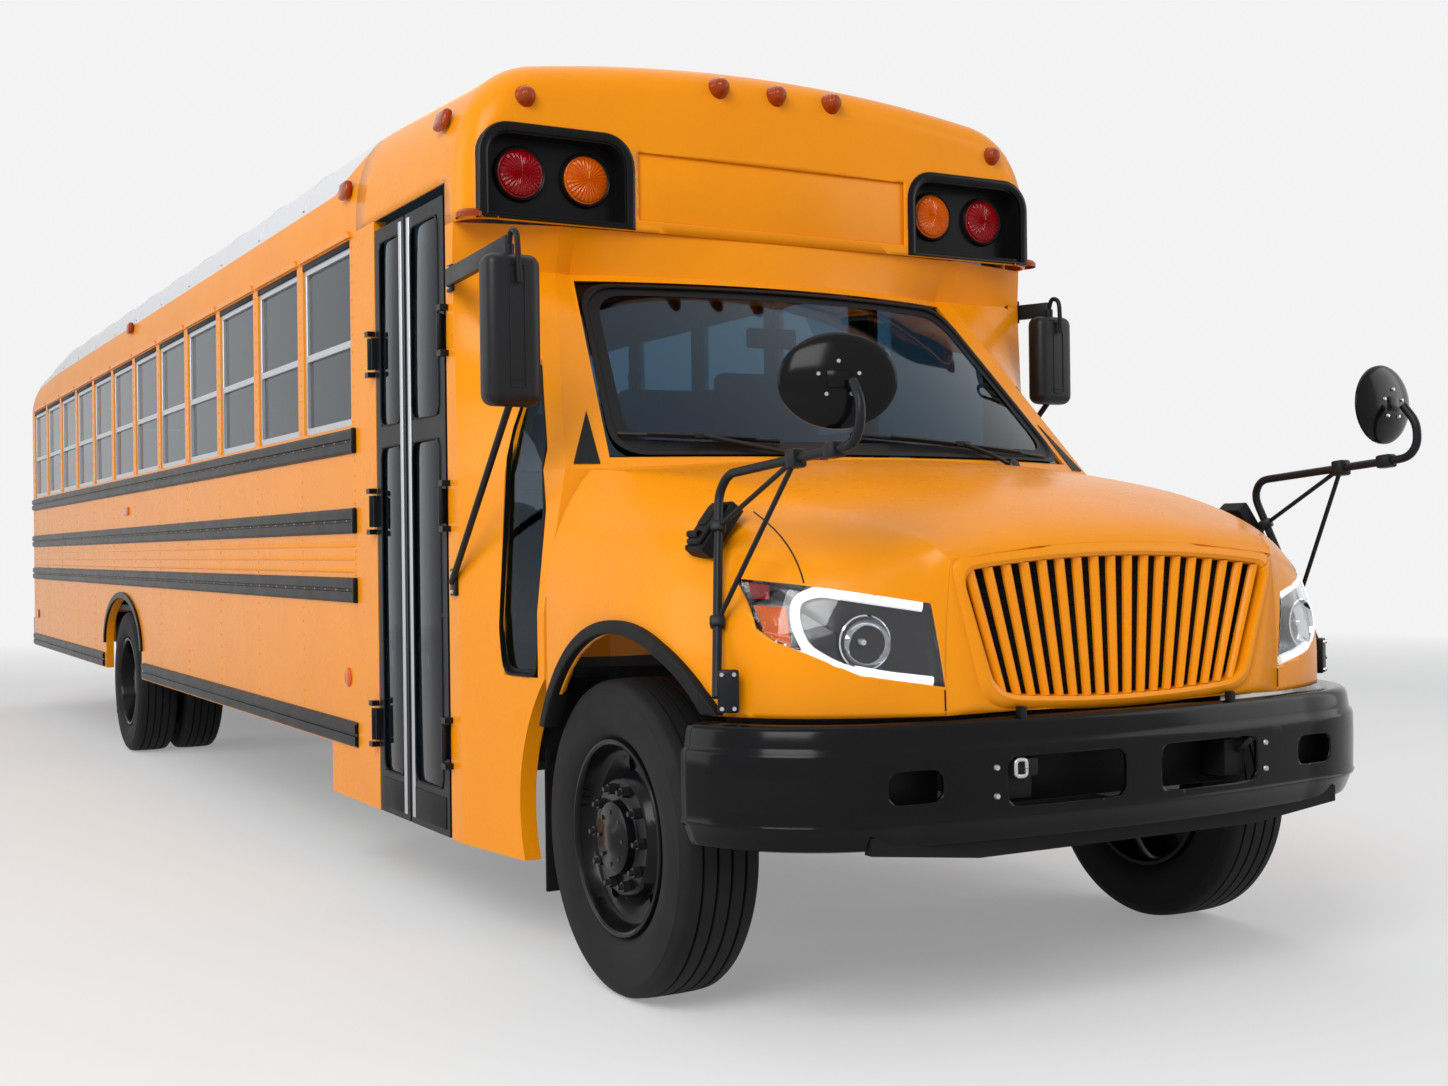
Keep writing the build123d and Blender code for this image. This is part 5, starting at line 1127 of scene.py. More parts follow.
@dataclass(frozen=True)
class HoodFittings:
    """The hood's seams, rubber latches and the T handles on them."""

    hood: HoodSkin
    seams: tuple[tuple[Pair, Pair], ...] = (
        ((0.604, 0.922), (0.603, 0.868)), ((0.880, 1.394), (0.905, 1.202)))
    latch: Point = (1.000, -0.400, 1.345)
    lean: float = 38.0

    def build(self, shop: Workshop) -> None:
        """Makes the seams and the latches' straps and handles.

        Args:
            shop: Places the pieces.
        """
        seams, straps = Form(), Form()
        for side in Side:
            for first, last in self.seams:
                line = [Vector(first).lerp(Vector(last), step / 8) for step in range(9)]
                seams.tube([self.hood.on_corner(side.value * x, z, -0.0004) for x, z in line], 0.0022, 6)
            turn = math.radians(self.lean)
            normal = Vector((side.value * math.cos(turn), 0.0, math.sin(turn)))
            up = Vector((-side.value * math.sin(turn), 0.0, math.cos(turn)))
            x, y, z = self.latch
            spot = shop.spot(side.value * x, y, z) + normal * 0.022
            straps.block(basis(spot + normal * 0.006, normal, up), (0.074, 0.140, 0.020), 0.009, 3)
            straps.block(basis(spot + normal * 0.014 + up * 0.020, normal, up), (0.046, 0.070, 0.020), 0.008,
                         3)
            grip = spot + normal * 0.020 - up * 0.046
            straps.tube([grip + Vector((0, -0.028, 0)), grip + Vector((0, 0.028, 0))], 0.010, 14)
            for lift in (-0.074, 0.074):
                for reach in (-0.040, 0.040):
                    straps.button(spot + up * lift + Vector((0, reach, 0)), normal, 0.007, 0.004)
        shop.place(seams, "hood_seams", RUBBER, Body.HOOD)
        shop.place(straps, "hood_latch_straps", RUBBER, Body.HOOD)


@dataclass(frozen=True)
class CrossViewMirrors:
    """The two convex mirrors on tube arms at the hood's front corners."""

    line: tuple[Point, ...] = (
        (1.122, -0.622, 0.910), (1.009, -0.445, 1.442), (0.999, -0.480, 1.494), (0.988, -0.984, 1.531),
        (0.988, -1.062, 1.537), (0.988, -1.096, 1.575), (0.984, -1.096, 1.640), (0.978, -1.055, 1.692))
    foot_plate: Point = (1.094, -0.634, 0.926)
    dish: Point = (0.976, -0.985, 1.700)
    dish_half: tuple[float, float, float] = (0.147, 0.118, 0.034)
    yaw: Pair = (28.0, -10.0)
    shell_profile: Pairs = (
        (0.0, 1.0), (0.25, 0.96), (0.5, 0.84), (0.75, 0.58), (0.9, 0.34), (0.97, 0.14), (1.0, 0.0),
        (1.0, -0.20), (0.96, -0.28), (0.90, -0.26))
    tube_radius: float = 0.0125
    brace_radius: float = 0.007
    brace_feet: Pair = (0.36, 0.83)
    brace_head: float = 0.66

    def build(self, shop: Workshop) -> None:
        """Makes the arms, clamps, plates and dishes.

        Args:
            shop: Places the pieces.
        """
        arms, dishes, glasses, bolts = Form(), Form(), Form(), Form()
        for side, yaw in zip(Side, self.yaw):
            spots = [shop.spot(side.value * x, y, z) for x, y, z in self.line]
            arms.tube(bend(spots, 0.035, 5), self.tube_radius, 14)
            head = spots[2].lerp(spots[3], self.brace_head)
            for share in self.brace_feet:
                foot = spots[0].lerp(spots[1], share)
                arms.tube([foot, head], self.brace_radius, 10)
                arms.block(basis(foot, spots[1] - spots[0]), (0.040, 0.040, 0.030), 0.006)
            arms.block(basis(head, spots[3] - spots[2]), (0.042, 0.048, 0.044), 0.007)
            arms.block(basis(spots[3], spots[3] - spots[2]), (0.040, 0.040, 0.050), 0.007)
            x, y, z = self.foot_plate
            plate = shop.spot(side.value * x, y, z)
            normal = Vector((side.value * 0.52, -0.85, 0.0)).normalized()
            arms.block(basis(plate, normal), (0.056, 0.112, 0.026), 0.007)
            for across in (-0.016, 0.016):
                for lift in (-0.044, 0.044):
                    spot = basis(plate, normal) @ Vector((across, lift, 0.012))
                    bolts.button(spot, normal, 0.007, 0.006, 8, 0.8)
            facing = Vector((math.sin(math.radians(yaw)), math.cos(math.radians(yaw)), 0.0))
            x, y, z = self.dish
            turn = basis(shop.spot(side.value * x, y, z), -facing)
            wide, high, deep = self.dish_half

            def shell(round_share: float, out: float) -> Vector:
                """Gives a point of the dish's domed back and its rolled rim."""
                reach, lift = self.shell_profile[round(out * (len(self.shell_profile) - 1))]
                angle = math.tau * round_share
                return turn @ Vector((wide * reach * math.cos(angle), high * reach * math.sin(angle),
                                      deep * lift))

            def mirror(round_share: float, out: float) -> Vector:
                """Gives a point of the convex glass that faces the driver."""
                angle = math.tau * round_share
                bulge = -0.022 * (1 - out * out) - deep * 0.22
                return turn @ Vector((0.93 * wide * out * math.cos(angle),
                                      0.93 * high * out * math.sin(angle), bulge))

            dishes.surface(shell, 48, 9)
            glasses.surface(mirror, 48, 8)
            for step in range(5):
                angle = math.tau * (step / 5 + 0.25)
                spot = turn @ Vector((0.052 * math.cos(angle), 0.044 * math.sin(angle), deep * 0.90))
                bolts.button(spot, -facing, 0.006, 0.006, 8, 0.8)
            dishes.block(turn @ Matrix.Translation((0, 0, deep * 0.95)), (0.060, 0.044, 0.014), 0.006)
        shop.place(arms, "cross_view_arms", ARM, Body.HOOD, replaces=("cross_view_mirrors",))
        shop.place(dishes, "cross_view_dishes", BUMPER, Body.HOOD)
        shop.place(bolts, "cross_view_bolts", BOLT, Body.HOOD)
        shop.place(glasses, "cross_view_glasses", MIRROR, Body.HOOD)


@dataclass(frozen=True)
class Wheels:
    """Tyres with ribbed treads and disc wheels with hand holes, hubs and ten nuts each."""

    tread: Pairs = (
        (0.0, 0.460), (0.0175, 0.460), (0.019, 0.448), (0.025, 0.448), (0.0265, 0.460), (0.0615, 0.459),
        (0.063, 0.447), (0.069, 0.447), (0.0705, 0.459), (0.098, 0.456), (0.108, 0.450), (0.116, 0.440),
        (0.119, 0.428), (0.1225, 0.424), (0.1235, 0.405), (0.125, 0.370), (0.123, 0.345), (0.1215, 0.340),
        (0.119, 0.322), (0.108, 0.302), (0.099, 0.292), (0.094, 0.285))
    front_disc: Pairs = (
        (0.131, 0.0), (0.130, 0.036), (0.124, 0.045), (0.122, 0.094), (0.117, 0.103), (0.094, 0.108),
        (0.090, 0.114), (0.089, 0.166), (0.082, 0.174), (0.058, 0.186), (0.050, 0.194), (0.047, 0.204),
        (0.047, 0.238), (0.053, 0.251), (0.064, 0.260), (0.098, 0.266), (0.108, 0.270), (0.112, 0.277),
        (0.111, 0.284), (0.104, 0.288), (-0.104, 0.288), (-0.112, 0.284), (-0.112, 0.272), (-0.100, 0.264),
        (0.018, 0.256), (0.030, 0.240), (0.030, 0.186), (0.026, 0.165), (-0.070, 0.122), (-0.075, 0.112),
        (-0.075, 0.0))
    twin_disc: Pairs = (
        (0.212, 0.0), (0.210, 0.060), (0.204, 0.104), (0.190, 0.112), (0.060, 0.122), (0.034, 0.128),
        (0.027, 0.134), (0.025, 0.170), (0.024, 0.206), (0.026, 0.236), (0.036, 0.250), (0.060, 0.258),
        (0.240, 0.266), (0.252, 0.270), (0.257, 0.277), (0.256, 0.284), (0.249, 0.288), (-0.249, 0.288),
        (-0.257, 0.284), (-0.257, 0.272), (-0.240, 0.264), (-0.036, 0.256), (-0.024, 0.240), (-0.024, 0.150),
        (-0.290, 0.148), (-0.298, 0.140), (-0.300, 0.0))
    hole_pitch: float = 0.2165
    hole_radius: float = 0.0275
    holes: int = 5
    nut_pitch: float = 0.1425
    cap_pitch: float = 0.076
    front_x: float = 1.010
    twin_outer_x: float = 1.078
    twin_spacing: float = 0.290
    steps: int = 96

    def tyre(self, form: Form, place: Vector) -> None:
        """Adds one tyre about its centre."""
        rows = [(-along, radius) for along, radius in reversed(self.tread[1:])] + list(self.tread)
        form.spin(rows, place, (1.0, 0.0, 0.0), self.steps)

    def disc(self, form: Form, place: Vector, sign: int, rows: Sequence[Pair], face: float) -> None:
        """Adds one wheel with its hand holes cut through.

        Args:
            form: The form to add to.
            place: The wheel's centre.
            sign: The side that its outer face points to.
            rows: Its profile.
            face: How far out its holed face stands.
        """
        form.spin(rows, place, (sign, 0.0, 0.0), self.steps)
        for rise, along in circle(self.hole_pitch, self.holes):
            spot = place + Vector((0.0, along, rise))
            outline = [spot + Vector((0.0, *point)) for point in circle(self.hole_radius, 18)]
            form.cut_out(outline, (1.0, 0.0, 0.0), lambda centre: (centre.yz - spot.yz).length < 0.055
                         and abs(centre.x - place.x - sign * (face - 0.012)) < 0.05)
            rims = [edge for edge in form.mesh.edges if edge.is_boundary
                    and (edge.verts[0].co.yz - spot.yz).length < self.hole_radius * 1.05]
            bmesh.ops.bridge_loops(form.mesh, edges=rims)

    def nuts(self, form: Form, place: Vector, sign: int, face: float) -> None:
        """Adds ten nuts on their studs, and the hub's cap bolts."""
        out = Vector((sign, 0.0, 0.0))
        for rise, along in circle(self.nut_pitch, 10, 0.5):
            spot = place + Vector((sign * face, along, rise))
            form.button(spot, out, 0.0165, 0.022, 6, 0.92)
            form.button(spot + out * 0.022, out, 0.0095, 0.014, 10, 0.8)
        for rise, along in circle(self.cap_pitch, 8):
            form.button(place + Vector((sign * (face + 0.032), along, rise)), out, 0.007, 0.006, 6, 0.9)

    def build(self, shop: Workshop) -> None:
        """Makes all tyres and wheels.

        Args:
            shop: Places the pieces.
        """
        layout = shop.layout
        twin_inner_x = self.twin_outer_x - self.twin_spacing
        rows = (("front", "", layout.front_axle_y, (self.front_x,), self.front_disc, 0.047, 0.088),
                ("rear", "s", layout.rear_axle_y, (self.twin_outer_x, twin_inner_x), self.twin_disc, 0.012,
                 0.026))
        for side in Side:
            sign, name = side.value, side.name.lower()
            for end, plural, y, places, profile, face, nut_face in rows:
                body = Body(f"{end}_wheel{plural}_{name}")
                hub = Vector((sign * sum(places) / len(places), y, layout.wheel_z))
                tyres, wheel, nuts = Form(), Form(), Form()
                for x in places:
                    self.tyre(tyres, Vector((sign * x, y, layout.wheel_z)))
                self.disc(wheel, hub, sign, profile, face)
                self.nuts(nuts, hub, sign, nut_face)
                shop.place(tyres, f"tyre{plural}_{end}_{name}", TYRE, body,
                           replaces=(f"{end}_tyre{plural}_{name}",))
                shop.place(wheel, f"wheel{plural}_{end}_{name}", WHEEL, body,
                           replaces=(f"{end}_wheel{plural}_{name}",))
                shop.place(nuts, f"nuts_{end}_{name}", NUT, body)


@dataclass(frozen=True)
class RoofShell:
    """The roof's skin with its bows and hatches, and the front cap with its lamp trays' mouths cut."""

    half_width: float
    eave_z: float = 2.560
    haunch: tuple[Pair, Pair] = ((1.180, 2.915), (1.222, 2.950))
    shoulder: tuple[Pair, Pair] = ((0.820, 2.965), (1.000, 2.977))
    crown_z: float = 3.040
    lip_z: float = 2.410
    cap_front: float = 0.885
    cap_rear: float = 2.080
    rear: float = 11.520
    nose_round: float = 0.115
    housing: tuple[float, float, float, float] = (0.615, 1.140, 2.425, 2.715)
    housing_round: float = 0.085
    rim: Pairs = ((-0.005, -0.050), (-0.004, 0.004), (0.004, 0.009), (0.020, 0.010),
                                            (0.027, 0.006), (0.031, -0.004), (0.031, -0.030))
    brow: tuple[float, float, float] = (0.570, 2.450, 2.690)
    bow_steps: Pairs = (
        (-0.016, -0.002), (-0.0128, 0.006), (-0.0048, 0.006), (0.0048, 0.006), (0.0128, 0.006),
        (0.016, -0.002))
    hatches: Pair = (3.55, 8.95)
    cap_rows: tuple[int, int, int] = (14, 10, 32)
    sheet: float = 0.010
    roof_wall: float = 0.050

    def section(self, share: float, station: float, inset: float = 0.0) -> Vector:
        """Gives a point of the cross section, which is fullest between the cap and the rear.

        Args:
            share: From -1 at the right eave over 0 at the crown to 1 at the left one.
            station: The distance behind the front axle.
            inset: How far the section is drawn in.

        Returns:
            The distance to the side and the height.
        """
        full = min(0.55 + max(station - self.cap_front, 0.0) * 0.4, 1.0)
        full *= min(max(self.rear - station, 0.0) / 1.4, 1.0)
        low = Vector((self.half_width - inset, self.eave_z))
        haunch = Vector(self.haunch[0]).lerp(Vector(self.haunch[1]), full) - Vector((0.8, 0.8)) * inset
        shoulder = Vector(self.shoulder[0]).lerp(Vector(self.shoulder[1]), full) - Vector((0.3, 1.0)) * inset
        part = abs(share)
        if part > 0.5:
            turn = (1 - part) / 0.5
            spot = low.lerp(haunch, turn).lerp(haunch.lerp(shoulder, turn), turn)
            return Vector((math.copysign(spot.x, share), spot.y))
        across = shoulder.x * part / 0.5
        height = arc_height(self.crown_z - inset, shoulder.y, shoulder.x, across)
        return Vector((math.copysign(across, share), height))

    def build(self, shop: Workshop) -> None:
        """Makes the roof, the cap, the bows and the hatches.

        Args:
            shop: Places the pieces.
        """
        self.make_roof(shop)
        self.make_cap(shop)

    def make_roof(self, shop: Workshop) -> None:
        """Makes the roof's skin, with a bow over each window post and two low hatches."""
        at = shop.layout.at
        form, bows, hatches = Form(), Form(), Form()

        def skin(across: float, along: float) -> Vector:
            """Gives a point of the roof's skin."""
            station = self.cap_rear + (self.rear - self.cap_rear) * along
            spot = self.section(across * 2 - 1, station)
            return Vector((spot.x, at(station), spot.y))

        form.surface(skin, 72, 24)
        bmesh.ops.recalc_face_normals(form.mesh, faces=form.mesh.faces)
        form.mesh.normal_update()
        bmesh.ops.solidify(form.mesh, geom=form.mesh.faces, thickness=self.roof_wall)
        shop.place(form, "roof_skin", ROOF_PAINT, replaces=("roof",))
        for index in range(1, WINDOWS + 1):
            middle = WINDOW_START + WINDOW_PITCH * index

            def bow(across: float, along: float) -> Vector:
                """Gives a point of a raised bow."""
                reach, rise = self.bow_steps[round(along * 5)]
                spot = self.section((across * 2 - 1) * 0.83, middle + reach, -rise)
                return Vector((spot.x, at(middle + reach), spot.y))

            bows.surface(bow, 64, 5)
        for y in self.hatches:
            hatches.box((-0.31, at(y) - 0.31, 3.020), (0.31, at(y) + 0.31, 3.052), 0.010)
            hatches.box((-0.27, at(y) - 0.27, 3.045), (0.27, at(y) + 0.27, 3.070), 0.014, 3)
        shop.place(bows, "roof_bows", ROOF_PAINT)
        shop.place(hatches, "roof_hatches", ROOF_PAINT)

    def cap_point(self, across: float, along: float, layout: Layout) -> Vector:
        """Gives a point of the cap, up its face, round its edge and back along its crown.

        Args:
            across: The share of the way across.
            along: The share of the way from the lip to the cap's rear.
            layout: The frame's driving sizes.

        Returns:
            The point.
        """
        face_rows, round_rows, rows = self.cap_rows
        step, share = round(along * rows), across * 2 - 1
        start = self.cap_front + self.nose_round
        if step <= face_rows + round_rows:
            turn = math.pi / 2 * max(step - face_rows, 0) / round_rows
            inset = self.nose_round * (1 - math.sin(turn))
            y = self.cap_front + self.nose_round * (1 - math.cos(turn))
        else:
            inset = 0.0
            behind = (step - face_rows - round_rows) / (rows - face_rows - round_rows)
            y = start + (self.cap_rear - start) * behind
        spot = self.section(math.copysign(min(abs(share) / 0.94, 1.0), share), y, inset)
        z = spot.y
        if abs(share) > 0.94:
            z = self.eave_z + (self.lip_z - self.eave_z) * (abs(share) - 0.94) / 0.06
        if step < face_rows:
            z = self.lip_z + (z - self.lip_z) * step / face_rows
        return Vector((spot.x, layout.at(y), z))

    def make_cap(self, shop: Workshop) -> None:
        """Makes the front cap, rounded over to its face, with the trays' mouths and the brow's recess."""
        at, face_y = shop.layout.at, shop.layout.at(self.cap_front)
        form, rims, panel = Form(), Form(), Form()
        form.surface(lambda across, along: self.cap_point(across, along, shop.layout), 100, self.cap_rows[2])
        bmesh.ops.remove_doubles(form.mesh, verts=form.mesh.verts, dist=1e-5)
        door = [(0.0, at(y), z)
                for y, z in ((1.075, 2.300), (2.300, 2.300), (2.300, self.eave_z), (1.075, self.eave_z))]
        form.cut_out(door, (1, 0, 0), lambda spot: abs(spot.x) > 1.15 and spot.z < 2.62)
        near = lambda spot: spot.y < at(self.cap_front + 0.085) and 2.36 < spot.z < 2.78
        inner, outer, low, high = self.housing
        for side in Side:
            outline = [(side.value * x, face_y, z)
                       for x, z in tray_loop(inner, outer, low, high, self.housing_round)]
            form.cut_out(outline, (0, 1, 0), lambda spot: near(spot) and spot.x * side.value > 0.5)

            def rim(turn: float, out: float) -> Vector:
                """Gives a point of the raised rim round a lamp tray's mouth."""
                spread, depth = self.rim[round(out * (len(self.rim) - 1))]
                loop = tray_loop(inner - spread, outer + spread, low - spread * 0.4, high + spread,
                                 self.housing_round + spread)
                x, z = loop[round(turn * len(loop)) % len(loop)]
                return Vector((side.value * x, at(self.cap_front - depth), z))

            rims.surface(rim, 20, len(self.rim) - 1)
        half, low, high = self.brow
        outline = [(x, face_y, z) for x, z in ((-half, low), (half, low), (half, high), (-half, high))]
        form.cut_out(outline, (0, 1, 0), lambda spot: near(spot) and abs(spot.x) < 0.62)
        shop.place_sheet(form, "front_cap_skin", PAINT, self.sheet, (0, 0, 1), replaces=("front_cap",))
        panel.box((-half - 0.008, at(self.cap_front + 0.010), low - 0.008),
                  (half + 0.008, at(self.cap_front + 0.016), high + 0.008), 0.001)
        shop.place(panel, "brow_panel", PAINT)
        shop.place(rims, "lamp_tray_rims", BUMPER)


@dataclass(frozen=True)
class Lamps:
    """Warning, tail, clearance, marker and side lamps, with ribbed lenses in red and amber."""

    lens_profile: Pairs = (
        (0.0, 1.0), (0.006, 1.0), (0.010, 0.985), (0.012, 0.93), (0.018, 0.90), (0.024, 0.78), (0.029, 0.55),
        (0.031, 0.28), (0.032, 0.0))
    ribs: int = 28
    marker: Point = (1.179, 0.927, 2.412)
    side_marker: Pair = (7.05, 1.577)
    reflectors: tuple[tuple[str, float], ...] = (("red", 11.25), ("amber", 2.24))
    reflector_z: float = 0.794
    front_bezel: Pairs = ((-0.004, 1.16), (0.010, 1.14), (0.016, 1.08), (0.012, 1.0))
    rear_bezel: Pairs = ((-0.002, 1.10), (0.010, 1.09), (0.014, 1.03), (0.008, 0.99))
    marker_profile: Pairs = ((0.0, 0.054), (0.016, 0.054), (0.026, 0.044), (0.030, 0.0))
    reflector_profile: Pairs = ((0.0, 0.038), (0.006, 0.038), (0.008, 0.034), (0.009, 0.0))
    clearance_profile: Pairs = (
        (0.048, 0.0), (0.046, 0.013), (0.038, 0.024), (0.022, 0.033), (0.004, 0.038), (0.0, 0.040),
        (-0.030, 0.040))
    side_lamps: tuple[tuple[float, float, float, float], ...] = (
        (1.214, 2.20, 2.742, 0.12), (1.214, 6.85, 2.742, 0.12), (1.190, 1.14, 2.785, 0.35))
    front: tuple[tuple[str, float], ...] = (("amber", 0.746), ("red", 0.993))
    front_z: float = 2.585
    front_radius: float = 0.084
    front_y: float = 0.960
    rear: tuple[tuple[str, float, float, float, float], ...] = (
        ("amber", 0.690, 2.675, 0.080, 0.030), ("red", 0.930, 2.675, 0.080, 0.030),
        ("red", 1.000, 1.330, 0.090, 0.0), ("amber", 1.000, 1.110, 0.090, 0.0),
        ("clear", 0.760, 1.110, 0.060, 0.0))
    clearance: tuple[tuple[float, float, float], ...] = ((0.0, 0.004, 2.955), (0.241, 0.004, 2.955),
                                                         (-0.241, 0.004, 2.955), (0.995, 0.010, 2.835),
                                                         (-0.995, 0.010, 2.835))

    def lens(self, form: Form, place: Vector, axis: Vector, radius: float) -> None:
        """Adds a round domed lens with fine ribs from its middle to its rim."""
        matrix = basis(place, axis)

        def shape(turn: float, out: float) -> Vector:
            """Gives a point of the lens."""
            along, reach = self.lens_profile[round(out * (len(self.lens_profile) - 1))]
            rib = 0.0016 * math.cos(turn * math.tau * self.ribs) if 0.2 < reach < 0.92 else 0.0
            angle = turn * math.tau
            return matrix @ Vector((reach * radius * math.cos(angle), reach * radius * math.sin(angle),
                                    along + rib))

        form.surface(shape, self.ribs * 4, len(self.lens_profile) - 1)

    def build(self, shop: Workshop) -> None:
        """Makes all lamps and their bezels.

        Args:
            shop: Places the pieces.
        """
        wall, rear = shop.layout.half_width, shop.layout.body_rear_y
        forms = {name: Form() for name in ("red", "amber", "deep", "clear", "bezel")}
        ahead, behind = Vector((0, -1, 0)), Vector((0, 1, 0))
        for side in Side:
            sign = side.value
            for colour, x in self.front:
                spot = shop.spot(sign * x, self.front_y, self.front_z)
                self.lens(forms[colour], spot + ahead * 0.004, ahead, self.front_radius)
                forms["bezel"].spin([(along, share * self.front_radius) for along, share in self.front_bezel],
                                    spot, ahead, 40)
            for colour, x, z, radius, stand in self.rear:
                spot = Vector((sign * x, rear + stand, z))
                self.lens(forms[colour], spot, behind, radius)
                forms["bezel"].spin([(along, share * radius) for along, share in self.rear_bezel], spot,
                                    behind, 40)
            x, y, z = self.marker
            forms["deep"].spin(self.marker_profile, shop.spot(sign * x, y, z), (0, 0, 1), 28)
            for x, y, z, lean in self.side_lamps:
                normal = Vector((sign, 0.0, lean)).normalized()
                forms["deep"].block(basis(shop.spot(sign * x, y, z) + normal * 0.010, normal, (0, 1, 0)),
                                    (0.070, 0.096, 0.032), 0.013, 3)
            forms["amber"].block(basis(shop.spot(sign * (wall + 0.001), *self.side_marker), (sign, 0, 0)),
                                 (0.150, 0.052, 0.018), 0.008, 3)
            for colour, y in self.reflectors:
                forms[colour].spin(self.reflector_profile, shop.spot(sign * wall, y, self.reflector_z),
                                   (sign, 0, 0), 24)
        for x, setback, z in self.clearance:
            forms["deep"].spin(self.clearance_profile, shop.spot(x, 0.885 + setback, z), (0.0, -1.0, 0.12),
                               28)
        finishes = {"red": RED, "amber": AMBER, "deep": DEEP_AMBER, "clear": CLEAR, "bezel": TRIM}
        for name, form in forms.items():
            shop.place(form, f"lamps_{name}", finishes[name], replaces=("lamps",) if name == "amber" else ())


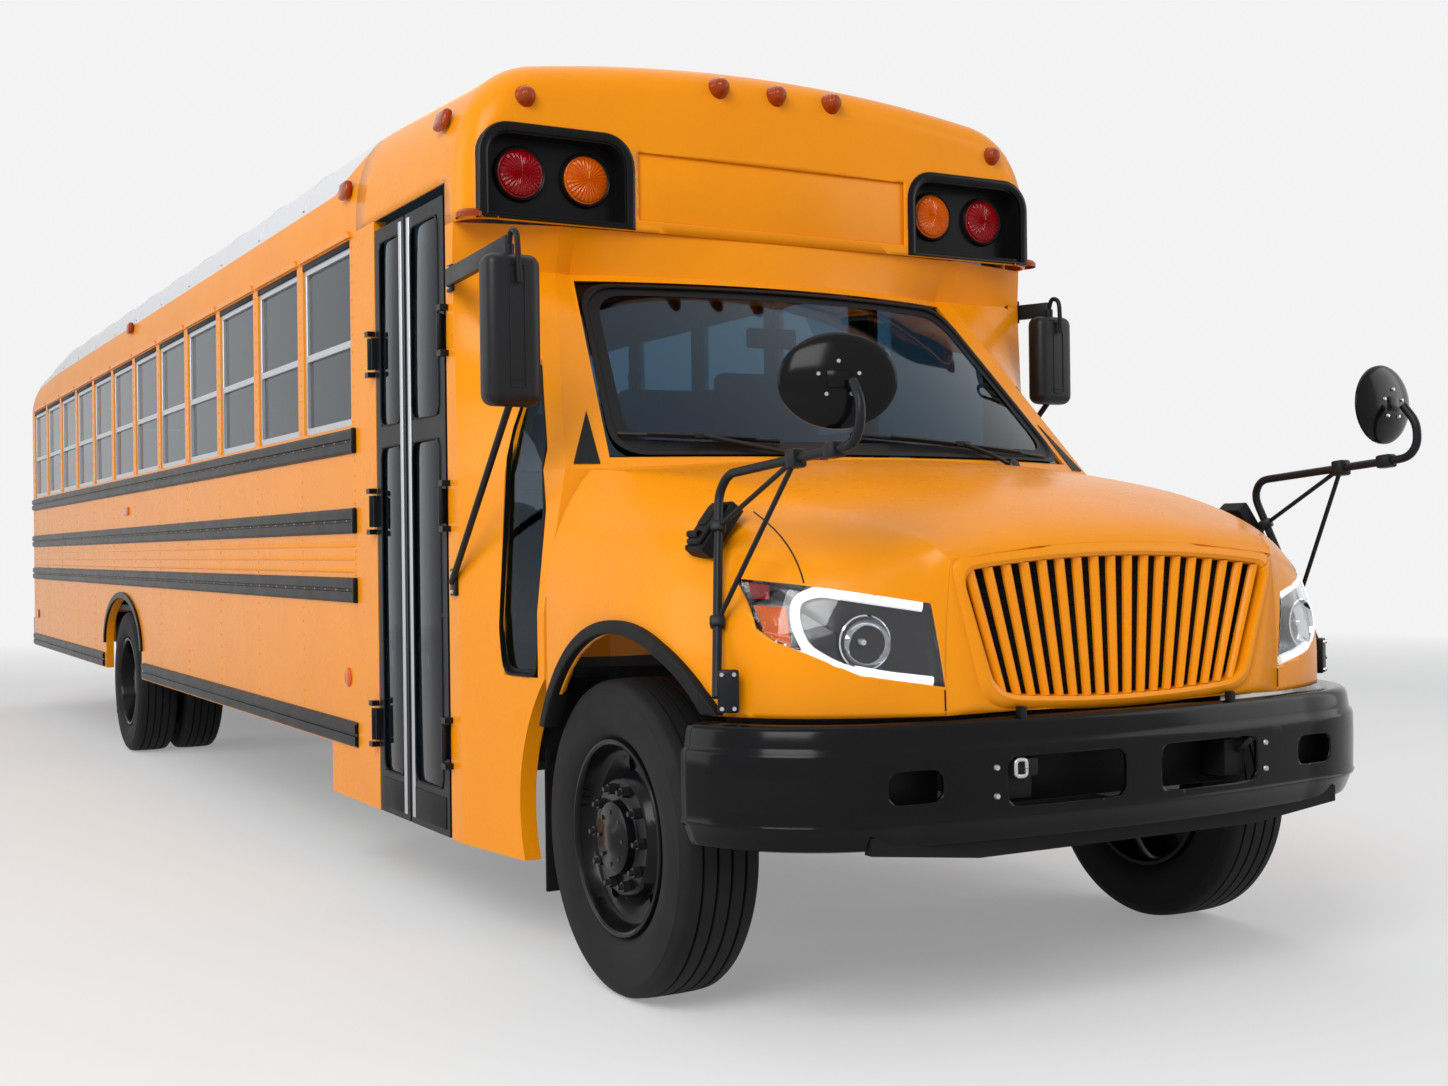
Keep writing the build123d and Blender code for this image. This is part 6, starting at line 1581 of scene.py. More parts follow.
@dataclass(frozen=True)
class FrontGlazing:
    """The windshield's border and wipers, the interior mirror, and the corner windows' rims."""

    low: tuple[float, float, float, float] = (1.550, 0.948, 0.372, 0.122)
    high: tuple[float, float, float, float] = (2.260, 0.790, 1.000, 0.860)
    corner_outline: Pairs = (
        (0.470, 0.895), (0.470, 1.100), (0.500, 1.430), (0.560, 1.620), (0.685, 1.800), (0.775, 1.935),
        (0.735, 1.650), (0.702, 1.000), (0.680, 0.895))
    pillar_foot: tuple[float, float, float] = (1.100, 1.148, 0.432)
    pillar_cowl: tuple[float, float, float] = (1.550, 1.068, 0.432)
    pillar_head: tuple[float, float, float] = (2.260, 0.850, 0.985)
    blades: tuple[tuple[float, float, float, float], ...] = ((-0.881, -0.395, 1.664, 1.638),
                                                             (-0.125, 0.779, 1.665, 1.610))
    pivots: Pair = (-0.30, 0.52)
    wall: float = 1.219
    wall_front: Pair = (0.975, 1.010)
    border_z: Pair = (1.587, 2.230)
    border_steps: Pairs = (
        (0.006, 0.004), (0.008, 0.010), (0.020, 0.010), (0.026, 0.002), (0.028, -0.006), (0.062, -0.007))
    rim_steps: Pairs = (
        (0.0, -0.004), (0.0, 0.004), (0.008, 0.005), (0.011, -0.004), (0.012, -0.014), (0.022, -0.0165))
    foot_panel: Pairs = ((0.16, 1.566), (0.80, 1.566), (0.30, 1.745))

    def on_glass(self, x: float, z: float, layout: Layout, out: float) -> Vector:
        """Gives the windshield's surface at a place seen from the front.

        Args:
            x: The distance to the side.
            z: The height.
            layout: The frame's driving sizes.
            out: How far ahead of the surface the point lies.

        Returns:
            The point.
        """
        share = (z - self.low[0]) / (self.high[0] - self.low[0])
        _, half, edge, bow = (first + (second - first) * share for first, second in zip(self.low, self.high))
        return Vector((x, layout.at(arc_height(bow, edge, half, min(abs(x), half))) - out, z))

    def glass_half(self, z: float) -> float:
        """Gives half the windshield's width at a height."""
        share = (z - self.low[0]) / (self.high[0] - self.low[0])
        return self.low[1] + (self.high[1] - self.low[1]) * share

    def corner_x(self, y: float, z: float) -> float:
        """Gives how far out the body's angled front corner stands, from a station and a height."""
        if z > self.pillar_cowl[0]:
            share = (z - self.pillar_cowl[0]) / (self.pillar_head[0] - self.pillar_cowl[0])
            first, second = self.pillar_cowl, self.pillar_head
        else:
            share = max(z - self.pillar_foot[0], 0.0) / (self.pillar_cowl[0] - self.pillar_foot[0])
            first, second = self.pillar_foot, self.pillar_cowl
        pillar_x = first[1] + (second[1] - first[1]) * share
        pillar_y = first[2] + (second[2] - first[2]) * share
        rise = max(z - self.low[0], 0.0) / (self.high[0] - self.low[0])
        corner_y = self.wall_front[0] + (self.wall_front[1] - self.wall_front[0]) * rise
        return self.wall + (pillar_x - self.wall) * (corner_y - y) / (corner_y - pillar_y)

    def build(self, shop: Workshop) -> None:
        """Makes the borders, the wipers and the mirror.

        Args:
            shop: Places the pieces.
        """
        layout = shop.layout
        border, wipers, mirror, glass, rims = (Form() for _ in range(5))

        def frame(turn: float, inward: float) -> Vector:
            """Gives a point of the rubber and the black border round the windshield."""
            inset, out = self.border_steps[round(inward * (len(self.border_steps) - 1))]
            bottom, top = self.border_z[0] + inset * 0.8, self.border_z[1] - inset * 0.8
            half_low, half_high = (self.glass_half(z) - 0.012 - inset for z in (bottom, top))
            corners = [Vector(spot) for spot in ((half_high, top), (-half_high, top), (-half_low, bottom),
                                                 (half_low, bottom))]
            spot = rounded_loop(turn, straight(corners), (0.07, 0.17, 0.06, 0.17))
            return self.on_glass(spot.x, spot.y, layout, out)

        border.surface(frame, 200, len(self.border_steps) - 1)
        shop.place(border, "windshield_border", GASKET)
        for (start_x, end_x, start_z, end_z), pivot_x in zip(self.blades, self.pivots):
            flat = [Vector((start_x, start_z)).lerp(Vector((end_x, end_z)), step / 12) for step in range(13)]
            line = [self.on_glass(x, z, layout, 0.010) for x, z in flat]
            wipers.tube(line, 0.007, 8)
            wipers.tube([spot + Vector((0, -0.008, 0.004)) for spot in line[2:-2]], 0.005, 8)
            middle = line[6]
            pivot = self.on_glass(pivot_x, 1.565, layout, 0.016)
            elbow = pivot.lerp(middle, 0.4) + Vector((0, -0.018, 0.006))
            wipers.tube(bend([pivot, elbow, middle + Vector((0, -0.012, 0.004))], 0.05), 0.008, 8)
            wipers.spin([(-0.02, 0.022), (0.014, 0.022), (0.020, 0.015), (0.021, 0.0)], pivot, (0, -1, 0.4),
                        20)
            wipers.block(Matrix.Translation(middle + Vector((0, -0.010, 0.004))), (0.060, 0.014, 0.020),
                         0.004)
        shop.place(wipers, "wipers", MOULDING)
        centre = Vector((0.003, layout.at(0.95), 2.065))
        mirror.block(Matrix.Translation(centre), (0.210, 0.026, 0.075), 0.011, 3)
        mirror.tube([centre + Vector((0, 0, 0.05)), centre + Vector((0, 0.05, 0.34))], 0.008, 10)
        glass.block(Matrix.Translation(centre + Vector((0, 0.014, 0))), (0.190, 0.003, 0.056), 0.001)
        shop.place(mirror, "interior_mirror", MOULDING)
        shop.place(glass, "interior_mirror_glass", MIRROR)
        for side in Side:
            flat = [Vector((0.0, y, z)) for y, z in self.corner_outline]
            middle = sum(flat, Vector()) / len(flat)
            loop = bend([*flat, flat[0], flat[1]], 0.05, 4)[7:-1]

            def rim(turn: float, inward: float) -> Vector:
                """Gives a point of a corner window's rubber rim and black border."""
                inset, out = self.rim_steps[round(inward * (len(self.rim_steps) - 1))]
                spot = loop[round(turn * len(loop)) % len(loop)]
                reach = (middle - spot).length
                spot = spot.lerp(middle, inset / reach)
                return Vector((side.value * (self.corner_x(spot.y, spot.z) + out),
                               layout.at(spot.y) - out * 0.3, spot.z))

            rims.surface(rim, len(loop), len(self.rim_steps) - 1)
            panel = []
            for reach, z in self.foot_panel:
                share = (z - self.low[0]) / (self.high[0] - self.low[0])
                near = Vector(self.low[1:3]).lerp(Vector(self.high[1:3]), share)
                far = Vector(self.pillar_cowl[1:]).lerp(Vector(self.pillar_head[1:]), share)
                x, y = near.lerp(far, reach)
                panel.append((side.value * x, layout.at(y) - 0.001, z))
            rims.prism(panel, (side.value * 0.002, -0.003, 0.0))
        shop.place(rims, "corner_window_rims", GASKET)


@dataclass(frozen=True)
class BodySides:
    """Side details: pressed ribs, rivets, drip mouldings, dark strips of painted shadow under the drip
    mouldings, rail ends and flap strips.
    """

    window: float = 0.685
    sill: float = 1.800
    top: float = 2.520
    ribs: tuple[float, ...] = (1.326, 1.273, 1.224)
    rails: Pairs = ((1.688, 1.788), (1.370, 1.471), (1.094, 1.194))
    belt_rivets: tuple[float, ...] = (1.66, 1.60, 1.54, 1.49, 1.352, 1.300, 1.250, 1.207)
    skirt_rivets: tuple[float, ...] = (1.06, 1.0, 0.94, 0.88, 0.82, 0.76, 0.70, 0.65)
    arch_clear: float = 0.72
    rivet: float = 0.0055
    screw_pitch: float = 0.155
    drip: Pairs = (
        (0.010, 2.546), (0.050, 2.574), (WINDOW_PITCH - 0.050, 2.574), (WINDOW_PITCH - 0.010, 2.546))

    def build(self, shop: Workshop) -> None:
        """Makes the fittings on both sides.

        Args:
            shop: Places the pieces.
        """
        layout = shop.layout
        at, half, rear = layout.at, layout.half_width, layout.body_rear_y
        ribs, rivets, drip, drip_shadow_strips, ends = (Form() for _ in range(5))
        for sign in (side.value for side in Side):
            out, skin = (sign, 0, 0), sign * (half - 0.004)
            for height in self.ribs:
                ribs.box((skin - 0.007, at(2.13), height - 0.012),
                         (skin + 0.007, rear - 0.03, height + 0.012), 0.0065, 3)
            for index in range(WINDOWS + 1):
                post = at(WINDOW_START + WINDOW_PITCH * index)
                if index < WINDOWS:
                    middle = post + WINDOW_PITCH / 2
                    drip.prism([(sign * half, post + y, z) for y, z in self.drip], (sign * 0.013, 0.0, 0.0))
                    # Painted shadow: a thin dark strip in the black rubber finish above each window, where
                    # the drip moulding shades the wall.
                    drip_shadow_strips.box((skin - 0.005, middle - self.window / 2, self.top - 0.006),
                                (skin + 0.005, middle + self.window / 2, 2.540), 0.002)
                reach = {0: 0.020, WINDOWS: -0.020}.get(index, 0.0)
                rows = [(reach, self.sill + 0.015 + (self.top - self.sill - 0.03) * step / 10)
                        for step in range(11)]
                rows += [(reach * 0.6, height) for height in self.belt_rivets]
                if at(2.15) <= post + reach and abs(post - layout.rear_axle_y) > self.arch_clear:
                    rows += [(reach * 0.6, height) for height in self.skirt_rivets]
                for along, height in rows:
                    rivets.button((sign * half, post + along, height), out, self.rivet, 0.003)
            rail = sign * (half + 0.009)
            for low, high in self.rails:
                ends.box((rail - 0.010, at(2.106), low - 0.001), (rail + 0.010, at(2.134), high + 0.001),
                         0.008, 3)
                for step in range(int((rear - at(2.2)) / self.screw_pitch)):
                    place = (sign * (half + 0.0155), at(2.2) + self.screw_pitch * step, (low + high) / 2)
                    rivets.button(place, out, 0.004, 0.001, 6)
            ends.box((sign * 0.8725 - 0.20, at(0.565), 0.62), (sign * 0.8725 + 0.20, at(0.574), 0.66), 0.002)
            for step in range(4):
                ends.button((sign * (0.89 + 0.055 * step), at(0.574), 0.84), (0, -1, 0), 0.010, 0.008, 6, 0.9)
        shop.place(ribs, "side_ribs", PAINT)
        shop.place(rivets, "side_rivets", PAINT, smooth=False)
        shop.place(drip, "drip_rails", PAINT)
        # The dark strips above the windows are painted shadow under the drip mouldings.
        shop.place(drip_shadow_strips, "window_headers", GASKET)
        shop.place(ends, "rail_ends", TRIM)
        self.make_rear(shop)

    def make_rear(self, shop: Workshop) -> None:
        """Makes the rims of the rear windows and the emergency door's rim, handle and lock."""
        rear = shop.layout.body_rear_y
        rims, door = Form(), Form()
        panes = ((rims, -1.040, -0.470, 2.380, 0.06), (rims, 0.470, 1.040, 2.380, 0.06),
                 (door, -0.250, 0.250, 2.330, 0.05))
        for form, low_x, high_x, top, corner in panes:
            loop = ((low_x, 2.1), (low_x, top), (high_x, top), (high_x, 1.800), (low_x, 1.800), (low_x, 2.09))
            form.tube(bend([(x, rear, z) for x, z in loop], corner, 5), 0.008, 8)
        grip = [(0.255, rear + y, z) for y, z in ((0.0, 1.50), (0.045, 1.50), (0.045, 1.66), (0.0, 1.66))]
        door.tube(bend(grip, 0.02, 4), 0.009, 10)
        door.block(Matrix.Translation((0.255, rear + 0.004, 1.42)), (0.050, 0.016, 0.090), 0.006)
        shop.place(rims, "rear_window_rims", GASKET)
        shop.place(door, "emergency_door_fittings", GASKET, Body.EXIT)


@dataclass(frozen=True)
class EntranceDoor:
    """The two leaves' bright edge strips, flush panes, pane gaskets and kick panels."""

    leaves: tuple[tuple[Body, float, float, float], ...] = (
        (Body.DOOR_FRONT, 1.095, 1.492, 1.455), (Body.DOOR_REAR, 1.508, 1.845, 1.545))
    stile: float = 0.055
    panes: Pairs = ((0.470, 1.690), (1.770, 2.465))

    def build(self, shop: Workshop) -> None:
        """Makes the fittings of both leaves.

        Args:
            shop: Places the pieces.
        """
        at, face = shop.layout.at, -shop.layout.half_width
        for body, low, high, strip in self.leaves:
            bright, dark, panes = Form(), Form(), Form()
            bright.box((face - 0.005, at(strip) - 0.014, 0.335), (face + 0.002, at(strip) + 0.014, 2.505),
                       0.003)
            first, last = at(low + self.stile), at(high - self.stile)
            for low_z, high_z in self.panes:
                panes.box((face + 0.003, first - 0.002, low_z - 0.002),
                          (face + 0.007, last + 0.002, high_z + 0.002), 0.001)
                middle = (low_z + high_z) / 2
                loop = ((first, middle), (first, high_z), (last, high_z), (last, low_z), (first, low_z),
                        (first, middle - 0.01))
                dark.tube(bend([(face, y, z) for y, z in loop], 0.05, 4), 0.004, 8)
            dark.box((face - 0.003, at(low + 0.03), 0.335), (face + 0.002, at(high - 0.045), 0.445), 0.002)
            leaf = body.value
            shop.place(bright, f"{leaf}_strip", SASH, body)
            shop.place(dark, f"{leaf}_gaskets", GASKET, body)
            shop.place(panes, f"{leaf}_panes", GLASS, body, replaces=(leaf.replace("door_", "door_glass_"),))


@dataclass(frozen=True)
class RearViewMirrors:
    """The two side mirrors: rounded housings with glasses, box arms with hooks, and struts on brackets."""

    rows: tuple[tuple[int, float, float, float, float, float, float, float], ...] = (
        (-1, 0.330, 1.730, 2.190, 0.180, 1.010, 2.220, 1.190),
        (1, 0.900, 1.860, 2.215, 0.175, 1.035, 2.245, 1.700))
    reach: float = 1.380
    depth: float = 0.095

    def build(self, shop: Workshop) -> None:
        """Makes both mirrors.

        Args:
            shop: Places the pieces.
        """
        housings, arms, glass, bolts = Form(), Form(), Form(), Form()
        at, half = shop.layout.at, shop.layout.half_width
        for sign, y, low, high, wide, root_y, root_z, foot_z in self.rows:
            middle = Vector((sign * (self.reach - wide / 2), at(y), (low + high) / 2))
            tall = high - low
            housings.block(Matrix.Translation(middle), (wide, self.depth, tall), 0.036, 5)
            front = middle + Vector((0, -self.depth / 2, 0))
            for across in (-0.018, 0.030):
                housings.block(Matrix.Translation(front + Vector((across, 0, 0.02 * tall))),
                               (0.004, 0.005, 0.80 * tall), 0.0015)
            for lift in (-0.38, -0.33, 0.42):
                housings.block(Matrix.Translation(front + Vector((0.006, 0, lift * tall))),
                               (0.048, 0.005, 0.004), 0.0015)
            face = middle.y + self.depth / 2
            split = low + tall * 0.36
            for bottom, top in ((low + 0.034, split - 0.006), (split + 0.006, high - 0.034)):
                glass.box((middle.x - wide / 2 + 0.032, face - 0.003, bottom),
                          (middle.x + wide / 2 - 0.032, face + 0.003, top), 0.003)
            root = Vector((sign * (half + 0.014), at(root_y), root_z))
            end = Vector((middle.x, middle.y, root_z))
            run = end - root
            arms.block(basis((root + end) / 2, run), (0.024, 0.060, run.length), 0.004)
            arms.tube(bend([end, end + Vector((0, -0.016, 0.045)), end + Vector((0, -0.062, 0.030)),
                            front + Vector((0.008, -0.014, tall * 0.30))], 0.03, 4), 0.009, 12)
            foot = Vector((sign * (half + 0.014), at(root_y), foot_z))
            arms.tube([foot, middle + Vector((0, 0, 0.02 - tall / 2))], 0.0115, 14)
            arms.tube([Vector((middle.x, middle.y, high - 0.02)), end], 0.016, 14)
            for spot in (root, foot):
                plate = Vector((sign * (half + 0.006), spot.y, spot.z))
                arms.block(Matrix.Translation(plate), (0.014, 0.050, 0.092), 0.004)
                for lift in (-0.032, 0.032):
                    bolts.button(plate + Vector((sign * 0.007, 0, lift)), (sign, 0, 0), 0.008, 0.006, 8, 0.8)
        shop.place(housings, "side_mirror_housings", MOULDING, replaces=("rear_view_mirrors",))
        shop.place(arms, "side_mirror_arms", ARM)
        shop.place(glass, "side_mirror_glasses", MIRROR)
        shop.place(bolts, "side_mirror_bolts", BOLT)


@dataclass(frozen=True)
class FrontBumper:
    """The front bumper's bowed skin with creases and slots, its brackets, bolts, tow eyes and valance."""

    front_y: float = -0.992
    corner: Pair = (0.710, -0.935)
    corner_radius: float = 0.490
    end_y: float = -0.545
    rows: Pairs = (
        (0.524, 0.090), (0.522, 0.044), (0.526, 0.032), (0.540, 0.024), (0.576, 0.010), (0.584, 0.002),
        (0.590, 0.0), (0.598, 0.003), (0.640, 0.002), (0.700, 0.001), (0.766, 0.002), (0.774, 0.005),
        (0.782, 0.012), (0.790, 0.014), (0.824, 0.018), (0.836, 0.024), (0.843, 0.034), (0.845, 0.048),
        (0.842, 0.090), (0.838, 0.170))
    slots: tuple[tuple[float, float, float, float], ...] = ((0.062, 0.452, 0.615, 0.745),
                                                            (0.640, 0.800, 0.640, 0.725))
    slot_round: float = 0.034
    sheet: float = 0.014
    bolts: Pair = (0.719, 0.645)
    bolt_x: float = 0.486
    brackets: tuple[tuple[Pair, Pair, Pair, float], ...] = (
        ((0.350, 0.430), (-0.939, -0.850), (0.630, 0.735), 0.004),
        ((0.368, 0.390), (-0.947, -0.923), (0.735, 0.870), 0.004),
        ((0.60, 0.85), (-0.862, -0.856), (0.600, 0.770), 0.002))
    valance: Pairs = (
        (-0.84, 0.560), (0.84, 0.560), (0.84, 0.515), (0.50, 0.478), (-0.50, 0.478), (-0.84, 0.515))
    tow_eye: Pairs = (
        (-0.395, 0.712), (-0.395, 0.735), (-0.430, 0.735), (-0.430, 0.692), (-0.395, 0.692), (-0.395, 0.711))
    tow_hook: tuple[Point, ...] = (
        (0.400, -0.935, 0.700), (0.400, -0.966, 0.716), (0.425, -0.966, 0.735), (0.430, -0.935, 0.735))

    def plan(self, share: float, inset: float) -> Pair:
        """Gives a point of the plan outline, from -1 at the right end over the middle to 1."""
        part, sign = abs(share), math.copysign(1.0, share)
        corner_x, corner_y = self.corner
        if part < 0.55:
            x = corner_x * part / 0.55
            return sign * x, arc_height(self.front_y + inset, corner_y + inset, corner_x, x)
        radius = self.corner_radius - inset
        middle_y = corner_y + self.corner_radius
        last = math.asin((middle_y - self.end_y) / radius)
        turn = math.pi / 2 + (last - math.pi / 2) * (part - 0.55) / 0.45
        return sign * (corner_x + radius * math.cos(turn)), middle_y - radius * math.sin(turn)

    def build(self, shop: Workshop) -> None:
        """Makes the bumper and what is bolted to it.

        Args:
            shop: Places the pieces.
        """
        at, spot = shop.layout.at, shop.spot
        form, bright, steel, valance = Form(), Form(), Form(), Form()

        def skin(across: float, up: float) -> Vector:
            """Gives a point of the bumper's skin."""
            z, inset = self.rows[round(up * (len(self.rows) - 1))]
            x, y = self.plan(across * 2 - 1, inset)
            return Vector((x, at(y), z))

        form.surface(skin, 120, len(self.rows) - 1)
        for sign in (side.value for side in Side):
            for inner, outer, low, high in self.slots:
                corners = [Vector((sign * x, z))
                           for x, z in ((inner, high), (outer, high), (outer, low), (inner, low))]
                reach = (self.slot_round / (outer - inner), self.slot_round / (high - low)) * 2
                loop = [rounded_loop(step / 40, straight(corners), reach)
                        for step in range(40) if 8 > step % 10 > 1 or step % 2]
                form.cut_out([(point.x, at(self.front_y), point.y) for point in loop], (0, 1, 0),
                             lambda place: inner - 0.06 < sign * place.x < outer + 0.06
                             and 0.595 < place.z < 0.768)
            for height in self.bolts:
                bright.button(spot(sign * self.bolt_x, -0.9625, height), (sign * 0.08, -1, 0), 0.0095, 0.007,
                              14, 0.7)
            for (near_x, far_x), (front, back), (low, high), corner in self.brackets:
                steel.box(spot(sign * near_x, front, low), spot(sign * far_x, back, high), corner)
        steel.box(spot(-0.46, -0.842, 0.600), spot(0.46, -0.836, 0.790), 0.002)
        valance.prism([spot(x, -0.905, z) for x, z in self.valance], (0.0, 0.030, 0.0))
        bright.tube(bend([spot(x, -0.972, z) for x, z in self.tow_eye], 0.012, 4), 0.0055, 10)
        steel.box(spot(-0.432, -0.970, 0.690), spot(-0.352, -0.930, 0.738), 0.005)
        steel.tube(bend([spot(*point) for point in self.tow_hook], 0.02, 4), 0.008, 10)
        shop.place_sheet(form, "front_bumper_skin", BUMPER, self.sheet, (0, -1, 0),
                         replaces=("front_bumper",))
        shop.place(bright, "bumper_bolts", BOLT)
        shop.place(steel, "bumper_brackets", FRAME)
        shop.place(valance, "bumper_valance", FRAME)


@dataclass(frozen=True)
class Seating:
    """Padded benches on legs, and the driver's seat."""

    inner_x: float = 0.205
    outer_x: float = 1.149
    lead: float = 0.190
    depth: float = 0.400
    driver_cushion: tuple[Point, Point] = ((0.270, 1.430, 1.280), (0.790, 1.900, 1.400))
    driver_back: tuple[Point, Point] = ((0.275, 1.815, 1.380), (0.785, 1.908, 2.040))
    driver_foot: tuple[Point, Point] = ((0.400, 1.530, 0.960), (0.660, 1.790, 1.290))
    floor_z: float = 0.960
    seat_top: float = 1.410
    pad: float = 0.145
    back_top: float = 2.040
    back_thick: float = 0.090

    def build(self, shop: Workshop) -> None:
        """Makes the pads and the legs.

        Args:
            shop: Places the pieces.
        """
        pads, legs = Form(), Form()
        at = shop.layout.at
        for side in Side:
            low_x, high_x = sorted((side.value * self.inner_x, side.value * self.outer_x))
            for index in range(WINDOWS):
                front = at(WINDOW_START + (index + 0.5) * WINDOW_PITCH - self.lead)
                self.bench(pads, low_x, high_x, front)
                for x in (low_x + 0.17, high_x - 0.20):
                    for y in (front + 0.08, front + 0.26):
                        legs.box((x, y, self.floor_z), (x + 0.04, y + 0.04, self.seat_top - self.pad), 0.008)
                    legs.box((x - 0.02, front + 0.05, self.floor_z),
                             (x + 0.06, front + 0.33, self.floor_z + 0.008), 0.002)
        for form, first, last, corner, steps in (
                (pads, *self.driver_cushion, 0.045, 4), (pads, *self.driver_back, 0.040, 4),
                (legs, *self.driver_foot, 0.020, 3)):
            form.box(shop.spot(*first), shop.spot(*last), corner, steps)
        cushions = shop.place(pads, "seat_pads", VINYL, replaces=("seats",))
        shop.place(legs, "seat_legs", FRAME)

    def bench(self, form: Form, low_x: float, high_x: float, front: float) -> None:
        """Adds one bench's cushion and high back."""
        form.box((low_x, front, self.seat_top - self.pad), (high_x, front + self.depth - 0.02, self.seat_top),
                 0.038, 3)
        form.box((low_x + 0.01, front + self.depth - self.back_thick, self.seat_top - 0.05),
                 (high_x - 0.01, front + self.depth, self.back_top), 0.036, 3)


@dataclass(frozen=True)
class StopSign:
    """The stop arm's white border and its two lamps, with no lettering."""

    centre: Pair = (1.650, 1.440)
    radius: float = 0.225
    stand: float = 0.034

    def build(self, shop: Workshop) -> None:
        """Makes the border and lamps on the outer face.

        Args:
            shop: Places the pieces.
        """
        border, lamps = Form(), Form()
        centre = shop.spot(shop.layout.half_width + self.stand, *self.centre)
        reach = self.radius / math.cos(math.pi / 8)
        for index in range(8):
            first, second = (math.radians(45 * step + 22.5) for step in (index, index + 1))
            outline = [centre + Vector((0, math.cos(turn) * scale * reach, math.sin(turn) * scale * reach))
                       for turn, scale in ((first, 0.985), (second, 0.985), (second, 0.90), (first, 0.90))]
            border.prism(outline, (0.0015, 0, 0))
        for lift in (-0.150, 0.150):
            lamps.spin([(0.0, 0.040), (0.008, 0.040), (0.014, 0.030), (0.016, 0.0)],
                       centre + Vector((0, 0, lift)), (1, 0, 0), 28)
        shop.place(border, "stop_arm_border", WHITE, Body.STOP, smooth=False)
        shop.place(lamps, "stop_arm_lamps", RED, Body.STOP)


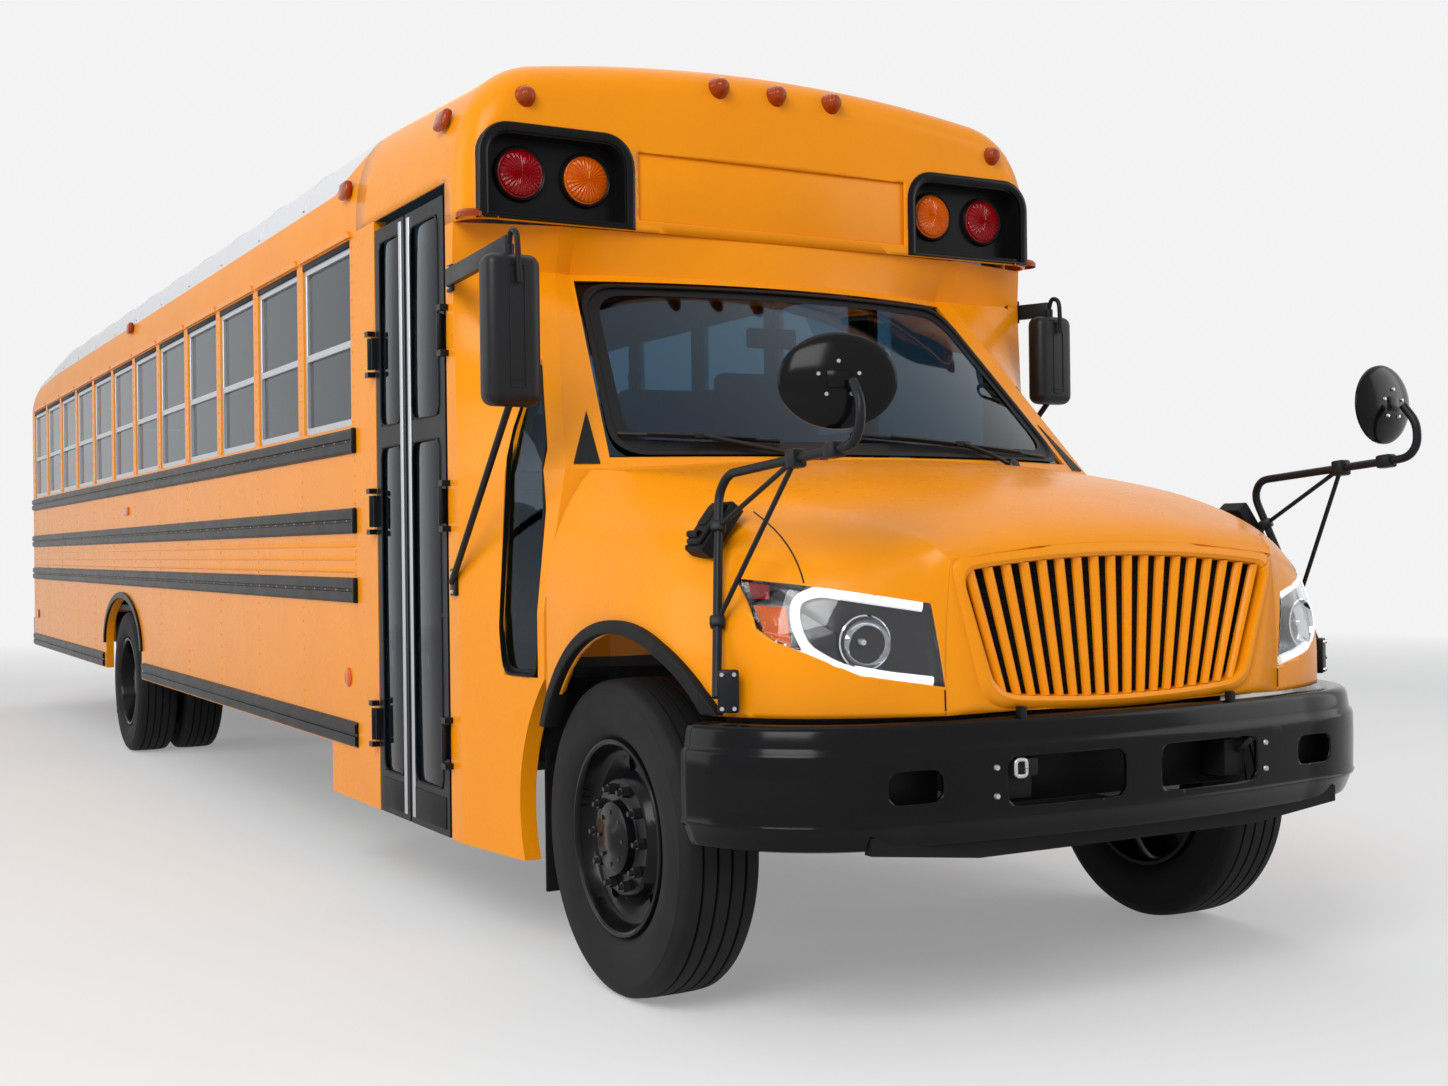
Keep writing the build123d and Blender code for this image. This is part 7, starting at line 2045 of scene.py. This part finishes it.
@dataclass(frozen=True)
class Studio:
    """The floor, the lamps and the camera, which stands where the photograph was taken from."""

    camera_place: Point = (-3.242, -4.431, 1.299)
    yaw: float = 0.5134
    pitch: float = 0.0022
    roll: float = -0.0125
    focal_px: float = 1691.7
    photo_width_px: float = 1448.0
    sensor_mm: float = 36.0
    floor_tone: float = 0.82
    backdrop_tone: float = 0.90
    fade: tuple[float, float, float] = (9.0, 17.0, 0.30)
    sky_strength: float = 0.36
    lamps: tuple[tuple[str, Point, Point, float, float], ...] = (
        ("key", (-9.0, -12.0, 9.0), (0.0, -3.0, 1.2), 7.0, 1250.0),
        ("fill", (9.0, -9.0, 5.0), (0.0, -3.0, 1.2), 7.0, 260.0),
        ("side", (-14.0, 2.0, 6.0), (0.0, 1.0, 1.2), 9.0, 520.0),
        ("top", (0.0, 0.0, 13.0), (0.0, 0.0, 0.0), 14.0, 420.0),
        ("rear", (8.0, 14.0, 8.0), (0.0, 2.0, 1.5), 9.0, 400.0))

    def build(self, layout: Layout) -> None:
        """Makes the floor, the lamps, the world and the camera.

        Args:
            layout: The frame's driving sizes.
        """
        self.make_floor()
        self.make_world()
        self.make_lamps()
        self.make_camera(layout)

    def make_floor(self) -> None:
        """Lays a wide pale floor at the road's level, which fades to the backdrop's tone far away."""
        mesh = bmesh.new()
        bmesh.ops.create_grid(mesh, x_segments=2, y_segments=2, size=120.0)
        floor = finish_object(mesh, "studio_floor")
        shader, tone = Shader("studio_floor_tone"), self.floor_tone
        near, far, least = self.fade
        shader.fill(shader.shader, {
            "Base Color": shader.ramp(shader.noise(0.6), 0.3, 0.7, (tone, tone, tone * 0.99),
                                      (tone * 1.02, tone * 1.02, tone * 1.01)),
            "Roughness": 0.85, "Specular IOR Level": 0.1})
        reach = shader.add("VectorMath", {0: shader.place}, operation="LENGTH").outputs["Value"]
        fade = shader.add("MapRange", {"Value": reach, "From Min": near, "From Max": far, "To Min": least})
        pale = shader.add("Emission", {"Color": (self.backdrop_tone,) * 3})
        amount = shader.math("MULTIPLY", shader.direct(), fade.outputs["Result"])
        mix = shader.add("MixShader", {"Fac": amount, 1: shader.shader.outputs["BSDF"],
                                       2: pale.outputs["Emission"]})
        shader.fill(shader.output, {"Surface": mix.outputs["Shader"]})
        floor.data.materials.append(shader.material)

    def make_world(self) -> None:
        """Fills the world with a soft sky that reflections and the camera see as pale."""
        world = bpy.context.scene.world = bpy.data.worlds.new("studio_world")
        tree = NodeTree(world)
        light = tree.add("Background", {"Color": (0.92, 0.95, 1.0), "Strength": self.sky_strength})
        seen = tree.add("Background", {"Color": (self.backdrop_tone,) * 3})
        mix = tree.add("MixShader", {"Fac": tree.direct(), 1: light.outputs["Background"],
                                     2: seen.outputs["Background"]})
        tree.add("OutputWorld", {"Surface": mix.outputs["Shader"]})

    def make_lamps(self) -> None:
        """Hangs a key lamp to the front right, a fill to the left, and others beside, above and behind."""
        for name, place, target, size, power in self.lamps:
            data = bpy.data.lights.new(name, "AREA")
            data.energy, data.size = power, size
            lamp = bpy.data.objects.new(name, data)
            lamp.location = place
            lamp.rotation_euler = (Vector(target) - Vector(place)).to_track_quat("-Z", "Y").to_euler()
            bpy.context.scene.collection.objects.link(lamp)

    def make_camera(self, layout: Layout) -> None:
        """Sets the camera at the photograph's place and angle.

        Args:
            layout: The frame's driving sizes, for the shift from the front axle.
        """
        data = bpy.data.cameras.new("photo_camera")
        data.sensor_width = self.sensor_mm
        data.lens = self.focal_px * self.sensor_mm / self.photo_width_px
        data.clip_end = 400.0
        camera = bpy.data.objects.new("photo_camera", data)
        forward = Vector((math.sin(self.yaw) * math.cos(self.pitch),
                          math.cos(self.yaw) * math.cos(self.pitch), math.sin(self.pitch)))
        level = Vector((math.cos(self.yaw), -math.sin(self.yaw), 0.0))
        lift = level.cross(forward)
        right = math.cos(self.roll) * level + math.sin(self.roll) * lift
        up = -math.sin(self.roll) * level + math.cos(self.roll) * lift
        turn = Matrix((right, up, -forward)).transposed().to_4x4()
        place = Vector(self.camera_place) + Vector((0, layout.front_axle_y, 0))
        camera.matrix_world = Matrix.Translation(place) @ turn
        bpy.context.scene.collection.objects.link(camera)
        bpy.context.scene.camera = camera


def main() -> None:
    """Loads the frame, dresses it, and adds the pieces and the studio."""
    logging.basicConfig(level=logging.INFO, format="%(message)s")
    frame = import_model()
    bpy.context.scene.view_settings.view_transform = "Standard"
    layout = Layout.from_frame()
    dress_nodes(frame["nodes"])
    shop = Workshop(layout)
    hood = HoodSkin(layout)
    builders = (
        hood, Grille(hood), Headlamps(hood), HoodFittings(hood), CrossViewMirrors(), Wheels(),
        RoofShell(layout.half_width), Lamps(), FrontGlazing(), BodySides(), EntranceDoor(), RearViewMirrors(),
        FrontBumper(), Seating(), StopSign(),
    )
    for builder in builders:
        builder.build(shop)
    Studio().build(layout)


if __name__ == "__main__":
    main()
